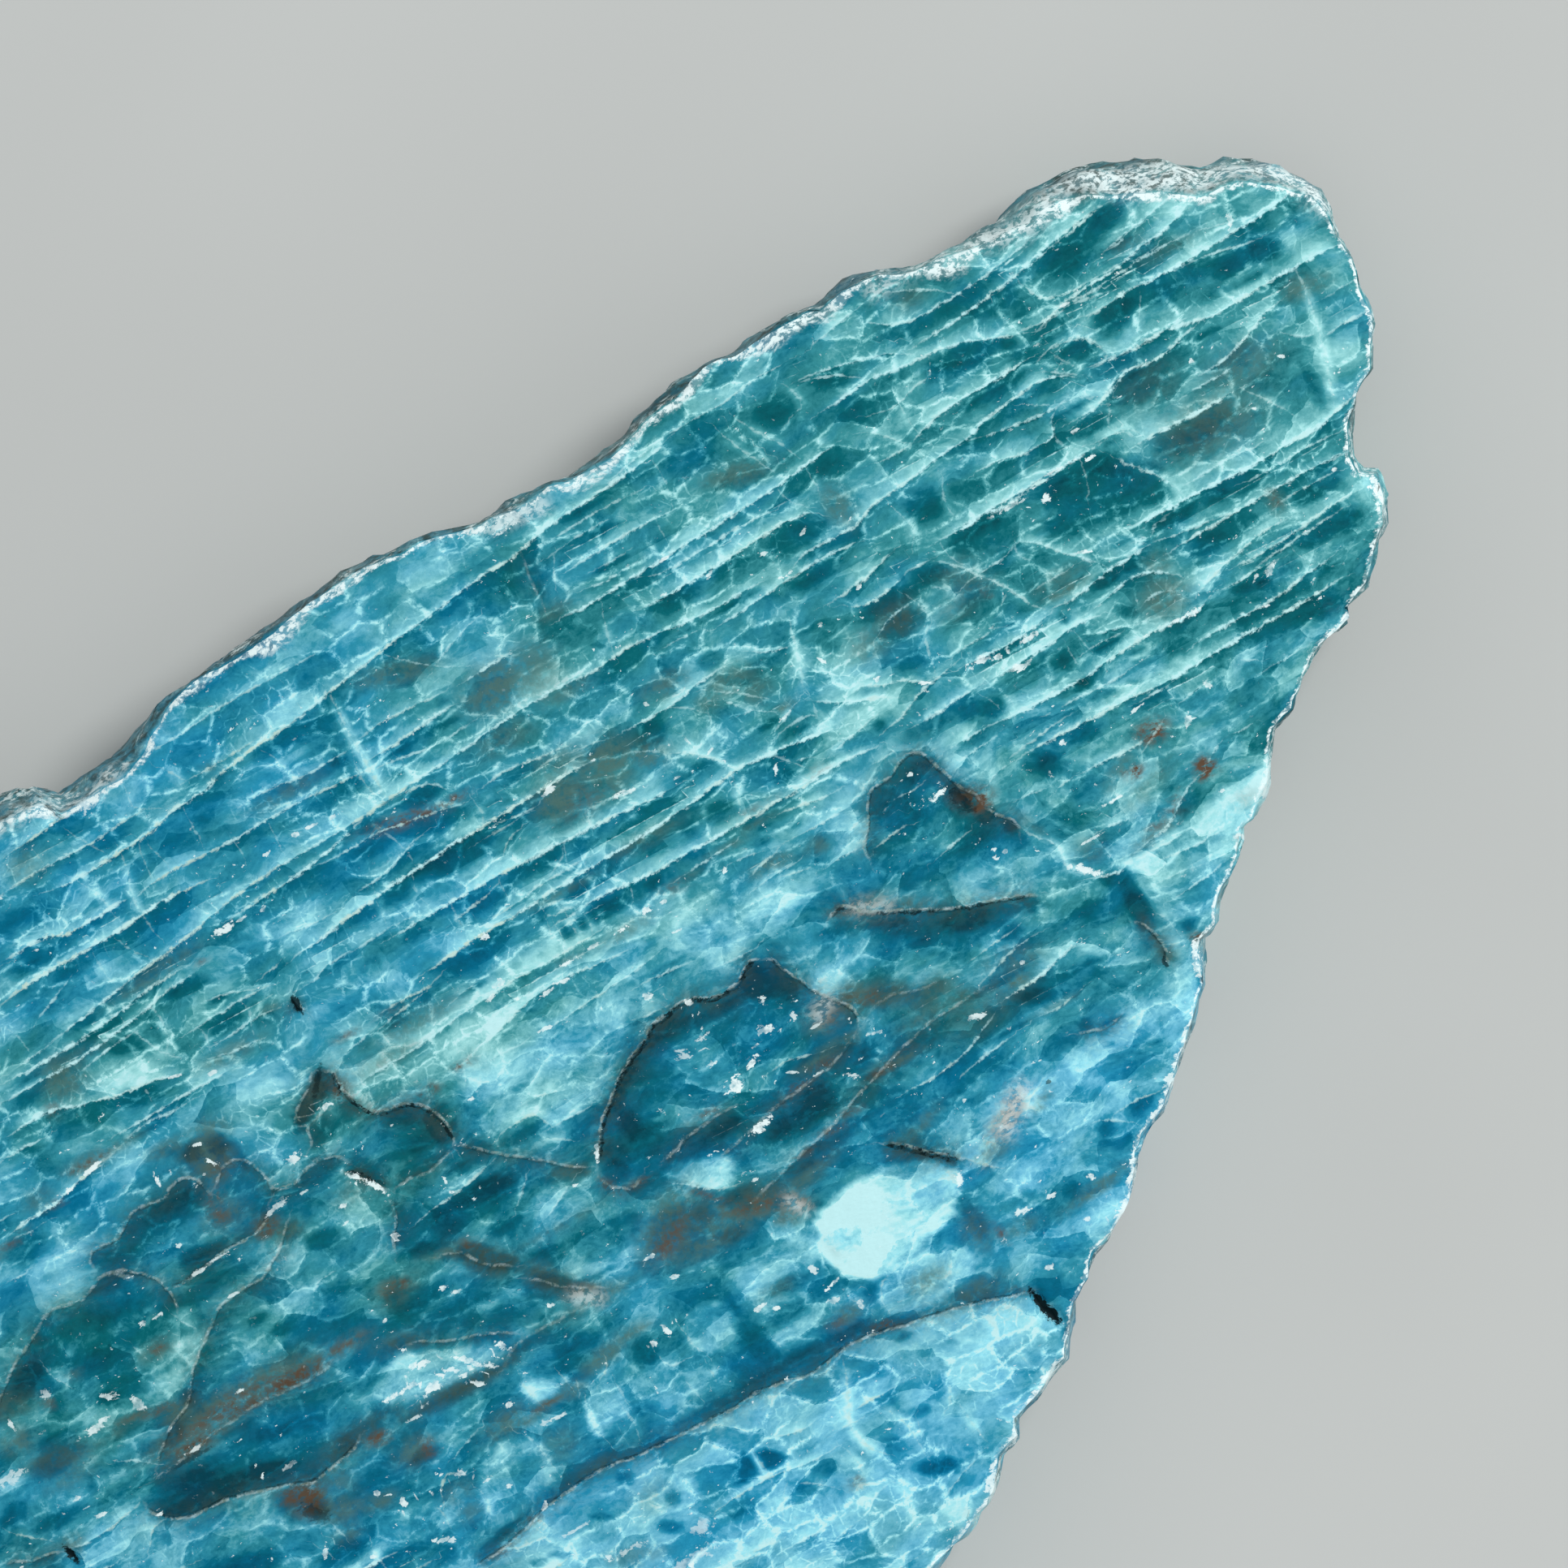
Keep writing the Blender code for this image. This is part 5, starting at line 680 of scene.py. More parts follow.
# White flecks, and open black spots with the notch, in the same form.
WHITE_SPOTS = [
    (1.3, 25.1, 0.25, 0.3, 0, 0.7), (20.2, 26.8, 0.8, 0.3, 0, 0.8), (7.6, 20.4, 0.2, 0.07, 0, 1),
    (8.2, 20.4, 0.2, 0.07, 0, 0.9), (6.3, 20.3, 0.15, 0.06, 0, 0.8), (9.1, 20.3, 0.2, 0.06, 0, 0.8),
    (24.4, 22.7, 0.2, 0.06, 0, 0.9), (25.6, 21.4, 0.15, 0.07, 30, 0.9), (23.8, 21.55, 0.15, 0.05, 0, 0.7),
    (29.4, 21.1, 0.15, 0.06, 40, 0.9), (27.7, 21.1, 0.12, 0.06, 0, 0.8), (28.2, 20, 0.12, 0.06, 0, 0.8),
    (40.3, 22.95, 0.15, 0.06, 0, 0.8), (40, 19.5, 0.15, 0.06, 0, 0.8), (5.2, 18.6, 0.15, 0.06, 30, 0.9),
    (4.3, 18.65, 0.15, 0.06, 0, 0.8), (11.85, 13.75, 0.15, 0.1, 0, 1), (11.5, 11.9, 0.2, 0.12, 0, 0.9),
    (11, 11.65, 0.2, 0.08, 20, 0.8), (14.1, 11.4, 0.3, 0.07, 0, 1), (15.2, 11.45, 0.2, 0.06, 0, 0.8),
    (16.5, 11.5, 0.2, 0.08, 0, 1), (17.6, 11.7, 0.2, 0.1, 0, 1), (16.5, 17.3, 0.25, 0.1, 20, 0.9),
    (12.2, 9.65, 0.25, 0.07, 0, 0.8), (12.9, 10.8, 0.25, 0.07, 10, 0.9), (13.5, 10.9, 0.3, 0.06, -10, 0.9),
    (28.3, 17.75, 0.08, 0.08, 0, 1), (27.7, 16.6, 0.18, 0.05, -60, 0.9), (29.15, 15, 0.1, 0.08, 0, 1),
    (30.6, 14.05, 0.2, 0.06, -30, 1), (24.25, 13.9, 0.2, 0.06, 60, 0.9), (20.8, 11.55, 0.12, 0.08, 30, 1),
    (18.3, 11.65, 0.12, 0.1, 0, 1), (18.2, 10.45, 0.15, 0.06, 0, 0.8), (29, 10.15, 0.35, 0.1, 15, 1),
    (28.5, 11.35, 0.1, 0.07, 0, 0.9), (30.2, 18.3, 0.15, 0.07, 20, 0.9), (22.5, 15.7, 0.15, 0.06, 30, 0.8),
    (21.9, 16.4, 0.2, 0.04, -70, 0.9), (20.9, 15.4, 0.12, 0.05, 0, 0.7),
    (21.2, 18.35, 0.12, 0.06, -60, 0.8), (19, 15.85, 0.5, 0.08, -10, 0.9),
    (25.5, 15.45, 0.3, 0.05, 15, 0.9), (-6.1, 12.95, 0.22, 0.08, 0, 1), (-5, 13.25, 0.4, 0.07, 8, 1),
    (-6.5, 13, 0.12, 0.07, 0, 0.9), (-3.1, 11.75, 0.07, 0.22, 0, 1), (3.5, 18.6, 0.35, 0.12, 0, 1),
    (-1, 11.3, 0.3, 0.08, -50, 1), (-1.2, 12.15, 0.25, 0.06, -10, 0.9), (1.7, 9.95, 0.3, 0.12, 0, 0.9),
    (0.6, 14.2, 0.15, 0.06, 0, 0.8), (3.7, 11.1, 0.25, 0.1, 0, 0.9), (-0.7, 14.75, 0.3, 0.05, -15, 0.9),
    (-3.6, 9.2, 0.12, 0.1, 0, 0.8), (37.9, 17.85, 0.16, 0.1, 50, 1), (40, 18.35, 0.15, 0.08, 0, 1),
    (33.4, 13.55, 0.15, 0.1, 0, 1), (34, 12.85, 0.3, 0.12, 0, 1), (34, 9.6, 0.12, 0.08, -30, 1),
    (38.1, 15.4, 0.3, 0.05, -20, 1), (39.7, 8.9, 0.12, 0.15, 0, 0.9), (40.6, 11.5, 0.2, 0.1, 0, 1),
    (39.9, 11.55, 0.25, 0.07, 0, 0.9), (34.7, 13.6, 0.35, 0.1, 0, 0.9), (32.8, 13.75, 0.4, 0.12, 0, 0.9),
    (43.05, 10.4, 0.12, 0.08, 0, 0.9), (43.8, 11.5, 0.3, 0.1, 30, 0.9), (43.2, 11.5, 0.2, 0.06, 40, 0.8),
    (47.7, 13.6, 0.1, 0.06, 0, 0.9), (46.2, 17, 0.08, 0.08, 0, 0.9), (48.75, 23.5, 0.25, 0.09, 60, 1),
    (48, 18.2, 0.2, 0.06, -20, 0.9), (45, 19.65, 0.07, 0.07, 0, 0.9), (41.9, 23.75, 0.2, 0.05, 0, 0.8),
    (38.4, 8.1, 0.2, 0.08, 60, 0.8), (36.5, 18.2, 0.6, 0.07, 0, 0.7), (38.8, 18.55, 0.6, 0.06, 0, 0.7),
    (37, 9.4, 0.2, 0.05, 10, 0.9), (-9.6, 4.8, 0.5, 0.12, 10, 0.9), (-8.5, 5.6, 0.3, 0.15, -20, 0.8),
    (-13.2, 4.7, 0.4, 0.2, 0, 0.6), (-12.2, 6.4, 0.08, 0.2, 0, 0.8), (-10.5, 6.8, 0.15, 0.15, 0, 0.6),
    (-7.7, 4.8, 0.15, 0.25, 20, 0.9), (-6.1, 7.35, 0.15, 0.08, 0, 0.8), (-5.6, 7.3, 0.2, 0.08, 0, 0.8),
    (-11.5, 2.85, 0.2, 0.08, 0, 0.9), (-10.9, 1.9, 0.15, 0.07, 0, 0.9), (-9.05, 0.9, 0.12, 0.06, 0, 1),
    (-5, 0.25, 0.08, 0.07, 0, 1), (-4.2, 3.4, 0.12, 0.06, 0, 0.9), (-6.7, 2.35, 0.25, 0.06, 0, 0.8),
    (-3.9, 0.1, 0.3, 0.08, 0, 0.5), (-2.4, 8.1, 0.5, 0.06, 0, 0.8), (-3.4, 8, 0.3, 0.06, 0, 0.8),
    (-2.7, 6.65, 0.2, 0.06, 0, 0.8), (3.4, 8.2, 0.35, 0.1, -50, 1), (3.9, 7.5, 0.35, 0.1, -60, 1),
    (2.4, 7.55, 0.25, 0.08, 0, 0.9), (2.3, 6.95, 0.12, 0.06, 0, 0.8), (3.55, 5.6, 0.12, 0.12, 0, 1),
    (6.2, 6.5, 0.06, 0.12, 0, 0.9), (4.2, 3.1, 0.2, 0.08, -30, 1), (4.5, 2.75, 0.2, 0.08, 0, 0.9),
    (1.75, 3.1, 0.1, 0.06, 0, 0.9), (7.4, 0.6, 0.1, 0.08, 0, 1), (10.3, 4.05, 0.12, 0.08, 0, 0.9),
    (11.6, 4.7, 0.25, 0.08, 60, 0.9), (11.4, 0.4, 0.2, 0.07, 0, 0.9), (11.9, -0.7, 0.15, 0.08, 0, 0.8),
    (0.4, 8.7, 0.4, 0.1, 10, 0.7), (1.4, 8.7, 0.15, 0.06, 0, 0.8), (8.5, 8.7, 0.12, 0.06, 0, 0.9),
    (0.7, 0.5, 0.4, 0.1, 0, 1), (2.1, 0.05, 0.35, 0.16, 0, 1), (2.1, 1.05, 0.35, 0.12, 0, 1),
    (3.7, 0.3, 0.5, 0.1, -40, 1), (5.1, 0.15, 0.25, 0.1, -45, 1), (3, 0.3, 0.3, 0.1, -30, 0.9),
    (1.3, 0.5, 0.3, 0.07, 0, 0.8), (3.6, -0.6, 0.25, 0.08, -40, 0.9), (4.2, -0.15, 0.3, 0.08, -30, 0.9),
    (0.9, -0.6, 0.2, 0.06, 0, 0.7), (17.35, 4.45, 0.35, 0.2, 30, 1.1), (18.25, 4.85, 0.3, 0.12, 20, 1.1),
    (19.3, 5.65, 0.3, 0.12, -30, 1), (19, 5.7, 0.1, 0.1, 0, 1), (16.9, 5.55, 0.15, 0.08, 0, 0.9),
    (16.2, 6.3, 0.3, 0.2, -30, 0.6), (17.1, 6.55, 0.3, 0.1, 0, 0.7), (19.7, 6.7, 0.12, 0.15, 0, 0.8),
    (20.4, 5.6, 0.08, 0.2, 0, 0.8), (17.4, 2.65, 0.5, 0.12, 15, 1.1), (16.1, 8.8, 0.15, 0.15, 0, 0.9),
    (17.25, 7.95, 0.2, 0.08, -40, 1), (19.4, 3.8, 0.2, 0.06, -30, 0.9), (20.2, 3.3, 0.15, 0.06, 0, 0.8),
    (22.8, 3.6, 0.25, 0.06, -20, 0.9), (21.3, 2.6, 0.25, 0.08, -40, 0.9), (26.3, 2.35, 0.3, 0.1, -10, 0.9),
    (16.2, 1, 0.12, 0.06, 0, 0.8), (24.4, -0.15, 0.08, 0.08, 0, 0.9), (21, 4.9, 0.2, 0.05, 0, 0.7),
    (32, 5.5, 0.12, 0.08, 0, 1), (32.6, 5, 0.4, 0.12, -45, 1), (28.75, 3.2, 0.08, 0.08, 0, 0.9),
    (30.2, 7.15, 0.08, 0.06, 0, 0.9), (29.9, 7.4, 0.07, 0.06, 0, 0.9), (38.5, 8.1, 0.15, 0.12, 0, 0.9),
    (34.6, 6.85, 0.35, 0.06, 0, 0.9), (33.3, 6, 0.4, 0.05, 0, 0.8), (38.3, 5.2, 0.1, 0.06, 0, 0.9),
    (3.6, -5.75, 0.12, 0.08, 30, 1), (-2.85, -4.35, 0.09, 0.08, 0, 1), (-1.6, -2.35, 0.12, 0.1, 0, 0.9),
    (-0.9, -3.1, 0.1, 0.13, 0, 1), (-1.1, -3.45, 0.05, 0.12, 0, 0.9), (0.15, -3.3, 0.06, 0.12, 0, 0.8),
    (0.8, -2.9, 0.1, 0.08, 0, 0.9), (1.45, -3.2, 0.15, 0.12, 0, 0.9), (-0.6, -4.9, 0.12, 0.06, 0, 0.9),
    (-0.2, -5.1, 0.3, 0.1, -20, 0.8), (2.25, -3.9, 0.12, 0.08, 0, 0.9), (2.8, -4.45, 0.12, 0.1, 0, 0.9),
    (4.2, -1.85, 0.15, 0.08, 0, 0.9), (5.3, -3.1, 0.5, 0.08, 0, 0.8), (-4.3, -3.3, 0.08, 0.2, -30, 0.9),
    (7.3, -10.25, 0.12, 0.1, 0, 1), (4.8, -8.6, 0.15, 0.1, 0, 0.8), (5.5, -8.7, 0.6, 0.1, 0, 0.6),
    (4.2, -7.1, 0.6, 0.06, 0, 0.6), (8.3, -9.3, 0.3, 0.25, 0, 0.5), (7.6, -10.1, 0.7, 0.2, 0, 0.5),
    (14.6, -3.55, 0.12, 0.08, 0, 1), (14.1, -3.2, 0.2, 0.1, 0, 0.9), (16.8, -3.75, 0.25, 0.08, 20, 1),
    (16.5, -2.9, 0.1, 0.15, 0, 0.8), (13.7, -6, 0.08, 0.07, 0, 1), (10, -2.45, 0.12, 0.1, 0, 1),
    (10.7, -2.3, 0.08, 0.2, 10, 1), (9.3, -3.9, 0.05, 0.2, 0, 0.9), (16.6, -4.3, 0.2, 0.12, 0, 0.7),
    (17.4, -4.9, 0.1, 0.15, 0, 0.8), (20.2, -12, 0.3, 0.15, 0, 0.9), (18.6, -12.8, 0.4, 0.12, 40, 0.9),
    (22.5, -10.5, 0.6, 0.12, 5, 0.9), (21.3, -11, 0.5, 0.1, 5, 0.8), (17.8, -13.7, 0.2, 0.12, 30, 0.9),
    (22.8, -2.7, 0.3, 0.12, 50, 1), (24.3, -4.8, 0.3, 0.1, -10, 0.9), (25.5, -4.8, 0.15, 0.1, 0, 0.9),
    (27.1, -4.9, 0.15, 0.1, -30, 1), (24.2, -7.1, 0.15, 0.1, -30, 0.9), (26.3, -6.2, 0.12, 0.1, 0, 0.9),
    (27.6, -6.6, 0.4, 0.2, 30, 1), (28.7, -5.5, 0.15, 0.4, -20, 1), (30.4, -4.1, 0.15, 0.1, 0, 0.9),
    (31.4, -3.2, 0.25, 0.15, 40, 0.9), (32.9, -2.1, 0.5, 0.12, 35, 0.9), (34.5, 0.3, 0.15, 0.6, -25, 1),
    (40, 4.9, 0.6, 0.12, 50, 0.8), (38.4, 3.6, 0.5, 0.08, 10, 0.8), (48.8, 12.2, 0.25, 0.6, 0, 1.1),
    (48.65, 13.5, 0.12, 0.5, 0, 1), (45.2, 8.5, 0.5, 0.12, 20, 0.9),
]
BLACK_SPOTS = [
    (7.15, 8.3, 0.07, 0.45, 6, 0.9), (4.55, 14.9, 0.15, 0.33, 0, 0.9), (33.4, 0.7, 0.1, 0.2, 0, 0.8),
    (-12.6, 1.15, 0.14, 0.35, 15, 1), (23.25, -8, 0.2, 0.45, 8, 1), (23.4, -8.7, 0.2, 0.45, 12, 1),
    (27.5, -1.1, 0.1, 0.08, 0, 0.7), (3.8, 12, 0.6, 0.12, 50, 0.6), (29.7, 9.6, 0.25, 0.6, 20, 0.6),
    (-4, -1.9, 0.6, 0.3, -50, 0.5), (-6.9, 2.1, 0.8, 0.1, 0, 0.5),
]

# The outline of the pale netted grain under the lowest long crack: x, y, x, y, ...
NETTED_GRAIN = [
    0, -6.6, 1.8, -6.5, 3.4, -6, 5.6, -5.7, 8, -6, 13, -6.1, 16, -6.1, 19, -6.5, 22, -7.3, 23.2, -7.8, 23.5,
    -9.2, 22.6, -11.6, 19, -14.5, 15, -15.6, 10, -14.5, 2, -11, -5, -8,
]

# Patches with an edge: (change of tone, softness of the edge, x, y, x, y, ... of the outline).
PATCHES = [
    (-0.5, 0.12, 2.2, 10.8, 2.6, 11.4, 3.4, 12, 4, 12.5, 4.4, 12.3, 4.45, 11.7, 4.2, 11.3, 3.6, 11.3, 3,
     11.1, 2.5, 10.7),
    (-0.35, 0.15, -2.1, 12.2, -1.2, 12.4, -0.3, 12.1, 0.2, 11.2, 0, 10.7, -0.8, 10.9, -1.6, 11.3),
    (0.15, 1.2, 3, 10.2, 5, 12.4, 12, 12.6, 22, 12.2, 30, 12.4, 33, 11, 31, 9.6, 26, 8.6, 20, 9.2, 12,
     8.6, 8, 9),
    (-0.03, 0.7, -14.5, 1, -12.4, 7.4, -9, 9.2, -6, 10.4, -2, 11.2, 0.5, 10, 3, 8.5, 7, 9.4, 7.5, 7.5, 11,
     4.3, 12.5, 1, 9, -0.3, 2, -0.6, -4, 0, -9, 0.6),
    (-0.12, 0.5, -3.6, -2, -1, -1, 3, -0.9, 8, -0.6, 13, -0.8, 13.6, -2.4, 12.6, -5.6, 6, -5.2, 1, -5.6,
     -3, -4), (-0.08, 0.8, 12, 2, 17, 3.5, 22, 5, 26, 7, 31, 5, 33, 3, 28, 0.8, 20, 0.4, 13, -0.6),
    (0.3, 0.15, -5.6, 6.1, -4.9, 6.1, -4.2, 5.9, -4.7, 5.4, -5.2, 5.1, -5.5, 5.5),
    (0.3, 0.12, -10.1, 7.6, -9.7, 7.5, -9.4, 7.1, -9.6, 6.6, -9.9, 7),
    (0.18, 0.2, -7.8, 4.9, -6.8, 5.4, -5.6, 5.2, -5.2, 4.8, -5.7, 4.3, -6.6, 4.15, -7.4, 4.3),
    (0.22, 0.3, -5.3, 4.4, -4.4, 5, -3.2, 4.9, -2.4, 4.7, -1.6, 4.3, -2.6, 4, -4, 4),
    (-0.15, 0.25, -12.2, 7.2, -11, 8, -9.4, 8.9, -7.5, 9, -6.2, 9.2, -5, 8.5, -4.9, 7.2, -5.6, 6.2, -7,
     5.6, -9, 5.2, -11.5, 5.4),
    (-0.12, 0.25, -6.6, 10.2, -5.2, 10.3, -4.2, 10.9, -2.4, 11.1, -1.8, 10.2, -1.2, 9.2, -2, 8.4, -3.4,
     8.2, -4.8, 8.6, -5.8, 9.2),
    (0.3, 0.2, 0, 0.9, 0.8, 1.5, 2, 1.7, 3.4, 1, 4.6, 0.6, 5.2, 0.1, 4.4, -0.3, 3.2, -0.2, 1.8, 0.1, 0.4,
     0.2), (-0.2, 0.15, 4.9, 5.6, 6, 5.9, 7.2, 6, 8, 5.8, 8.6, 5.2, 8, 4.8, 6.8, 4.6, 5.6, 4.5, 5, 4.9),
    (-0.25, 0.15, 9.2, 2.4, 10.4, 2.4, 11.6, 2.3, 12, 2, 11.4, 1.3, 10.6, 0.9, 9.8, 1, 9.2, 1.6),
    (0.16, 0.2, 7.5, 9.3, 7.6, 8, 8.2, 7.1, 9, 7.2, 10.3, 7, 10.6, 6.4, 12.2, 6.4, 13.5, 7.5, 15, 8.4, 15,
     9.5, 11, 9.5),
    (0.16, 0.3, -0.6, 6.6, 0.2, 7.1, 1.2, 6.4, 2.4, 6.9, 3.4, 6.3, 3.3, 5.4, 3, 4.7, 2.2, 4.2, 1, 4.1, 0,
     4.6, -0.5, 5.6),
    (-0.2, 0.12, 13, 6, 13.8, 6.7, 15, 7.3, 15.8, 7.8, 17.2, 7.9, 18.4, 7.5, 19.2, 7.6, 19.9, 8, 20.6,
     7.8, 21, 7, 21.6, 5.9, 22.3, 5, 22.3, 4.1, 21, 3.5, 19, 3.1, 17.2, 2.7, 15.6, 2.4, 14.6, 1.7, 13.6,
     2.4, 12.6, 3, 12.4, 4.4),
    (0.45, 0.12, 13.4, 2.8, 14, 3, 15, 2.6, 15.9, 2.3, 15.8, 1.7, 15.3, 1.2, 14.6, 1.6, 13.9, 2.1),
    (-0.15, 0.1, 14.6, 3.4, 15.6, 3.5, 16.6, 3.6, 16.9, 3.1, 16.2, 2.8, 15, 2.7),
    (-0.2, 0.08, 18.4, 3, 19.6, 3, 20, 2.5, 20.3, 2, 19.4, 1.5, 18, 1.3, 17.4, 1.6, 17.6, 2.4),
    (-0.18, 0.1, 25.7, 9.1, 26.2, 10.2, 27, 11.4, 28.4, 11.8, 29.1, 11.8, 29.6, 10.6, 30.2, 9.4, 30.7,
     8.6, 31, 7.8, 31, 6.9, 29.6, 7, 28, 7.3, 26.8, 7.6, 25.7, 8),
    (0.36, 0.2, 33.9, 4.6, 34.6, 4.7, 36.5, 5, 38.2, 5.2, 39.2, 5, 40.4, 5.4, 39.8, 4.2, 38.8, 3.3, 37.4,
     2.5, 36.2, 1.3, 34.9, 1.6, 34.2, 2.2, 33.9, 3.2),
    (0.14, 0.4, 31.6, 7.2, 32.4, 6.4, 33.5, 6.5, 34.5, 7.4, 35.2, 8, 36, 8.3, 38.5, 8.6, 41, 7.6, 43.5,
     8.6, 41.6, 6.2, 40.4, 5.2, 38.6, 5.6, 36.6, 6.3, 35, 6, 33.6, 5.6, 32.2, 5.3, 31.8, 6),
    (0.3, 0.1, 5.05, -1, 5.1, -1.8, 5.3, -2.4, 5.9, -2.35, 6.3, -1.9, 6.6, -1.2, 6.6, -0.6, 5.4, -0.5),
    (0.3, 0.12, 1.8, -4, 2.4, -3.2, 3.1, -2.9, 4, -3.1, 4.5, -4, 4.6, -4.8, 3.6, -5.4, 2.2, -5.6, 1.3,
     -5.6, 1.7, -4.9), (0.28, 0.1, 6.8, -3.1, 7.8, -3.1, 8, -4, 7.7, -4.9, 6.9, -5, 6.7, -4.2),
    (0.22, 0.12, -2.7, -3.9, -1.8, -3.3, -0.6, -3.3, 0.2, -3.5, 0.1, -4.2, -0.9, -4.6, -1.8, -4.7, -2.6,
     -4.8), (0.18, 0.12, *NETTED_GRAIN),
    (0.62, 0.1, 17.4, -1.5, 17.9, -1.1, 18.8, -0.95, 20.6, -0.9, 21.8, -1.2, 22.6, -1.8, 22.9, -2.5, 22.4,
     -3.2, 21.6, -3.8, 20.4, -4, 19.4, -4.3, 18.4, -4.4, 17.9, -4, 17.4, -3.6, 17.2, -2.8, 17.3, -2.1),
    (0.25, 0.12, 18.4, -4.6, 19.4, -4.4, 20.9, -4.3, 21.6, -4.6, 21.9, -5.3, 21.3, -6, 20.3, -6.2, 19,
     -6.2, 18.2, -5.8, 18.2, -5.1),
    (0.22, 0.15, 13.6, -1.6, 14.6, -1.1, 16.2, -1.3, 17.2, -1.9, 17.2, -2.9, 16.2, -2.4, 15, -2.6, 14,
     -2.9, 13.8, -2.2),
    (0.32, 0.1, 11.2, -2.4, 12, -2, 12.9, -2.2, 13, -3.2, 12.6, -4, 11.5, -3.7, 11.3, -3.1),
    (0.2, 0.2, 9, -4.2, 10.4, -4, 11.2, -4.2, 12, -4.6, 12.2, -5.4, 9, -5.6),
    (-0.8, 0.1, 10.2, -8.6, 10.6, -7.8, 11, -7.7, 11.15, -8.2, 10.9, -8.65),
    (-0.8, 0.1, 11.35, -7.8, 11.7, -7.85, 12.3, -8.4, 12, -8.7, 11.4, -8.6),
    (-0.7, 0.12, 16.1, -11.3, 16.9, -11.2, 17.7, -11.6, 17.6, -12, 16.8, -11.8, 16.2, -11.4),
    (-0.3, 0.12, 16.5, -8.5, 17, -8.2, 17, -9, 17.9, -9.4, 17.6, -9.6, 16.7, -9.3),
    (-0.25, 0.12, 18.2, -8.8, 18.9, -8.9, 18.5, -9.5, 17.9, -9.3),
    (-0.22, 0.1, 18.4, -7.5, 19.7, -7.5, 19.65, -8, 18.6, -7.9),
    (-0.35, 0.12, 9.4, -9.4, 10, -9.2, 10.7, -9.4, 10.3, -9.7, 9.5, -9.65),
    (-0.25, 0.12, 13, -9.5, 13.8, -9.4, 13.7, -9.8, 13.2, -9.8),
    (-0.25, 0.1, 14.2, -9.5, 14.9, -9.6, 14.7, -9.8),
    (-0.3, 0.12, 15.4, -9.8, 16.1, -9.7, 16.3, -10.2, 15.8, -10.3),
    (-0.25, 0.12, 11.8, -9.7, 12.1, -9.4, 12.7, -9.9, 12.1, -10.1),
    (-0.2, 0.12, 12.6, -8.6, 13.2, -8.2, 13.5, -8.6, 12.9, -8.9),
    (-0.18, 0.12, 16.4, -7.1, 17.1, -7.1, 17, -7.6, 16.4, -7.5),
    (-0.25, 0.15, 8.9, -7.3, 10.4, -7.7, 10.2, -8.5, 9.1, -8.6),
    (0.18, 0.15, 16.6, -12.7, 18, -12.1, 19.5, -11.6, 21.4, -10.6, 22.6, -10.4, 20.2, -12.4, 19, -13, 18,
     -14, 16.6, -14.4, 16.4, -13.2),
    (0.26, 0.3, 28.6, -0.6, 30, -0.6, 31.6, -0.3, 33.4, -0.8, 34.2, -1.2, 32.6, -2.8, 31.4, -3.3, 29.8,
     -2.9, 28.9, -2.2, 28.4, -1.4),
]

# Chalky crust along the natural edge: (width, strength, x, y, x, y, ...).
CRUSTS = [
    (0.4, 0.6, 25.2, -1.8, 26.4, -0.95), (0.25, 0.5, 17, -0.3, 17.3, -0.8),
    (0.3, 0.45, 21.2, 5.2, 21.8, 5.5), (0.3, 0.5, 8.4, 0.4, 9, 0), (0.3, 0.4, 24.4, 8, 25.4, 7.5),
    (0.45, 0.9, 40.2, 27.5, 42, 27.1, 43.4, 27.5),
    (0.55, 1, 44.2, 27.9, 46.2, 27.3, 47.6, 26.9, 48.8, 26.2, 49.8, 25.6, 50.8, 25.1, 51.6, 24.4, 52.1,
     23.6, 52.3, 22.6), (0.4, 1, 45.6, 27, 46.4, 26.3, 47.4, 26.1, 48.2, 25.7, 48.9, 25.5),
    (0.3, 0.8, -3, 26.2, -1.5, 26, 0, 26.1, 1.5, 25.6, 3, 25.9),
    (0.3, 0.7, 19.4, 26.9, 20.4, 26.8, 21.4, 26.6), (0.3, 0.6, 36, 27.6, 38, 27.7, 40, 27.5),
]


def eased(values, low, high):
    """Values moved smoothly to the range from 0 to 1."""
    share = np.clip((values - low) / (high - low), 0.0, 1.0)
    return share * share * (3.0 - 2.0 * share)


def pairs(numbers):
    """A flat row of numbers as a list of points."""
    return list(zip(numbers[::2], numbers[1::2]))


def smooth_route(points, step=0.35):
    """A smooth curve through given points, as an array of places about a step apart."""
    places = [Vector(point) for point in points]
    if len(places) == 2:
        places.insert(1, (places[0] + places[1]) / 2.0)
    ends = [places[0] * 2.0 - places[1]] + places + [places[-1] * 2.0 - places[-2]]
    route = []
    for index in range(1, len(ends) - 2):
        a, b, c, d = ends[index - 1:index + 3]
        count = max(2, round((c - b).length / step))
        for part in range(count):
            t = part / count
            route.append(0.5 * (2.0 * b + (c - a) * t + (2.0 * a - 5.0 * b + 4.0 * c - d) * t * t
                                + (3.0 * b - 3.0 * c + d - a) * t ** 3))
    route.append(places[-1])
    return np.array([tuple(place) for place in route])


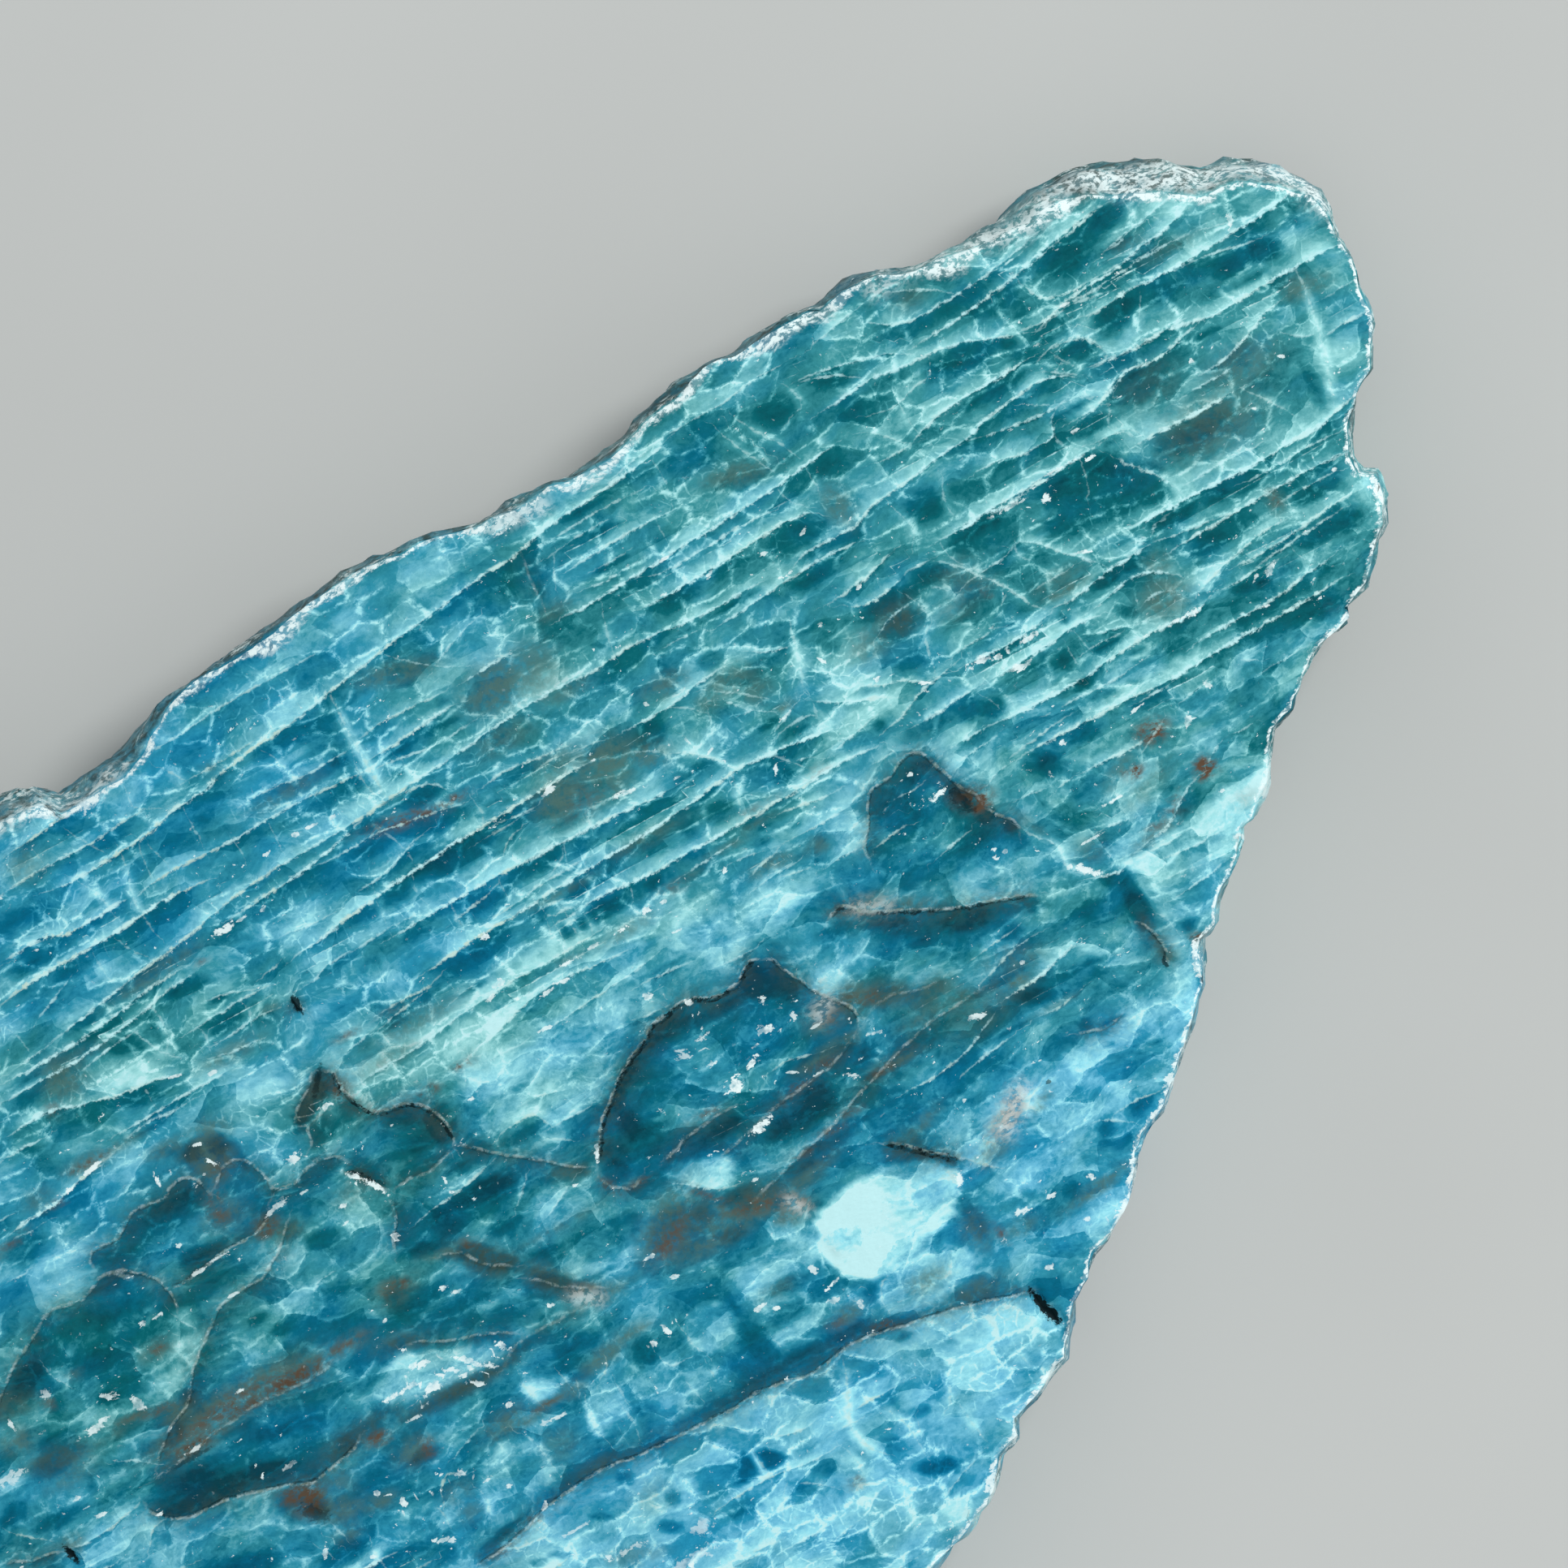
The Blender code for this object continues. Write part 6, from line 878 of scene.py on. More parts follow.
def nearest_on(route, spots):
    """Signed distance (positive on the left) to a route, and how far along it the nearest place is."""
    starts, ends = route[:-1], route[1:]
    along = ends - starts
    lengths = np.maximum(np.hypot(along[:, 0], along[:, 1]), 1e-9)
    offset = spots[:, None, :] - starts[None, :, :]
    share = np.clip((offset * along).sum(axis=2) / lengths ** 2, 0.0, 1.0)
    gap = offset - share[:, :, None] * along
    squared = (gap ** 2).sum(axis=2)
    best = squared.argmin(axis=1)
    rows = np.arange(len(spots))
    side = along[best, 0] * offset[rows, best, 1] - along[best, 1] * offset[rows, best, 0]
    run = np.concatenate(([0.0], np.cumsum(lengths)))
    distance = np.sqrt(squared[rows, best])
    return np.where(side < 0.0, -distance, distance), run[best] + share[rows, best] * lengths[best]


def within(spots, route, reach):
    """Which places lie in the box round a route, widened by a reach."""
    low, high = route.min(axis=0) - reach, route.max(axis=0) + reach
    return np.nonzero(((spots > low) & (spots < high)).all(axis=1))[0]


def too_close(route, others):
    """Whether a route comes closer than the layer gap to any of the others."""
    for other in others:
        if (route.min(axis=0) - LAYER_GAP > other.max(axis=0)).any():
            continue
        if (route.max(axis=0) + LAYER_GAP < other.min(axis=0)).any():
            continue
        gaps = np.hypot(*(route[:, None, :] - other[None, :, :]).transpose(2, 0, 1))
        if gaps.min() < LAYER_GAP:
            return True
    return False


def sort_into_layers(lines, count):
    """The lines shared out so that close ones are in different layers, the strongest placed first.

    A line runs towards +X, or towards -X where its strength is written as negative.
    """
    layers = [[] for _ in range(count)]
    for strength, points in sorted(lines, key=lambda line: -abs(line[0])):
        route = smooth_route(points)
        if (route[-1, 0] < route[0, 0]) == (strength > 0.0):
            route = route[::-1]
        free = [layer for layer in layers if not too_close(route, [line[1] for line in layer])]
        home = free[0] if free else min(layers, key=len)
        home.append((abs(strength), route))
    return layers


def line_field(lines, spots, taper):
    """For each place: signed distance to the nearest line, plain distance, strength and darkness below."""
    field = np.zeros((len(spots), 4))
    field[:, 0] = FAR
    field[:, 1] = FAR
    for strength, route in lines:
        near = within(spots, route, LINE_REACH)
        if not len(near):
            continue
        distance, run = nearest_on(route, spots[near])
        total = np.hypot(*np.diff(route, axis=0).T).sum()
        fade = np.clip(np.minimum(run, total - run) / min(taper, total / 2.0), FAINTEST_END, 1.0)
        span = route[-1] - route[0]
        lying = span[0] ** 2 / (span[0] ** 2 + span[1] ** 2)
        better = np.abs(distance) < field[near, 1]
        rows = near[better]
        field[rows, 0] = distance[better]
        field[rows, 1] = np.abs(distance[better])
        field[rows, 2] = strength * fade[better]
        field[rows, 3] = strength * fade[better] * lying
    return field


def shares_of(offsets, reach, across, turn):
    """Offsets from a turned spot's middle, along and across it, in the spot's own sizes."""
    c, s = math.cos(math.radians(turn)), math.sin(math.radians(turn))
    dx, dy = offsets[:, 0], offsets[:, 1]
    return (dx * c + dy * s) / reach, (dy * c - dx * s) / across


def spot_field(spots_wanted, spots):
    """The strongest of the soft round spots at each place."""
    field = np.zeros(len(spots))
    for x, y, reach, across, turn, amount in spots_wanted:
        near = within(spots, np.array([(x, y)]), 3.0 * max(reach, across))
        if not len(near):
            continue
        along, side = shares_of(spots[near] - (x, y), reach, across, turn)
        value = amount * np.exp(-(along ** 2 + side ** 2) ** 1.5 * 0.7)
        field[near] = np.maximum(field[near], value)
    return field


def sort_specks(specks, count):
    """The specks shared out so that close ones are in different layers."""
    layers = [[] for _ in range(count)]
    for speck in specks:
        def crowded(layer):
            return any(math.hypot(speck[0] - other[0], speck[1] - other[1])
                       < speck[2] + other[2] + LAYER_GAP for other in layer)
        free = [layer for layer in layers if not crowded(layer)]
        (free[0] if free else min(layers, key=len)).append(speck)
    return layers


def speck_field(specks, spots):
    """For each place: how far along and across the nearest speck, in the speck's own sizes, its amount
    and the gap to it."""
    field = np.zeros((len(spots), 4))
    field[:, [0, 1, 3]] = FAR
    for x, y, reach, across, turn, amount in specks:
        near = within(spots, np.array([(x, y)]), reach + SPECK_REACH)
        if not len(near):
            continue
        offsets = spots[near] - (x, y)
        along, side = shares_of(offsets, reach, across, turn)
        span = np.maximum(np.hypot(along, side), 1e-6)
        gap = np.hypot(offsets[:, 0], offsets[:, 1]) * np.maximum(0.0, 1.0 - 1.0 / span)
        better = gap < field[near, 3]
        rows = near[better]
        field[rows] = np.stack((along, side, np.full(len(near), amount), gap), axis=1)[better]
    return field


def inside_field(outline, spots, softness):
    """How far inside a closed outline each place is: 1 well inside, 0 well outside."""
    route = smooth_route(list(outline) + [outline[0]])
    share = np.zeros(len(spots))
    near = within(spots, route, softness + 0.1)
    if not len(near):
        return share
    distance, _ = nearest_on(route, spots[near])
    x, y = spots[near, 0], spots[near, 1]
    inside = np.zeros(len(near), dtype=bool)
    for (x0, y0), (x1, y1) in zip(route[:-1], route[1:]):
        crosses = (y0 > y) != (y1 > y)
        level = np.where(y1 == y0, 1e-9, y1 - y0)
        inside ^= crosses & (x < (x1 - x0) * (y - y0) / level + x0)
    share[near] = eased(np.where(inside, 1.0, -1.0) * np.abs(distance), -softness, softness)
    return share


def place_list(mesh):
    """The mesh's vertices as an array of millimetres."""
    places = np.empty(len(mesh.vertices) * 3)
    mesh.vertices.foreach_get("co", places)
    return places.reshape(-1, 3) / MM


def on_level(face, height):
    """Whether a face lies flat at a height in millimetres."""
    return all(abs(vert.co.z / MM - height) < LEVEL_SLACK for vert in face.verts)


def with_edges(faces):
    """Faces together with their edges and corners, as the cutting operators want them."""
    edges = {edge for face in faces for edge in face.edges}
    verts = {vert for face in faces for vert in face.verts}
    return list(faces) + list(edges) + list(verts)


def score(mesh, faces, pitch):
    """Cuts flat faces by evenly spaced planes across X and then across Y."""
    geometry = with_edges(faces)
    for axis in (0, 1):
        normal = Vector((0.0, 0.0, 0.0))
        normal[axis] = 1.0
        for index in range(math.ceil(LOW[axis] / MM / pitch), math.floor(HIGH[axis] / MM / pitch) + 1):
            cut = bmesh.ops.bisect_plane(mesh, geom=geometry, dist=1e-7,
                                         plane_co=normal * index * pitch * MM, plane_no=normal)
            geometry = cut["geom"]


def is_seen(place, margin):
    """Whether the photograph's frame takes in a place, in millimetres of the part's own frame."""
    offset = Vector((place.x, place.y)) / MM - SEEN_MIDDLE
    turned = Matrix.Rotation(GRAIN_TILT, 2) @ offset
    return max(abs(turned.x), abs(turned.y)) < SEEN_WIDTH / 2.0 + margin


def refine(mesh, faces, longest, rounds):
    """Halves the faces' long edges a few times over."""
    for _ in range(rounds):
        edges = {edge for face in faces for edge in face.edges if edge.calc_length() > longest}
        if not edges:
            break
        made = bmesh.ops.subdivide_edges(mesh, edges=list(edges), cuts=1, use_grid_fill=True)
        fresh = {item for item in made["geom"] if isinstance(item, bmesh.types.BMFace)}
        faces = {face for face in faces if face.is_valid} | fresh
    return faces


def cut_fine(node, settings):
    """A merged copy of the solid with a fine natural edge, a fine upper face and a coarser lower one."""
    mesh = bmesh.new()
    mesh.from_mesh(node.data)
    bmesh.ops.remove_doubles(mesh, verts=mesh.verts, dist=1e-6)
    for height, pitch in ((0.0, settings.face_pitch * 2.0), (THICKNESS, settings.face_pitch)):
        flat = [face for face in mesh.faces if on_level(face, height)]
        bmesh.ops.dissolve_faces(mesh, faces=flat)
        score(mesh, [face for face in mesh.faces if on_level(face, height)], pitch)
    side = [f for f in mesh.faces if not on_level(f, THICKNESS) and not on_level(f, 0.0)]
    side = bmesh.ops.triangulate(mesh, faces=side)["faces"]
    refine(mesh, side, settings.edge_pitch * MM, 3)
    seen = [f for f in mesh.faces if on_level(f, THICKNESS) and is_seen(f.calc_center_median(), 1.0)]
    edges = list({edge for face in seen for edge in face.edges})
    bmesh.ops.subdivide_edges(mesh, edges=edges, cuts=1, use_grid_fill=True)
    return mesh


def hidden(x, y):
    """Whether a place on the stone is outside the photograph."""
    return not is_seen(Vector((x, y)) * MM, -0.6)


def wandering(draw, start, heading, length, sway, step=1.6):
    """Points along a gently wandering line."""
    points, x, y = [start], *start
    bend = 0.0
    for _ in range(max(2, round(length / step))):
        bend = 0.6 * bend + draw.uniform(-sway, sway)
        angle = math.radians(heading) + bend
        x, y = x + step * math.cos(angle), y + step * math.sin(angle)
        points.append((x, y))
    return points


# The random spots of the broad end: (family, how many to try, reach along, reach across).
RANDOM_SPOTS = (("deep", 240, 1.1, 0.4), ("milky", 70, 1.3, 0.6), ("murk", 90, 1.2, 0.35),
                ("rust", 40, 0.9, 0.18), ("white", 90, 0.25, 0.09))


def broad_end():
    """Veins, cracks and spots for the part of the stone past the photograph's frame."""
    draw = random.Random(29)
    low, high = LOW / MM, HIGH / MM
    veins, cracks = [], []
    level = low.y
    while level < high.y:
        x = low.x + draw.uniform(-2.0, 4.0)
        while x < GUESSED_LIMIT:
            length = draw.uniform(4.0, 16.0)
            y = level + draw.uniform(-0.3, 0.3)
            line = [point for point in wandering(draw, (x, y), draw.uniform(-3.0, 5.0), length, 0.05)
                    if hidden(*point)]
            if len(line) > 2:
                veins.append((draw.uniform(0.35, 1.0), line))
            x += length + draw.uniform(0.5, 3.0)
        level += draw.uniform(0.7, 1.5)
    for _ in range(150):
        start = draw.uniform(low.x, GUESSED_LIMIT), draw.uniform(low.y, high.y)
        heading = draw.choice((70.0, 95.0, 120.0, -50.0))
        line = wandering(draw, start, heading, draw.uniform(1.4, 3.4), 0.25, 0.7)
        if all(hidden(*point) for point in line):
            veins.append((draw.uniform(0.3, 0.8), line))
    for _ in range(34):
        start = draw.uniform(low.x, 10.0), draw.uniform(low.y, high.y)
        line = wandering(draw, start, draw.uniform(-60.0, 60.0), draw.uniform(4.0, 12.0), 0.4)
        if all(hidden(*point) for point in line):
            cracks.append((draw.choice((-1.0, 1.0)) * draw.uniform(0.5, 0.95), line))
    families = {}
    for family, count, reach, across in RANDOM_SPOTS:
        made = []
        for _ in range(count):
            x, y = draw.uniform(low.x, GUESSED_LIMIT), draw.uniform(low.y, high.y)
            if hidden(x, y):
                made.append((x, y, reach * draw.uniform(0.5, 1.4), across * draw.uniform(0.6, 1.4),
                             draw.uniform(-20.0, 20.0), draw.uniform(0.5, 1.0)))
        families[family] = made
    return veins, cracks, families


BAND_EDGE = (8.0, 11.0)  # where the netted band sets in, in millimetres up the stone
BAND_SLOPE = 0.05
NETTING_BELOW = 0.5  # how netted the stone is outside the band
RIM_BAND, RIM_BAND_MORE = 0.12, 0.12  # width of the pale band inside the rim, partly chalky crust and partly painted rim light, and how much more the far edge mostly has
RIM_BAND_SWING = 0.7
FAR_EDGE, BROAD_END = 23.5, -20.0  # above one along Y, or short of the other along X, the band is wider


def on_upper(places):
    """Which places are on the upper sawn face."""
    return places[:, 2] > THICKNESS - LEVEL_SLACK


def on_lower(places):
    """Which places are on the lower sawn face."""
    return places[:, 2] < LEVEL_SLACK


def gather(lines, taper, names, spots, fields):
    """Writes one field for each layer of a family of lines."""
    for name, layer in zip(names, sort_into_layers(lines, len(names))):
        fields[name] = line_field(layer, spots, taper)


def crust_field(spots):
    """How much chalky crust each place has, along the listed routes."""
    crust = np.zeros(len(spots))
    for width, strength, *numbers in CRUSTS:
        route = smooth_route(pairs(numbers))
        near = within(spots, route, 3.0 * width)
        distance, _ = nearest_on(route, spots[near])
        crust[near] = np.maximum(crust[near], strength * np.exp(-(distance / width) ** 2))
    return crust


def stone_fields(places):
    """Everything the stone shows, by attribute name, as four numbers for each place."""
    depth = THICKNESS - places[:, 2]
    spots = np.stack((places[:, 0] + VEIN_DIP[0] * depth, places[:, 1] + VEIN_DIP[1] * depth), axis=1)
    fields = {}
    more_veins, more_cracks, more = broad_end()
    veins, cracks = ([(strength, pairs(numbers)) for strength, *numbers in rows] for rows in (VEINS, CRACKS))
    gather(veins + more_veins, VEIN_TAPER, VEIN_LAYERS, spots, fields)
    gather(cracks + more_cracks, CRACK_TAPER, CRACK_LAYERS, spots, fields)
    tones = (DEEP_SPOTS + more["deep"], MILKY_SPOTS + more["milky"],
             MURK_SPOTS + more["murk"], RUST_SPOTS + more["rust"])
    fields["tones"] = np.stack([spot_field(wanted, spots) for wanted in tones], axis=1)
    specks = sort_specks(WHITE_SPOTS + more["white"], len(SPECK_LAYERS))
    for name, layer in zip(SPECK_LAYERS, specks):
        fields[name] = speck_field(layer, spots)
    fields["pits"] = speck_field(BLACK_SPOTS, spots)
    patch = sum(change * inside_field(pairs(numbers), spots, softness)
                for change, softness, *numbers in PATCHES)
    lean = sum(math.copysign(1.0, spot[5]) * spot_field([(*spot[:5], abs(spot[5]))], spots)
               for spot in GREENER_SPOTS)
    teal = np.clip(0.5 + lean, 0.0, 1.0)
    banded = eased(spots[:, 1] - BAND_SLOPE * spots[:, 0], *BAND_EDGE)
    lowest = inside_field(pairs(NETTED_GRAIN), spots, 0.3)
    netting = np.maximum(np.maximum(banded, lowest), NETTING_BELOW)
    fields["marks"] = np.stack([patch, crust_field(spots), teal, netting], axis=1)
    return fields


def rim_distance(mesh, places):
    """How far each place is from the rim of the upper sawn face, up to a few millimetres."""
    upper = on_upper(places)
    corners = np.empty(len(mesh.loops), dtype=np.int32)
    mesh.loops.foreach_get("vertex_index", corners)
    starts = np.empty(len(mesh.polygons), dtype=np.int32)
    totals = np.empty(len(mesh.polygons), dtype=np.int32)
    mesh.polygons.foreach_get("loop_start", starts)
    mesh.polygons.foreach_get("loop_total", totals)
    lowest = np.minimum.reduceat(places[corners, 2], starts)
    beside = np.zeros(len(places), dtype=bool)
    beside[corners[np.repeat(lowest < THICKNESS - LEVEL_SLACK, totals)]] = True
    rim = np.nonzero(upper & beside)[0]
    tree = kdtree.KDTree(len(rim))
    for index in rim:
        tree.insert((places[index, 0], places[index, 1], 0.0), index)
    tree.balance()
    distance = np.full(len(places), FAR)
    for index in np.nonzero(upper)[0]:
        distance[index] = tree.find((places[index, 0], places[index, 1], 0.0))[2]
    return distance, rim


def write_field(mesh, name, values):
    """Keeps four numbers for each vertex as an attribute that the material reads."""
    attribute = mesh.attributes.new(name, "FLOAT_COLOR", "POINT")
    attribute.data.foreach_set("color", values.astype(np.float32).ravel())


def rim_light_and_crust_width(places):
    """How wide the pale band inside the rim is, partly chalky crust and partly painted rim light: wider and
    patchy along the far natural edge.
    """
    widths = np.full(len(places), RIM_BAND)
    for row in np.nonzero((places[:, 1] > FAR_EDGE) | (places[:, 0] < BROAD_END))[0]:
        x, y, _ = places[row]
        patchy = noise.noise(Vector((x * 0.45, y * 0.2, 3.0)))
        widths[row] += max(0.0, RIM_BAND_MORE + RIM_BAND_SWING * patchy)
    return widths


NOISE_SEED = 29  # without it Blender's vector noise starts from the clock and differs in each run
CRACK_WIDTH = 0.24  # millimetres, of the groove that an open crack cuts
CRACK_STEP, CRACK_STEP_REACH = 0.035, 1.2  # how much lower one side of a crack is, and how far out
VEIN_STEP, VEIN_STEP_REACH = 0.03, 0.5
CHIP_REACH = 1.2  # how far in from the rim the chips go
RIM_DROP, RIM_ROUNDING = 0.06, 0.35
EDGE_HOLD = 0.4  # how far in from the rim the broken edge pulls the upper face with it
SCOOP_GRAIN, DENT_GRAIN = (0.34, 0.34, 0.42), (0.8, 0.8, 0.9)  # hollows to a millimetre, each way
SCOOP_REACH, DENT_REACH, DENT_SHARE = 0.62, 0.6, 0.35
SCOOP_MEAN = 0.26  # taken off the hollows so that the edge keeps its mean place
SCOOP_SEEN_SHARE = 0.5  # how deep the hollows are along the edge that the photograph shows
SLOW_GRAIN, QUICK_GRAIN = (0.16, 0.16, 0.12), (0.5, 0.5, 0.3)
SLOW_SWAY, QUICK_SWAY = 1.5, 0.6  # millimetres
SWAY_DEPTH = 2.2  # how far in from the rim the upper face sways with the outline
SWAY_START = (16.0, 24.0)  # where the sway sets in towards the broad end


def shaken(places, scale, reach, rows):
    """Smooth random shifts for some of the places, as an array with a row for every place."""
    shifts = np.zeros_like(places)
    for row in rows:
        place = Vector(places[row]) * scale
        rough = noise.noise_vector(place * 2.3 + Vector((7.0, 1.0, 4.0))) * 0.45
        shifts[row] = (noise.noise_vector(place) + rough) * reach
    return shifts


def in_grain(place, grain, layer=0.0):
    """A place in a noise's own scale, on one of its layers."""
    return Vector((place[0] * grain[0], place[1] * grain[1], place[2] * grain[2] + layer))


def carved(fields, settings):
    """How deep the cracks, pits and steps go into the upper face."""
    drop = np.zeros(len(fields["pits"]))
    for name in CRACK_LAYERS:
        signed, plain, strength, _ = fields[name].T
        drop = np.maximum(drop, settings.groove_depth * strength * np.exp(-(plain / CRACK_WIDTH) ** 2))
        drop += np.where(signed > 0.0, 0.0, CRACK_STEP) * strength * np.exp(-plain / CRACK_STEP_REACH)
    for name in VEIN_LAYERS:
        signed, plain, _, below = fields[name].T
        drop += np.where(signed > 0.0, 0.0, VEIN_STEP) * below * np.exp(-plain / VEIN_STEP_REACH)
    along, side, amount, _ = fields["pits"].T
    drop += settings.pit_depth * amount * (1.0 - eased(np.hypot(along, side), 0.5, 1.5))
    return drop


def worked(places, fields, distance, rim, settings):
    """The places with the cracks, pits, steps and chips of the upper face and the rough broken edge."""
    noise.seed_set(NOISE_SEED)
    upper, lower = on_upper(places), on_lower(places)
    drop = carved(fields, settings)
    waves = shaken(places, 0.45, settings.wave_height, np.nonzero(upper)[0])[:, 2]
    chips = shaken(places, 0.9, 1.0, np.nonzero(upper & (distance < CHIP_REACH))[0])
    chipped = eased(chips[:, 0], 0.05, 0.45) * settings.chip_depth
    rounding = (RIM_DROP + chipped) * np.exp(-(distance / RIM_ROUNDING) ** 2)
    drop += np.where(distance < CHIP_REACH, rounding, 0.0)
    moved = places.copy()
    moved[:, 2] += np.where(upper, np.minimum(waves, 0.0) - drop, 0.0)

    hold = np.where(upper, np.exp(-(distance / EDGE_HOLD) ** 2), np.where(lower, 0.0, 1.0))
    hold[rim] = 1.0
    shifts = shaken(places, 0.9, settings.edge_roughness, np.nonzero(hold > 0.02)[0])
    shifts[:, 2] *= np.where(upper | lower, 0.0, 0.6)
    moved = moved + shifts * hold[:, None]
    return moved + scoops(places, upper | lower, settings) + swayed(places, distance, upper)


def scoops(places, flat, settings):
    """Shell-like hollows broken into the natural edge between the faces, as shifts towards the middle."""
    shifts = np.zeros_like(places)
    for row in np.nonzero(~flat)[0]:
        x, y, z = places[row]
        scoop = noise.voronoi(in_grain(places[row], SCOOP_GRAIN))[0][0]
        dent = noise.voronoi(in_grain(places[row], DENT_GRAIN, 5.0))[0][0]
        depth = max(0.0, SCOOP_REACH - scoop) + DENT_SHARE * max(0.0, DENT_REACH - dent) - SCOOP_MEAN
        if not hidden(x, y):
            depth *= SCOOP_SEEN_SHARE
        inward = Vector((-x * 0.25, -y)).normalized()
        belly = min(1.0, z / 1.2, (THICKNESS - z) / 0.8)
        shifts[row, :2] = np.array(inward) * depth * belly * settings.scoop_depth
    return shifts


def swayed(places, distance, upper):
    """Slow shifts that make the guessed broad end's outline less even, and different at each height."""
    shifts = np.zeros_like(places)
    reach = np.where(upper, np.exp(-(distance / SWAY_DEPTH) ** 2), places[:, 2] / THICKNESS)
    reach = reach * eased(-places[:, 0] - 0.6 * places[:, 1], *SWAY_START)
    for row in np.nonzero(reach > 0.02)[0]:
        slow = noise.noise_vector(in_grain(places[row], SLOW_GRAIN))
        quick = noise.noise_vector(in_grain(places[row], QUICK_GRAIN, 9.0))
        shifts[row, :2] = [slow[axis] * SLOW_SWAY + quick[axis] * QUICK_SWAY for axis in (0, 1)]
    return shifts * reach[:, None]


# Where the six colours stand on the tone, from the darkest stone to the veins.
TONE_STOPS = (0.0, 0.38, 0.58, 0.74, 0.885, 1.0)
BODY_TONE = 0.41  # the stone's tone where nothing is drawn on it
TONE_SPAN, TONE_FLOOR = 0.72, 0.25
NET_CELLS, MESH_CELLS = 0.95, 1.9  # how close the cells of the coarser and the finer net of wisps are
NET_RANDOMNESS = 0.75
NEAR_LINE = (0.3, 0.6)  # millimetres from its line over which a vein's core or a crack ends
MID_GREY = (0.5, 0.5, 0.5)


def link_in(tree, socket, value):
    """Feeds a socket from another socket, or sets it to a number or a colour."""
    if isinstance(value, bpy.types.NodeSocket):
        tree.links.new(value, socket)
    else:
        socket.default_value = value


def calc(tree, operation, *values):
    """A Math node's result."""
    node = tree.nodes.new("ShaderNodeMath")
    node.operation = operation
    for socket, value in zip(node.inputs, values):
        link_in(tree, socket, value)
    return node.outputs[0]


def folded(tree, operation, values):
    """The values taken together by one operation, one after another."""
    result = values[0]
    for value in values[1:]:
        result = calc(tree, operation, result, value)
    return result


def total(tree, *values):
    """The values added together."""
    return folded(tree, "ADD", values)


def product(tree, *values):
    """The values multiplied together."""
    return folded(tree, "MULTIPLY", values)


def strongest(tree, *values):
    """The greatest of the values."""
    return folded(tree, "MAXIMUM", values)


def remap(tree, value, low, high, to_low=0.0, to_high=1.0, kind="SMOOTHSTEP"):
    """A value moved smoothly from one range to another, and held at its ends."""
    node = tree.nodes.new("ShaderNodeMapRange")
    node.interpolation_type = kind
    for socket, number in zip(node.inputs, (value, low, high, to_low, to_high)):
        link_in(tree, socket, number)
    return node.outputs[0]


def falling(tree, value, low, high):
    """One up to a low value, and nothing past a high one."""
    return remap(tree, value, low, high, 1.0, 0.0)


def swing(tree, value, reach, low=0.3, high=0.7):
    """A noise spread evenly from minus a reach to the reach."""
    return remap(tree, value, low, high, -reach, reach, "LINEAR")


def fading(tree, distance, rate):
    """One on a line, fading out with the distance from it."""
    return calc(tree, "EXPONENT", product(tree, distance, -rate))


def blend(tree, share, first, second):
    """One colour mixed into another."""
    node = tree.nodes.new("ShaderNodeMix")
    node.data_type = "RGBA"
    node.clamp_factor = True
    link_in(tree, node.inputs["Factor"], share)
    link_in(tree, node.inputs[6], first)
    link_in(tree, node.inputs[7], second)
    return node.outputs[2]


def vector(tree, operation, first, second):
    """A Vector Math node's result."""
    node = tree.nodes.new("ShaderNodeVectorMath")
    node.operation = operation
    link_in(tree, node.inputs[0], first)
    link_in(tree, node.inputs[3 if operation == "SCALE" else 1], second)
    return node.outputs[0]


def parts_of(tree, value):
    """The three parts of a vector or a colour."""
    node = tree.nodes.new("ShaderNodeSeparateXYZ")
    link_in(tree, node.inputs[0], value)
    return node.outputs[0], node.outputs[1], node.outputs[2]


def joined(tree, x, y, z):
    """Three numbers as a vector."""
    node = tree.nodes.new("ShaderNodeCombineXYZ")
    for socket, value in zip(node.inputs, (x, y, z)):
        link_in(tree, socket, value)
    return node.outputs[0]


def attribute(tree, name):
    """The four numbers of a named attribute."""
    node = tree.nodes.new("ShaderNodeAttribute")
    node.attribute_name = name
    x, y, z = parts_of(tree, node.outputs["Vector"])
    return x, y, z, node.outputs["Alpha"]


def cloud(tree, place, scale, detail=2.0, roughness=0.5):
    """A noise pattern's value and colour."""
    node = tree.nodes.new("ShaderNodeTexNoise")
    for name, value in (("Vector", place), ("Scale", scale), ("Detail", detail), ("Roughness", roughness)):
        link_in(tree, node.inputs[name], value)
    return node.outputs["Fac"], node.outputs["Color"]


def cells(tree, place, scale, feature, output, randomness=1.0):
    """One output of a flat cell pattern."""
    node = tree.nodes.new("ShaderNodeTexVoronoi")
    node.voronoi_dimensions = "2D"
    node.feature = feature
    for name, value in (("Vector", place), ("Scale", scale), ("Randomness", randomness)):
        link_in(tree, node.inputs[name], value)
    return node.outputs[output]


def ramp(tree, value, colours):
    """A colour read off the ramp of tones."""
    node = tree.nodes.new("ShaderNodeValToRGB")
    link_in(tree, node.inputs[0], value)
    band = node.color_ramp.elements
    for _ in range(len(colours) - 2):
        band.new(0.5)
    for element, position, colour in zip(band, TONE_STOPS, colours):
        element.position = position
        element.color = rgba(colour)
    return node.outputs[0]


def sized(tree, place, x, y, z):
    """A place stretched by a different amount each way."""
    return vector(tree, "MULTIPLY", place, (x, y, z))


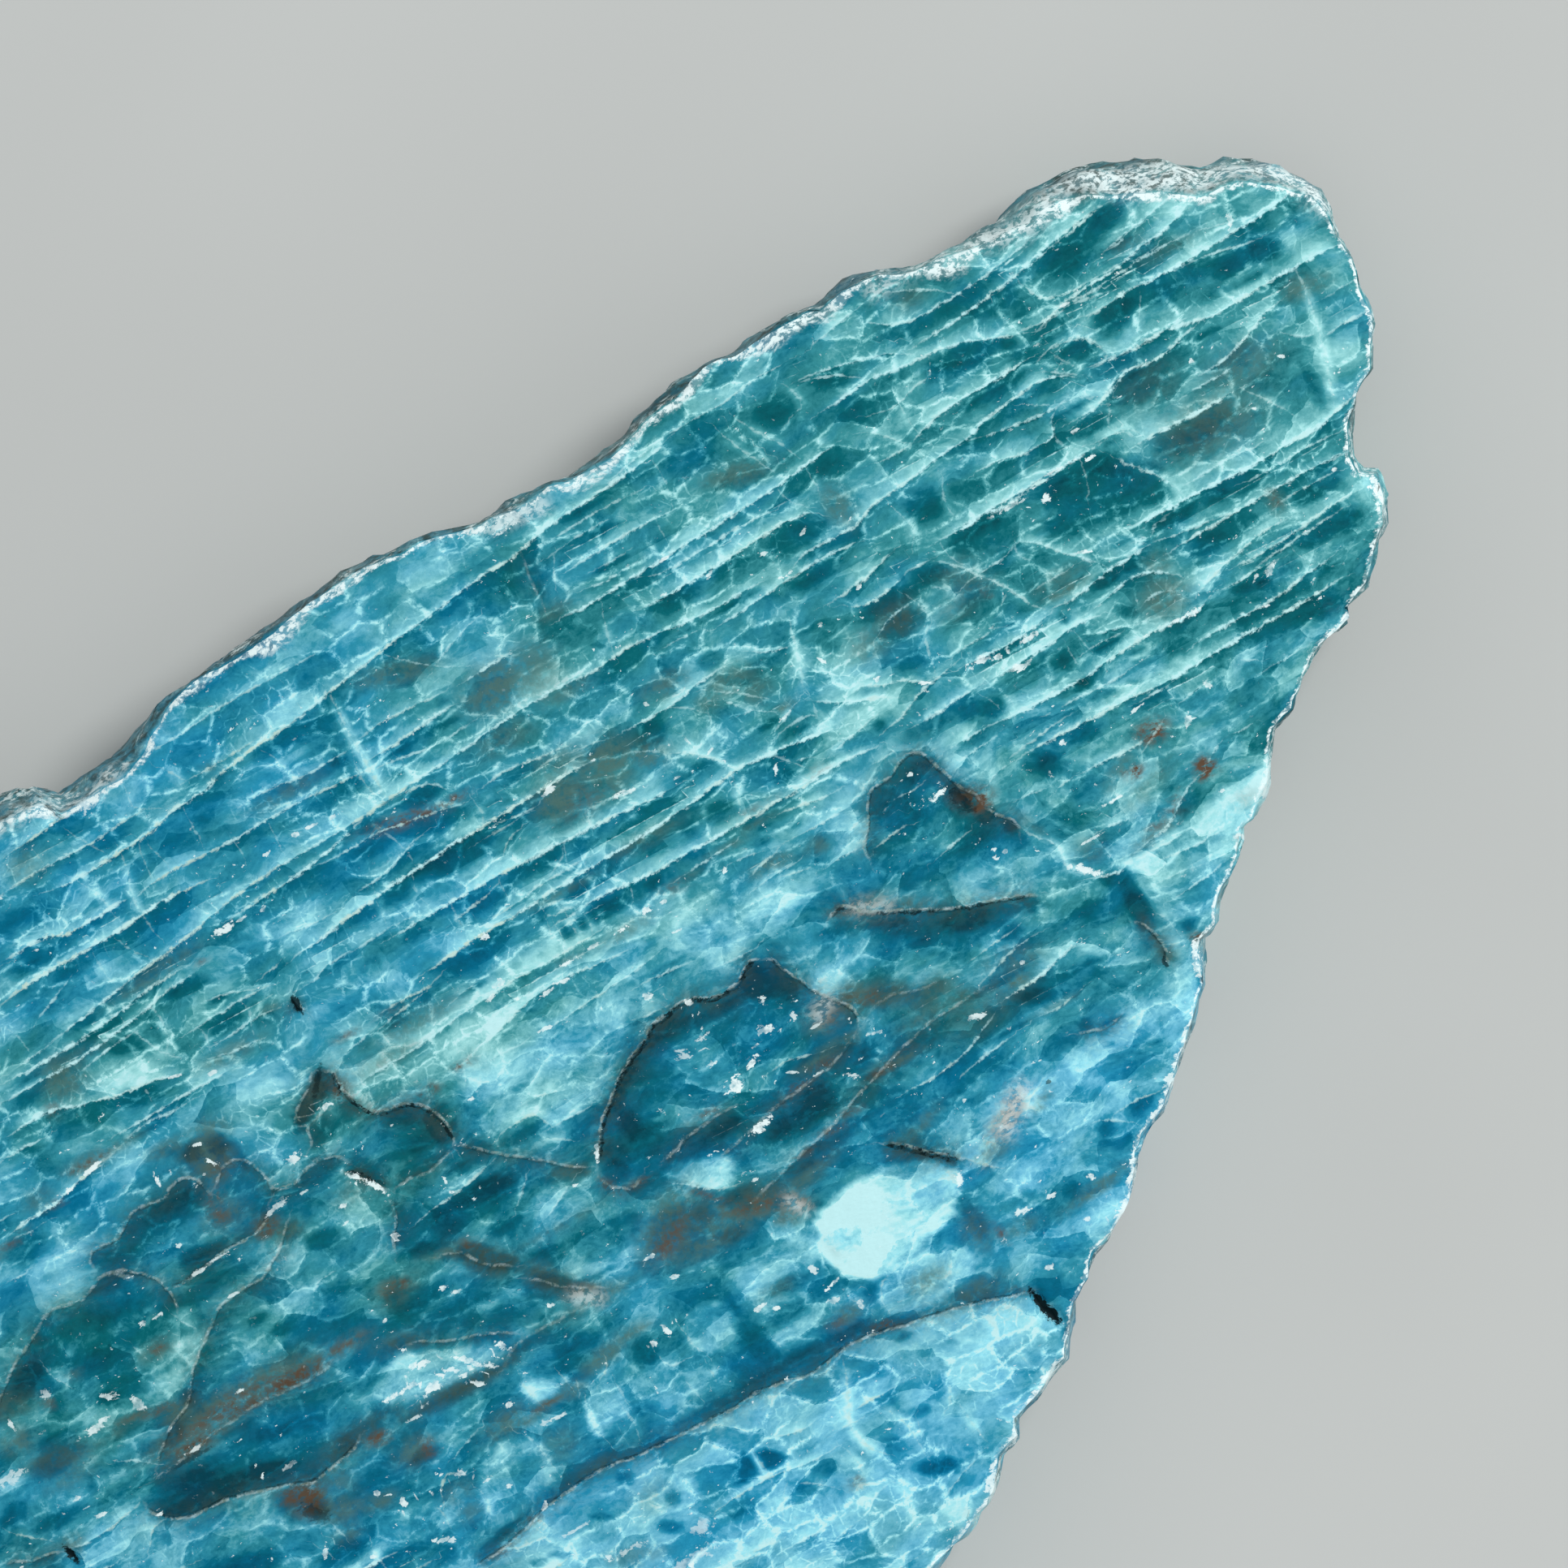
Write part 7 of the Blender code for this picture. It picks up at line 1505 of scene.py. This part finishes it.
def stone_clouds(tree, place):
    """The noises that the whole stone shares, named for what they show."""
    _, wide = cloud(tree, place, 0.35)
    fine, fine_colour = cloud(tree, place, 2.2, 3.0, 0.6)
    warp = vector(tree, "SCALE", vector(tree, "SUBTRACT", wide, MID_GREY), 1.2)
    ripple = vector(tree, "SCALE", vector(tree, "SUBTRACT", fine_colour, MID_GREY), 0.2)
    bent = vector(tree, "ADD", vector(tree, "ADD", place, warp), ripple)
    jitter, _, _ = parts_of(tree, ripple)
    mottled, netted, sandy = parts_of(tree, wide)
    _, grain = cloud(tree, sized(tree, bent, 0.9, 1.3, 1.2), 3.4, 3.0, 0.7)
    grainy, sparkle, crumbly = parts_of(tree, grain)
    _, smoke = cloud(tree, sized(tree, bent, 0.7, 1.2, 1.0), 0.5, 3.0, 0.55)
    smoky, patchy, hazy = parts_of(tree, smoke)
    uneven = remap(tree, crumbly, 0.33, 0.67, 0.15, 1.6)
    broken = remap(tree, sparkle, 0.4, 0.58, 0.0, 1.1)
    return SimpleNamespace(
        place=place, bent=bent, jitter=jitter, fine=fine, mottled=mottled, netted=netted, sandy=sandy,
        grainy=grainy, sparkle=sparkle, crumbly=crumbly, smoky=smoky, patchy=patchy, hazy=hazy,
        uneven=uneven, broken=broken)


def read_marks(tree):
    """What the attributes say of each place."""
    deep, milky, murk, rust = attribute(tree, "tones")
    patch, crust, teal, netting = attribute(tree, "marks")
    return SimpleNamespace(deep=deep, milky=milky, murk=murk, rust=rust,
                           patch=patch, crust=crust, teal=teal, netting=netting)


def vein_masks(tree, jitter, uneven):
    """The veins' bright cores, the glow about them, the shade below and the haze above."""
    masks = []
    for name in VEIN_LAYERS:
        signed, plain, strength, below = attribute(tree, name)
        signed = calc(tree, "ADD", signed, jitter)
        gap = calc(tree, "ABSOLUTE", signed)
        width = product(tree, calc(tree, "MULTIPLY_ADD", strength, 0.06, 0.025), uneven)
        core = falling(tree, calc(tree, "DIVIDE", gap, width), 0.2, 1.3)
        near = falling(tree, plain, *NEAR_LINE)
        amount = total(tree, product(tree, strength, 0.3), product(tree, below, 0.45), 0.12)
        core = product(tree, core, near, amount, uneven)
        upright = calc(tree, "SUBTRACT", strength, below)
        wisp = product(tree, calc(tree, "EXPONENT", product(tree, plain, plain, -30.0)), upright, 1.4)
        halo = total(tree, product(tree, fading(tree, plain, 4.0), strength), wisp)
        side = falling(tree, signed, -0.03, 0.02)
        fall = product(tree, fading(tree, plain, 2.1), below)
        shade = product(tree, fall, side)
        haze = product(tree, fall, calc(tree, "SUBTRACT", 1.0, side))
        masks.append((core, halo, shade, haze))
    return [strongest(tree, *layers) for layers in zip(*masks)]


def crack_masks(tree, jitter, uneven, broken):
    """The open cracks, the broken pale lip on one side, the shade on the other and the stain round them."""
    masks = []
    for name in CRACK_LAYERS:
        signed, plain, strength, _ = attribute(tree, name)
        signed = calc(tree, "ADD", signed, jitter)
        gap = calc(tree, "ABSOLUTE", signed)
        width = product(tree, calc(tree, "POWER", strength, 3.5), uneven, 0.09)
        rift = falling(tree, calc(tree, "SUBTRACT", gap, width), 0.0, 0.04)
        near = falling(tree, plain, *NEAR_LINE)
        rift = product(tree, rift, near, remap(tree, strength, 0.2, 1.0),
                       remap(tree, broken, 0.0, 1.0, 1.0, 0.45))
        ridge = calc(tree, "ABSOLUTE", calc(tree, "MULTIPLY_ADD", strength, -0.1, signed))
        lip = falling(tree, ridge, 0.02, 0.085)
        lip = product(tree, lip, near, remap(tree, strength, 0.1, 0.9, 0.1, 0.8), broken)
        side = falling(tree, signed, -0.05, 0.03)
        shade = product(tree, fading(tree, plain, 1.3), side, strength)
        stain = product(tree, fading(tree, plain, 2.5), strength)
        masks.append((rift, lip, shade, stain))
    return [strongest(tree, *layers) for layers in zip(*masks)]


def speck_mask(tree, name, ragged):
    """The specks of one layer, with ragged outlines."""
    along, side, amount, gap = attribute(tree, name)
    span = tree.nodes.new("ShaderNodeVectorMath")
    span.operation = "LENGTH"
    link_in(tree, span.inputs[0], joined(tree, along, side, 0.0))
    inside = falling(tree, calc(tree, "ADD", span.outputs["Value"], ragged), 0.75, 1.15)
    return product(tree, inside, falling(tree, gap, 0.25, 0.45), amount)


def wisp_net(tree, clouds):
    """The coarser and the finer net of pale wisps, and a tone for each facet between them."""
    x, y, z = parts_of(tree, clouds.bent)
    level = calc(tree, "MULTIPLY_ADD", z, VEIN_DIP[1], y)
    flat = joined(tree, calc(tree, "MULTIPLY", x, 0.6), product(tree, level, 1.2), 0.0)
    net_gap = cells(tree, flat, NET_CELLS, "DISTANCE_TO_EDGE", "Distance", NET_RANDOMNESS)
    facet, _, _ = parts_of(tree, cells(tree, flat, NET_CELLS, "F1", "Color", NET_RANDOMNESS))
    mesh_gap = cells(tree, joined(tree, x, level, 0.0), MESH_CELLS, "DISTANCE_TO_EDGE", "Distance")
    net = product(tree, falling(tree, net_gap, 0.0, 0.13), remap(tree, clouds.netted, 0.38, 0.52),
                  remap(tree, clouds.crumbly, 0.38, 0.62, 0.2, 1.1))
    mesh = product(tree, falling(tree, mesh_gap, 0.0, 0.11), remap(tree, clouds.patchy, 0.45, 0.65),
                   remap(tree, clouds.sparkle, 0.4, 0.6))
    return net, mesh, facet


def stone_tone(tree, clouds, marks, deep, veins, gloom, wisps):
    """How light the stone is at each place, from 0 to 1."""
    _, halo, shade, haze = veins
    net, mesh, facet = wisps
    frosty = remap(tree, clouds.patchy, 0.46, 0.53, -0.06, 0.06)
    crumbs = remap(tree, clouds.crumbly, 0.4, 0.6, -0.045, 0.045)
    coarse = remap(tree, marks.netting, 0.3, 1.0, 1.2, 0.7, "LINEAR")
    contrast = remap(tree, marks.netting, 0.5, 1.0, 1.0, 0.0, "LINEAR")
    tone = total(
        tree, BODY_TONE, marks.patch, product(tree, marks.murk, -0.07),
        swing(tree, clouds.mottled, 0.08),
        product(tree, swing(tree, clouds.smoky, 1.0), calc(tree, "MULTIPLY_ADD", contrast, 0.07, 0.14)),
        swing(tree, clouds.grainy, 0.06),
        product(tree, swing(tree, facet, 1.0, 0.0, 1.0), calc(tree, "MULTIPLY_ADD", contrast, 0.02, 0.15)),
        product(tree, calc(tree, "ADD", frosty, crumbs), coarse),
        product(tree, deep, -0.42), product(tree, marks.milky, 0.26),
        product(tree, shade, -0.54), product(tree, haze, 0.24), product(tree, halo, 0.28),
        product(tree, gloom, -0.46),
        product(tree, calc(tree, "MULTIPLY_ADD", net, 0.36, product(tree, mesh, 0.26)), marks.netting),
    )
    return calc(tree, "MULTIPLY_ADD", tone, TONE_SPAN, TONE_FLOOR)


def stone_colour(tree, clouds, marks, tone, settings):
    """The bluer and the greener stone at their tone, one mixed into the other."""
    azure = ramp(tree, tone, (settings.deep_colour, settings.clear_colour, settings.body_colour,
                              settings.light_colour, settings.milky_colour, settings.vein_colour))
    green = ramp(tree, tone, (settings.deep_teal, settings.clear_teal, settings.body_teal,
                              settings.light_teal, settings.milky_teal, settings.vein_colour))
    greener = calc(tree, "ADD", marks.teal, swing(tree, clouds.hazy, 0.28, 0.35, 0.65))
    return blend(tree, greener, azure, green)


def with_stains(tree, clouds, marks, deep, colour, settings):
    """A colour with the murk and the rust over it."""
    muddy = product(tree, marks.murk, remap(tree, clouds.fine, 0.35, 0.55, 0.4, 1.0),
                    remap(tree, clouds.grainy, 0.3, 0.55, 0.6, 1.0), 0.85)
    mud = blend(tree, calc(tree, "MULTIPLY", deep, 0.75),
                rgba(settings.murk_colour), rgba(settings.stain_colour))
    colour = blend(tree, muddy, colour, mud)
    rusty = product(tree, marks.rust, remap(tree, clouds.grainy, 0.35, 0.6, 0.2, 1.0),
                    remap(tree, clouds.fine, 0.35, 0.55, 0.7, 1.4))
    return blend(tree, rusty, colour, rgba(settings.rust_colour))


def with_lines(tree, clouds, marks, core, cracks, ragged, colour, settings):
    """A colour with the veins, the cracks and the open black spots over it."""
    rift, lip, _, stain = cracks
    sandy = product(tree, remap(tree, clouds.sandy, 0.45, 0.62),
                    remap(tree, marks.teal, 0.9, 0.2, 0.25, 0.8))
    vein = blend(tree, sandy, rgba(settings.vein_colour), rgba(settings.sand_colour))
    colour = blend(tree, product(tree, core, 0.9), colour, vein)
    pale = blend(tree, remap(tree, clouds.crumbly, 0.42, 0.55),
                 rgba(settings.sand_colour), rgba(settings.flake_and_highlight_colour))
    colour = blend(tree, product(tree, lip, 0.6), colour, pale)
    soaked = product(tree, stain, remap(tree, clouds.grainy, 0.35, 0.6, 0.25, 1.0))
    colour = blend(tree, soaked, colour, rgba(settings.stain_colour))
    dark = strongest(tree, rift, speck_mask(tree, "pits", product(tree, ragged, 0.5)))
    return blend(tree, dark, colour, rgba(settings.crack_colour))


def with_edge(tree, clouds, marks, ragged, colour, settings):
    """A colour with the flecks, the painted glints, and the skin, grime and crust of the broken edge over
    it, and a pale band along the rim that is partly chalky crust and partly painted rim light.
    """
    flakes = product(tree, strongest(tree, *[speck_mask(tree, name, ragged) for name in SPECK_LAYERS]),
                     remap(tree, clouds.fine, 0.3, 0.55, 0.25, 0.9))
    # Painted glints: tiny bright points in the flake colour, a painted highlight standing in for glints off
    # the surface.
    painted_glints = product(tree, remap(tree, clouds.sparkle, 0.66, 0.715),
                     remap(tree, clouds.sandy, 0.42, 0.6, 0.1, 0.8))
    distance, width, broken_edge, _ = attribute(tree, "rim")
    uneven_rim = calc(tree, "MULTIPLY_ADD", ragged, 0.1, distance)
    # A pale band just inside the rim of the upper face, in the flake colour: partly chalky crust, partly
    # painted rim light.
    band = falling(tree, calc(tree, "DIVIDE", uneven_rim, width), 0.6, 1.3)
    frost = product(tree, broken_edge, remap(tree, clouds.hazy, 0.48, 0.58, 0.0, 0.85),
                    remap(tree, clouds.sparkle, 0.45, 0.55))
    crust_and_rim_light = product(tree, strongest(tree, marks.crust, band, frost),
                     remap(tree, clouds.grainy, 0.42, 0.56, 0.15, 0.95))
    skin = product(tree, broken_edge, remap(tree, clouds.netted, 0.4, 0.6, 0.05, 0.6),
                   remap(tree, clouds.grainy, 0.35, 0.6, 0.2, 1.0))
    colour = blend(tree, skin, colour, rgba(settings.crust_colour))
    towards_tip, upwards, _ = parts_of(tree, clouds.place)
    far_edge = product(tree, remap(tree, upwards, 20.0, 23.0, 0.0, 0.8),
                       remap(tree, towards_tip, 25.0, 40.0, 1.0, 0.45))
    dirt = calc(tree, "ADD", remap(tree, clouds.mottled, 0.55, 0.4, 0.0, 0.7), far_edge)
    grimy = calc(tree, "MINIMUM", dirt, 0.9)
    grime = product(tree, broken_edge, grimy, remap(tree, clouds.fine, 0.35, 0.6, 1.0, 0.4))
    colour = blend(tree, grime, colour, rgba(settings.stain_colour))
    return blend(tree, strongest(tree, flakes, painted_glints, crust_and_rim_light), colour, rgba(settings.flake_and_highlight_colour))


def add_finish(tree, clouds, colour):
    """The stone's shader with its colour, its dull gloss and the finest bumps."""
    shader = tree.nodes.new("ShaderNodeBsdfPrincipled")
    link_in(tree, shader.inputs["Base Color"], colour)
    link_in(tree, shader.inputs["Roughness"], remap(tree, clouds.grainy, 0.3, 0.7, 0.32, 0.55, "LINEAR"))
    link_in(tree, shader.inputs["IOR"], 1.5)
    link_in(tree, shader.inputs["Specular IOR Level"], 0.05)
    bump = tree.nodes.new("ShaderNodeBump")
    link_in(tree, bump.inputs["Strength"], 0.3)
    link_in(tree, bump.inputs["Distance"], 0.1 * MM)
    link_in(tree, bump.inputs["Height"], cloud(tree, sized(tree, clouds.place, 0.8, 1.6, 1.2), 3.2)[0])
    link_in(tree, shader.inputs["Normal"], bump.outputs[0])
    output = tree.nodes.new("ShaderNodeOutputMaterial")
    tree.links.new(shader.outputs[0], output.inputs["Surface"])


def stone_material(settings):
    """Veined blue apatite: milky bright veins, dark clear cells, rust, chalky flakes and dark cracks."""
    material = bpy.data.materials.new("apatite")
    material.use_nodes = True
    tree = material.node_tree
    tree.nodes.clear()
    coordinates = tree.nodes.new("ShaderNodeTexCoord").outputs["Object"]
    clouds = stone_clouds(tree, vector(tree, "SCALE", coordinates, 1.0 / MM))
    veins = vein_masks(tree, calc(tree, "MULTIPLY", clouds.jitter, 0.8), clouds.uneven)
    cracks = crack_masks(tree, clouds.jitter, clouds.uneven, clouds.broken)
    wisps = wisp_net(tree, clouds)
    marks = read_marks(tree)
    ragged = swing(tree, clouds.sparkle, 1.1)
    edge = total(tree, marks.deep, product(tree, ragged, 0.06), swing(tree, wisps[2], 0.2, 0.0, 1.0))
    deep = remap(tree, edge, 0.15, 0.95)
    tone = stone_tone(tree, clouds, marks, deep, veins, cracks[2], wisps)
    colour = stone_colour(tree, clouds, marks, tone, settings)
    colour = with_stains(tree, clouds, marks, deep, colour, settings)
    colour = with_lines(tree, clouds, marks, veins[0], cracks, ragged, colour, settings)
    colour = with_edge(tree, clouds, marks, ragged, colour, settings)
    add_finish(tree, clouds, colour)
    return material


class StoneSettings(PropertyGroup):
    """The stone's fineness, relief and colours."""

    face_pitch: FloatProperty(
        name="Face pitch", description="Width of the cells cut into the upper sawn face, in millimetres",
        default=0.5, min=0.2, max=4.0)
    edge_pitch: FloatProperty(
        name="Edge pitch", description="Longest side of the facets of the natural edge, in millimetres",
        default=0.55, min=0.2, max=4.0)
    groove_depth: FloatProperty(
        name="Crack depth", description="Depth of the open cracks in the upper face, in millimetres",
        default=0.14, min=0.0, max=0.5)
    pit_depth: FloatProperty(
        name="Pit depth", description="Depth of the open dark pits in the upper face, in millimetres",
        default=0.45, min=0.0, max=1.5)
    wave_height: FloatProperty(
        name="Waviness", description="Unevenness of the upper face, in millimetres",
        default=0.06, min=0.0, max=0.3)
    chip_depth: FloatProperty(
        name="Chip depth", description="Depth of the chips along the rim of the upper face, in millimetres",
        default=0.3, min=0.0, max=1.0)
    edge_roughness: FloatProperty(
        name="Edge roughness", description="How far the broken edge juts in and out, in millimetres",
        default=0.16, min=0.0, max=0.4)
    scoop_depth: FloatProperty(
        name="Scoop depth", description="Depth of the shell-like hollows of the broken edge, in millimetres",
        default=1.1, min=0.0, max=2.0)
    deep_colour: colour_property("Deep blue", "The clear dark cells of the bluer stone", "00445E")
    clear_colour: colour_property("Clear blue", "The bluer stone between its veins", "007098")
    body_colour: colour_property("Body blue", "The middle tone of the bluer stone", "2694B8")
    light_colour: colour_property("Light blue", "Milky bluer stone beside the veins", "6EC0DD")
    milky_colour: colour_property("Milky blue", "The palest cloudy bluer stone", "9CE8F5")
    deep_teal: colour_property("Deep teal", "The clear dark cells of the greener stone", "003F47")
    clear_teal: colour_property("Clear teal", "The greener stone between its veins", "03666F")
    body_teal: colour_property("Body teal", "The middle tone of the greener stone", "3A9299")
    light_teal: colour_property("Light teal", "Milky greener stone beside the veins", "76BEC1")
    milky_teal: colour_property("Milky teal", "The palest cloudy greener stone", "A4E3E3")
    vein_colour: colour_property("Veins", "The thin pale veins", "C4F1F3")
    sand_colour: colour_property("Sandy veins", "Veins stained beige", "C2D2BC")
    murk_colour: colour_property("Murk", "Grey-green clouded stone", "4F7068")
    rust_colour: colour_property("Rust", "Iron stains along cracks", "5E4A3A")
    crack_colour: colour_property("Cracks", "The open dark cracks", "0A1E22")
    stain_colour: colour_property("Stain", "Dull brown stone beside the cracks", "35443D")
    crust_colour: colour_property("Broken edge", "The pale grey skin of the broken edge", "9DB8BA")
    # The flakes' colour is also the colour of the painted glints and of the painted rim light.
    flake_and_highlight_colour: colour_property("Flakes", "Chalky flakes and bright specks", "ECFCFB")


class StageSettings(PropertyGroup):
    """The floor, the lights and the camera."""

    floor_colour: colour_property("Floor", "The plain pale floor", "C9CBC8")
    floor_size: FloatProperty(name="Floor size", description="Length of the floor's side",
                              default=1.6, min=0.3, unit="LENGTH")
    key_power: FloatProperty(name="Key light", description="Power of the large soft light",
                             default=3.0, min=0.0, unit="POWER")
    sky_strength: FloatProperty(name="Sky", description="Strength of the even light from all round",
                                default=0.45, min=0.0)
    lens: FloatProperty(name="Lens", description="Focal length of the camera in millimetres",
                        default=240.0, min=30.0, max=400.0)


SHARP_TURN = math.radians(38.0)
FLOOR_GAP = 0.0002  # metres between the stone and the floor
FLOOR_SHADE = 0.86  # how light the floor's darker patches are, against its own tone
SKY_COLOUR = (0.93, 0.97, 1.0, 1.0)
KEY_PLACE = (0.3, 0.25, 0.5)  # metres to the right, up the picture and above the stone
KEY_SIZE = 0.3


def add_object(name, mesh, material):
    """An object of a finished mesh, standing at the origin."""
    piece = bpy.data.objects.new(name, mesh)
    bpy.context.scene.collection.objects.link(piece)
    piece.data.materials.append(material)
    return piece


class APATITE_OT_stone(Operator):
    """Cut the slice fine, work its relief in and give it its material"""

    bl_idname = "apatite.stone"
    bl_label = "Apatite slice"

    def execute(self, context):
        settings = context.scene.apatite_stone
        fine = cut_fine(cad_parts[NODE], settings)
        mesh = bpy.data.meshes.new("apatite_stone")
        fine.to_mesh(mesh)
        fine.free()
        places = place_list(mesh)
        fields = stone_fields(places)
        distance, rim = rim_distance(mesh, places)
        broken = (~(on_upper(places) | on_lower(places))).astype(float)
        fields["rim"] = np.stack([distance, rim_light_and_crust_width(places), broken, broken], axis=1)
        for name, values in fields.items():
            write_field(mesh, name, values)
        moved = worked(places, fields, distance, rim, settings)
        mesh.vertices.foreach_set("co", (moved * MM).ravel())
        mesh.update()
        mesh.shade_smooth()
        mesh.set_sharp_from_angle(angle=SHARP_TURN)
        piece = add_object("apatite_stone", mesh, stone_material(settings))
        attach(piece, "root")
        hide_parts(NODE)
        return {"FINISHED"}


def floor_material(settings):
    """A plain pale floor, very slightly uneven in tone."""
    material = bpy.data.materials.new("pale_floor")
    material.use_nodes = True
    tree = material.node_tree
    shader = tree.nodes["Principled BSDF"]
    coordinates = tree.nodes.new("ShaderNodeTexCoord").outputs["Object"]
    tone = remap(tree, cloud(tree, coordinates, 12.0, 3.0)[0], 0.3, 0.7)
    colour = rgba(settings.floor_colour)
    darker = rgba([part * FLOOR_SHADE for part in settings.floor_colour])
    link_in(tree, shader.inputs["Base Color"], blend(tree, tone, darker, colour))
    link_in(tree, shader.inputs["Roughness"], 0.75)
    return material


def add_light(name, place, aim, size, power):
    """A round soft light pointed at a place."""
    lamp = bpy.data.lights.new(name, "AREA")
    lamp.energy = power
    lamp.shape = "DISK"
    lamp.size = size
    light = bpy.data.objects.new(name, lamp)
    light.location = place
    light.rotation_euler = (Vector(aim) - Vector(place)).to_track_quat("-Z", "Y").to_euler()
    bpy.context.scene.collection.objects.link(light)
    return light


class APATITE_OT_stage(Operator):
    """Lay the floor, and set the lights and the camera"""

    bl_idname = "apatite.stage"
    bl_label = "Stage"

    def execute(self, context):
        settings = context.scene.apatite_stage
        mesh = bmesh.new()
        bmesh.ops.create_grid(mesh, x_segments=2, y_segments=2, size=settings.floor_size / 2.0)
        bmesh.ops.translate(mesh, verts=mesh.verts, vec=(0.0, 0.0, LOW[2] - FLOOR_GAP))
        data = bpy.data.meshes.new("floor")
        mesh.to_mesh(data)
        mesh.free()
        add_object("floor", data, floor_material(settings))

        middle = Vector((SEEN_MIDDLE.x * MM, SEEN_MIDDLE.y * MM, HIGH[2]))
        lens = bpy.data.cameras.new("camera")
        lens.lens = settings.lens
        lens.sensor_width = SENSOR_WIDTH
        lens.clip_start = 0.005
        camera = bpy.data.objects.new("camera", lens)
        height = SEEN_WIDTH * MM * settings.lens / SENSOR_WIDTH
        camera.location = middle + Vector((0.0, 0.0, height))
        camera.rotation_euler = Euler((0.0, 0.0, -GRAIN_TILT))
        context.scene.collection.objects.link(camera)
        context.scene.camera = camera

        up = Vector((math.sin(GRAIN_TILT), math.cos(GRAIN_TILT), 0.0))
        right = Vector((math.cos(GRAIN_TILT), -math.sin(GRAIN_TILT), 0.0))
        aside, ahead, above = KEY_PLACE
        place = middle + right * aside + up * ahead + Vector((0.0, 0.0, above))
        add_light("key", place, middle, KEY_SIZE, settings.key_power)
        world = bpy.data.worlds.new("studio")
        world.use_nodes = True
        sky = world.node_tree.nodes["Background"]
        sky.inputs["Color"].default_value = SKY_COLOUR
        sky.inputs["Strength"].default_value = settings.sky_strength
        context.scene.world = world
        context.scene.view_settings.view_transform = "Standard"
        return {"FINISHED"}


class APATITE_PT_panel(Panel):
    """Lists the pieces and what a user may change about them"""

    bl_label = "Apatite slice"
    bl_idname = "APATITE_PT_panel"
    bl_space_type = "VIEW_3D"
    bl_region_type = "UI"
    bl_category = "Apatite"

    def draw(self, context):
        for step, group in STEPS:
            box = self.layout.box()
            box.operator(step.bl_idname)
            settings = getattr(context.scene, group)
            for name in settings.__annotations__:
                box.prop(settings, name)


STEPS = ((APATITE_OT_stone, "apatite_stone"), (APATITE_OT_stage, "apatite_stage"))
CLASSES = (StoneSettings, StageSettings, APATITE_OT_stone, APATITE_OT_stage, APATITE_PT_panel)


def register():
    """Registers the classes and puts the settings on the scene."""
    for item in CLASSES:
        bpy.utils.register_class(item)
    bpy.types.Scene.apatite_stone = PointerProperty(type=StoneSettings)
    bpy.types.Scene.apatite_stage = PointerProperty(type=StageSettings)


def unregister():
    """Takes the settings and the classes away again."""
    del bpy.types.Scene.apatite_stage
    del bpy.types.Scene.apatite_stone
    for item in reversed(CLASSES):
        bpy.utils.unregister_class(item)


def main():
    """Makes the pieces and the stage."""
    register()
    bpy.ops.apatite.stone()
    bpy.ops.apatite.stage()


if __name__ == "__main__":
    main()
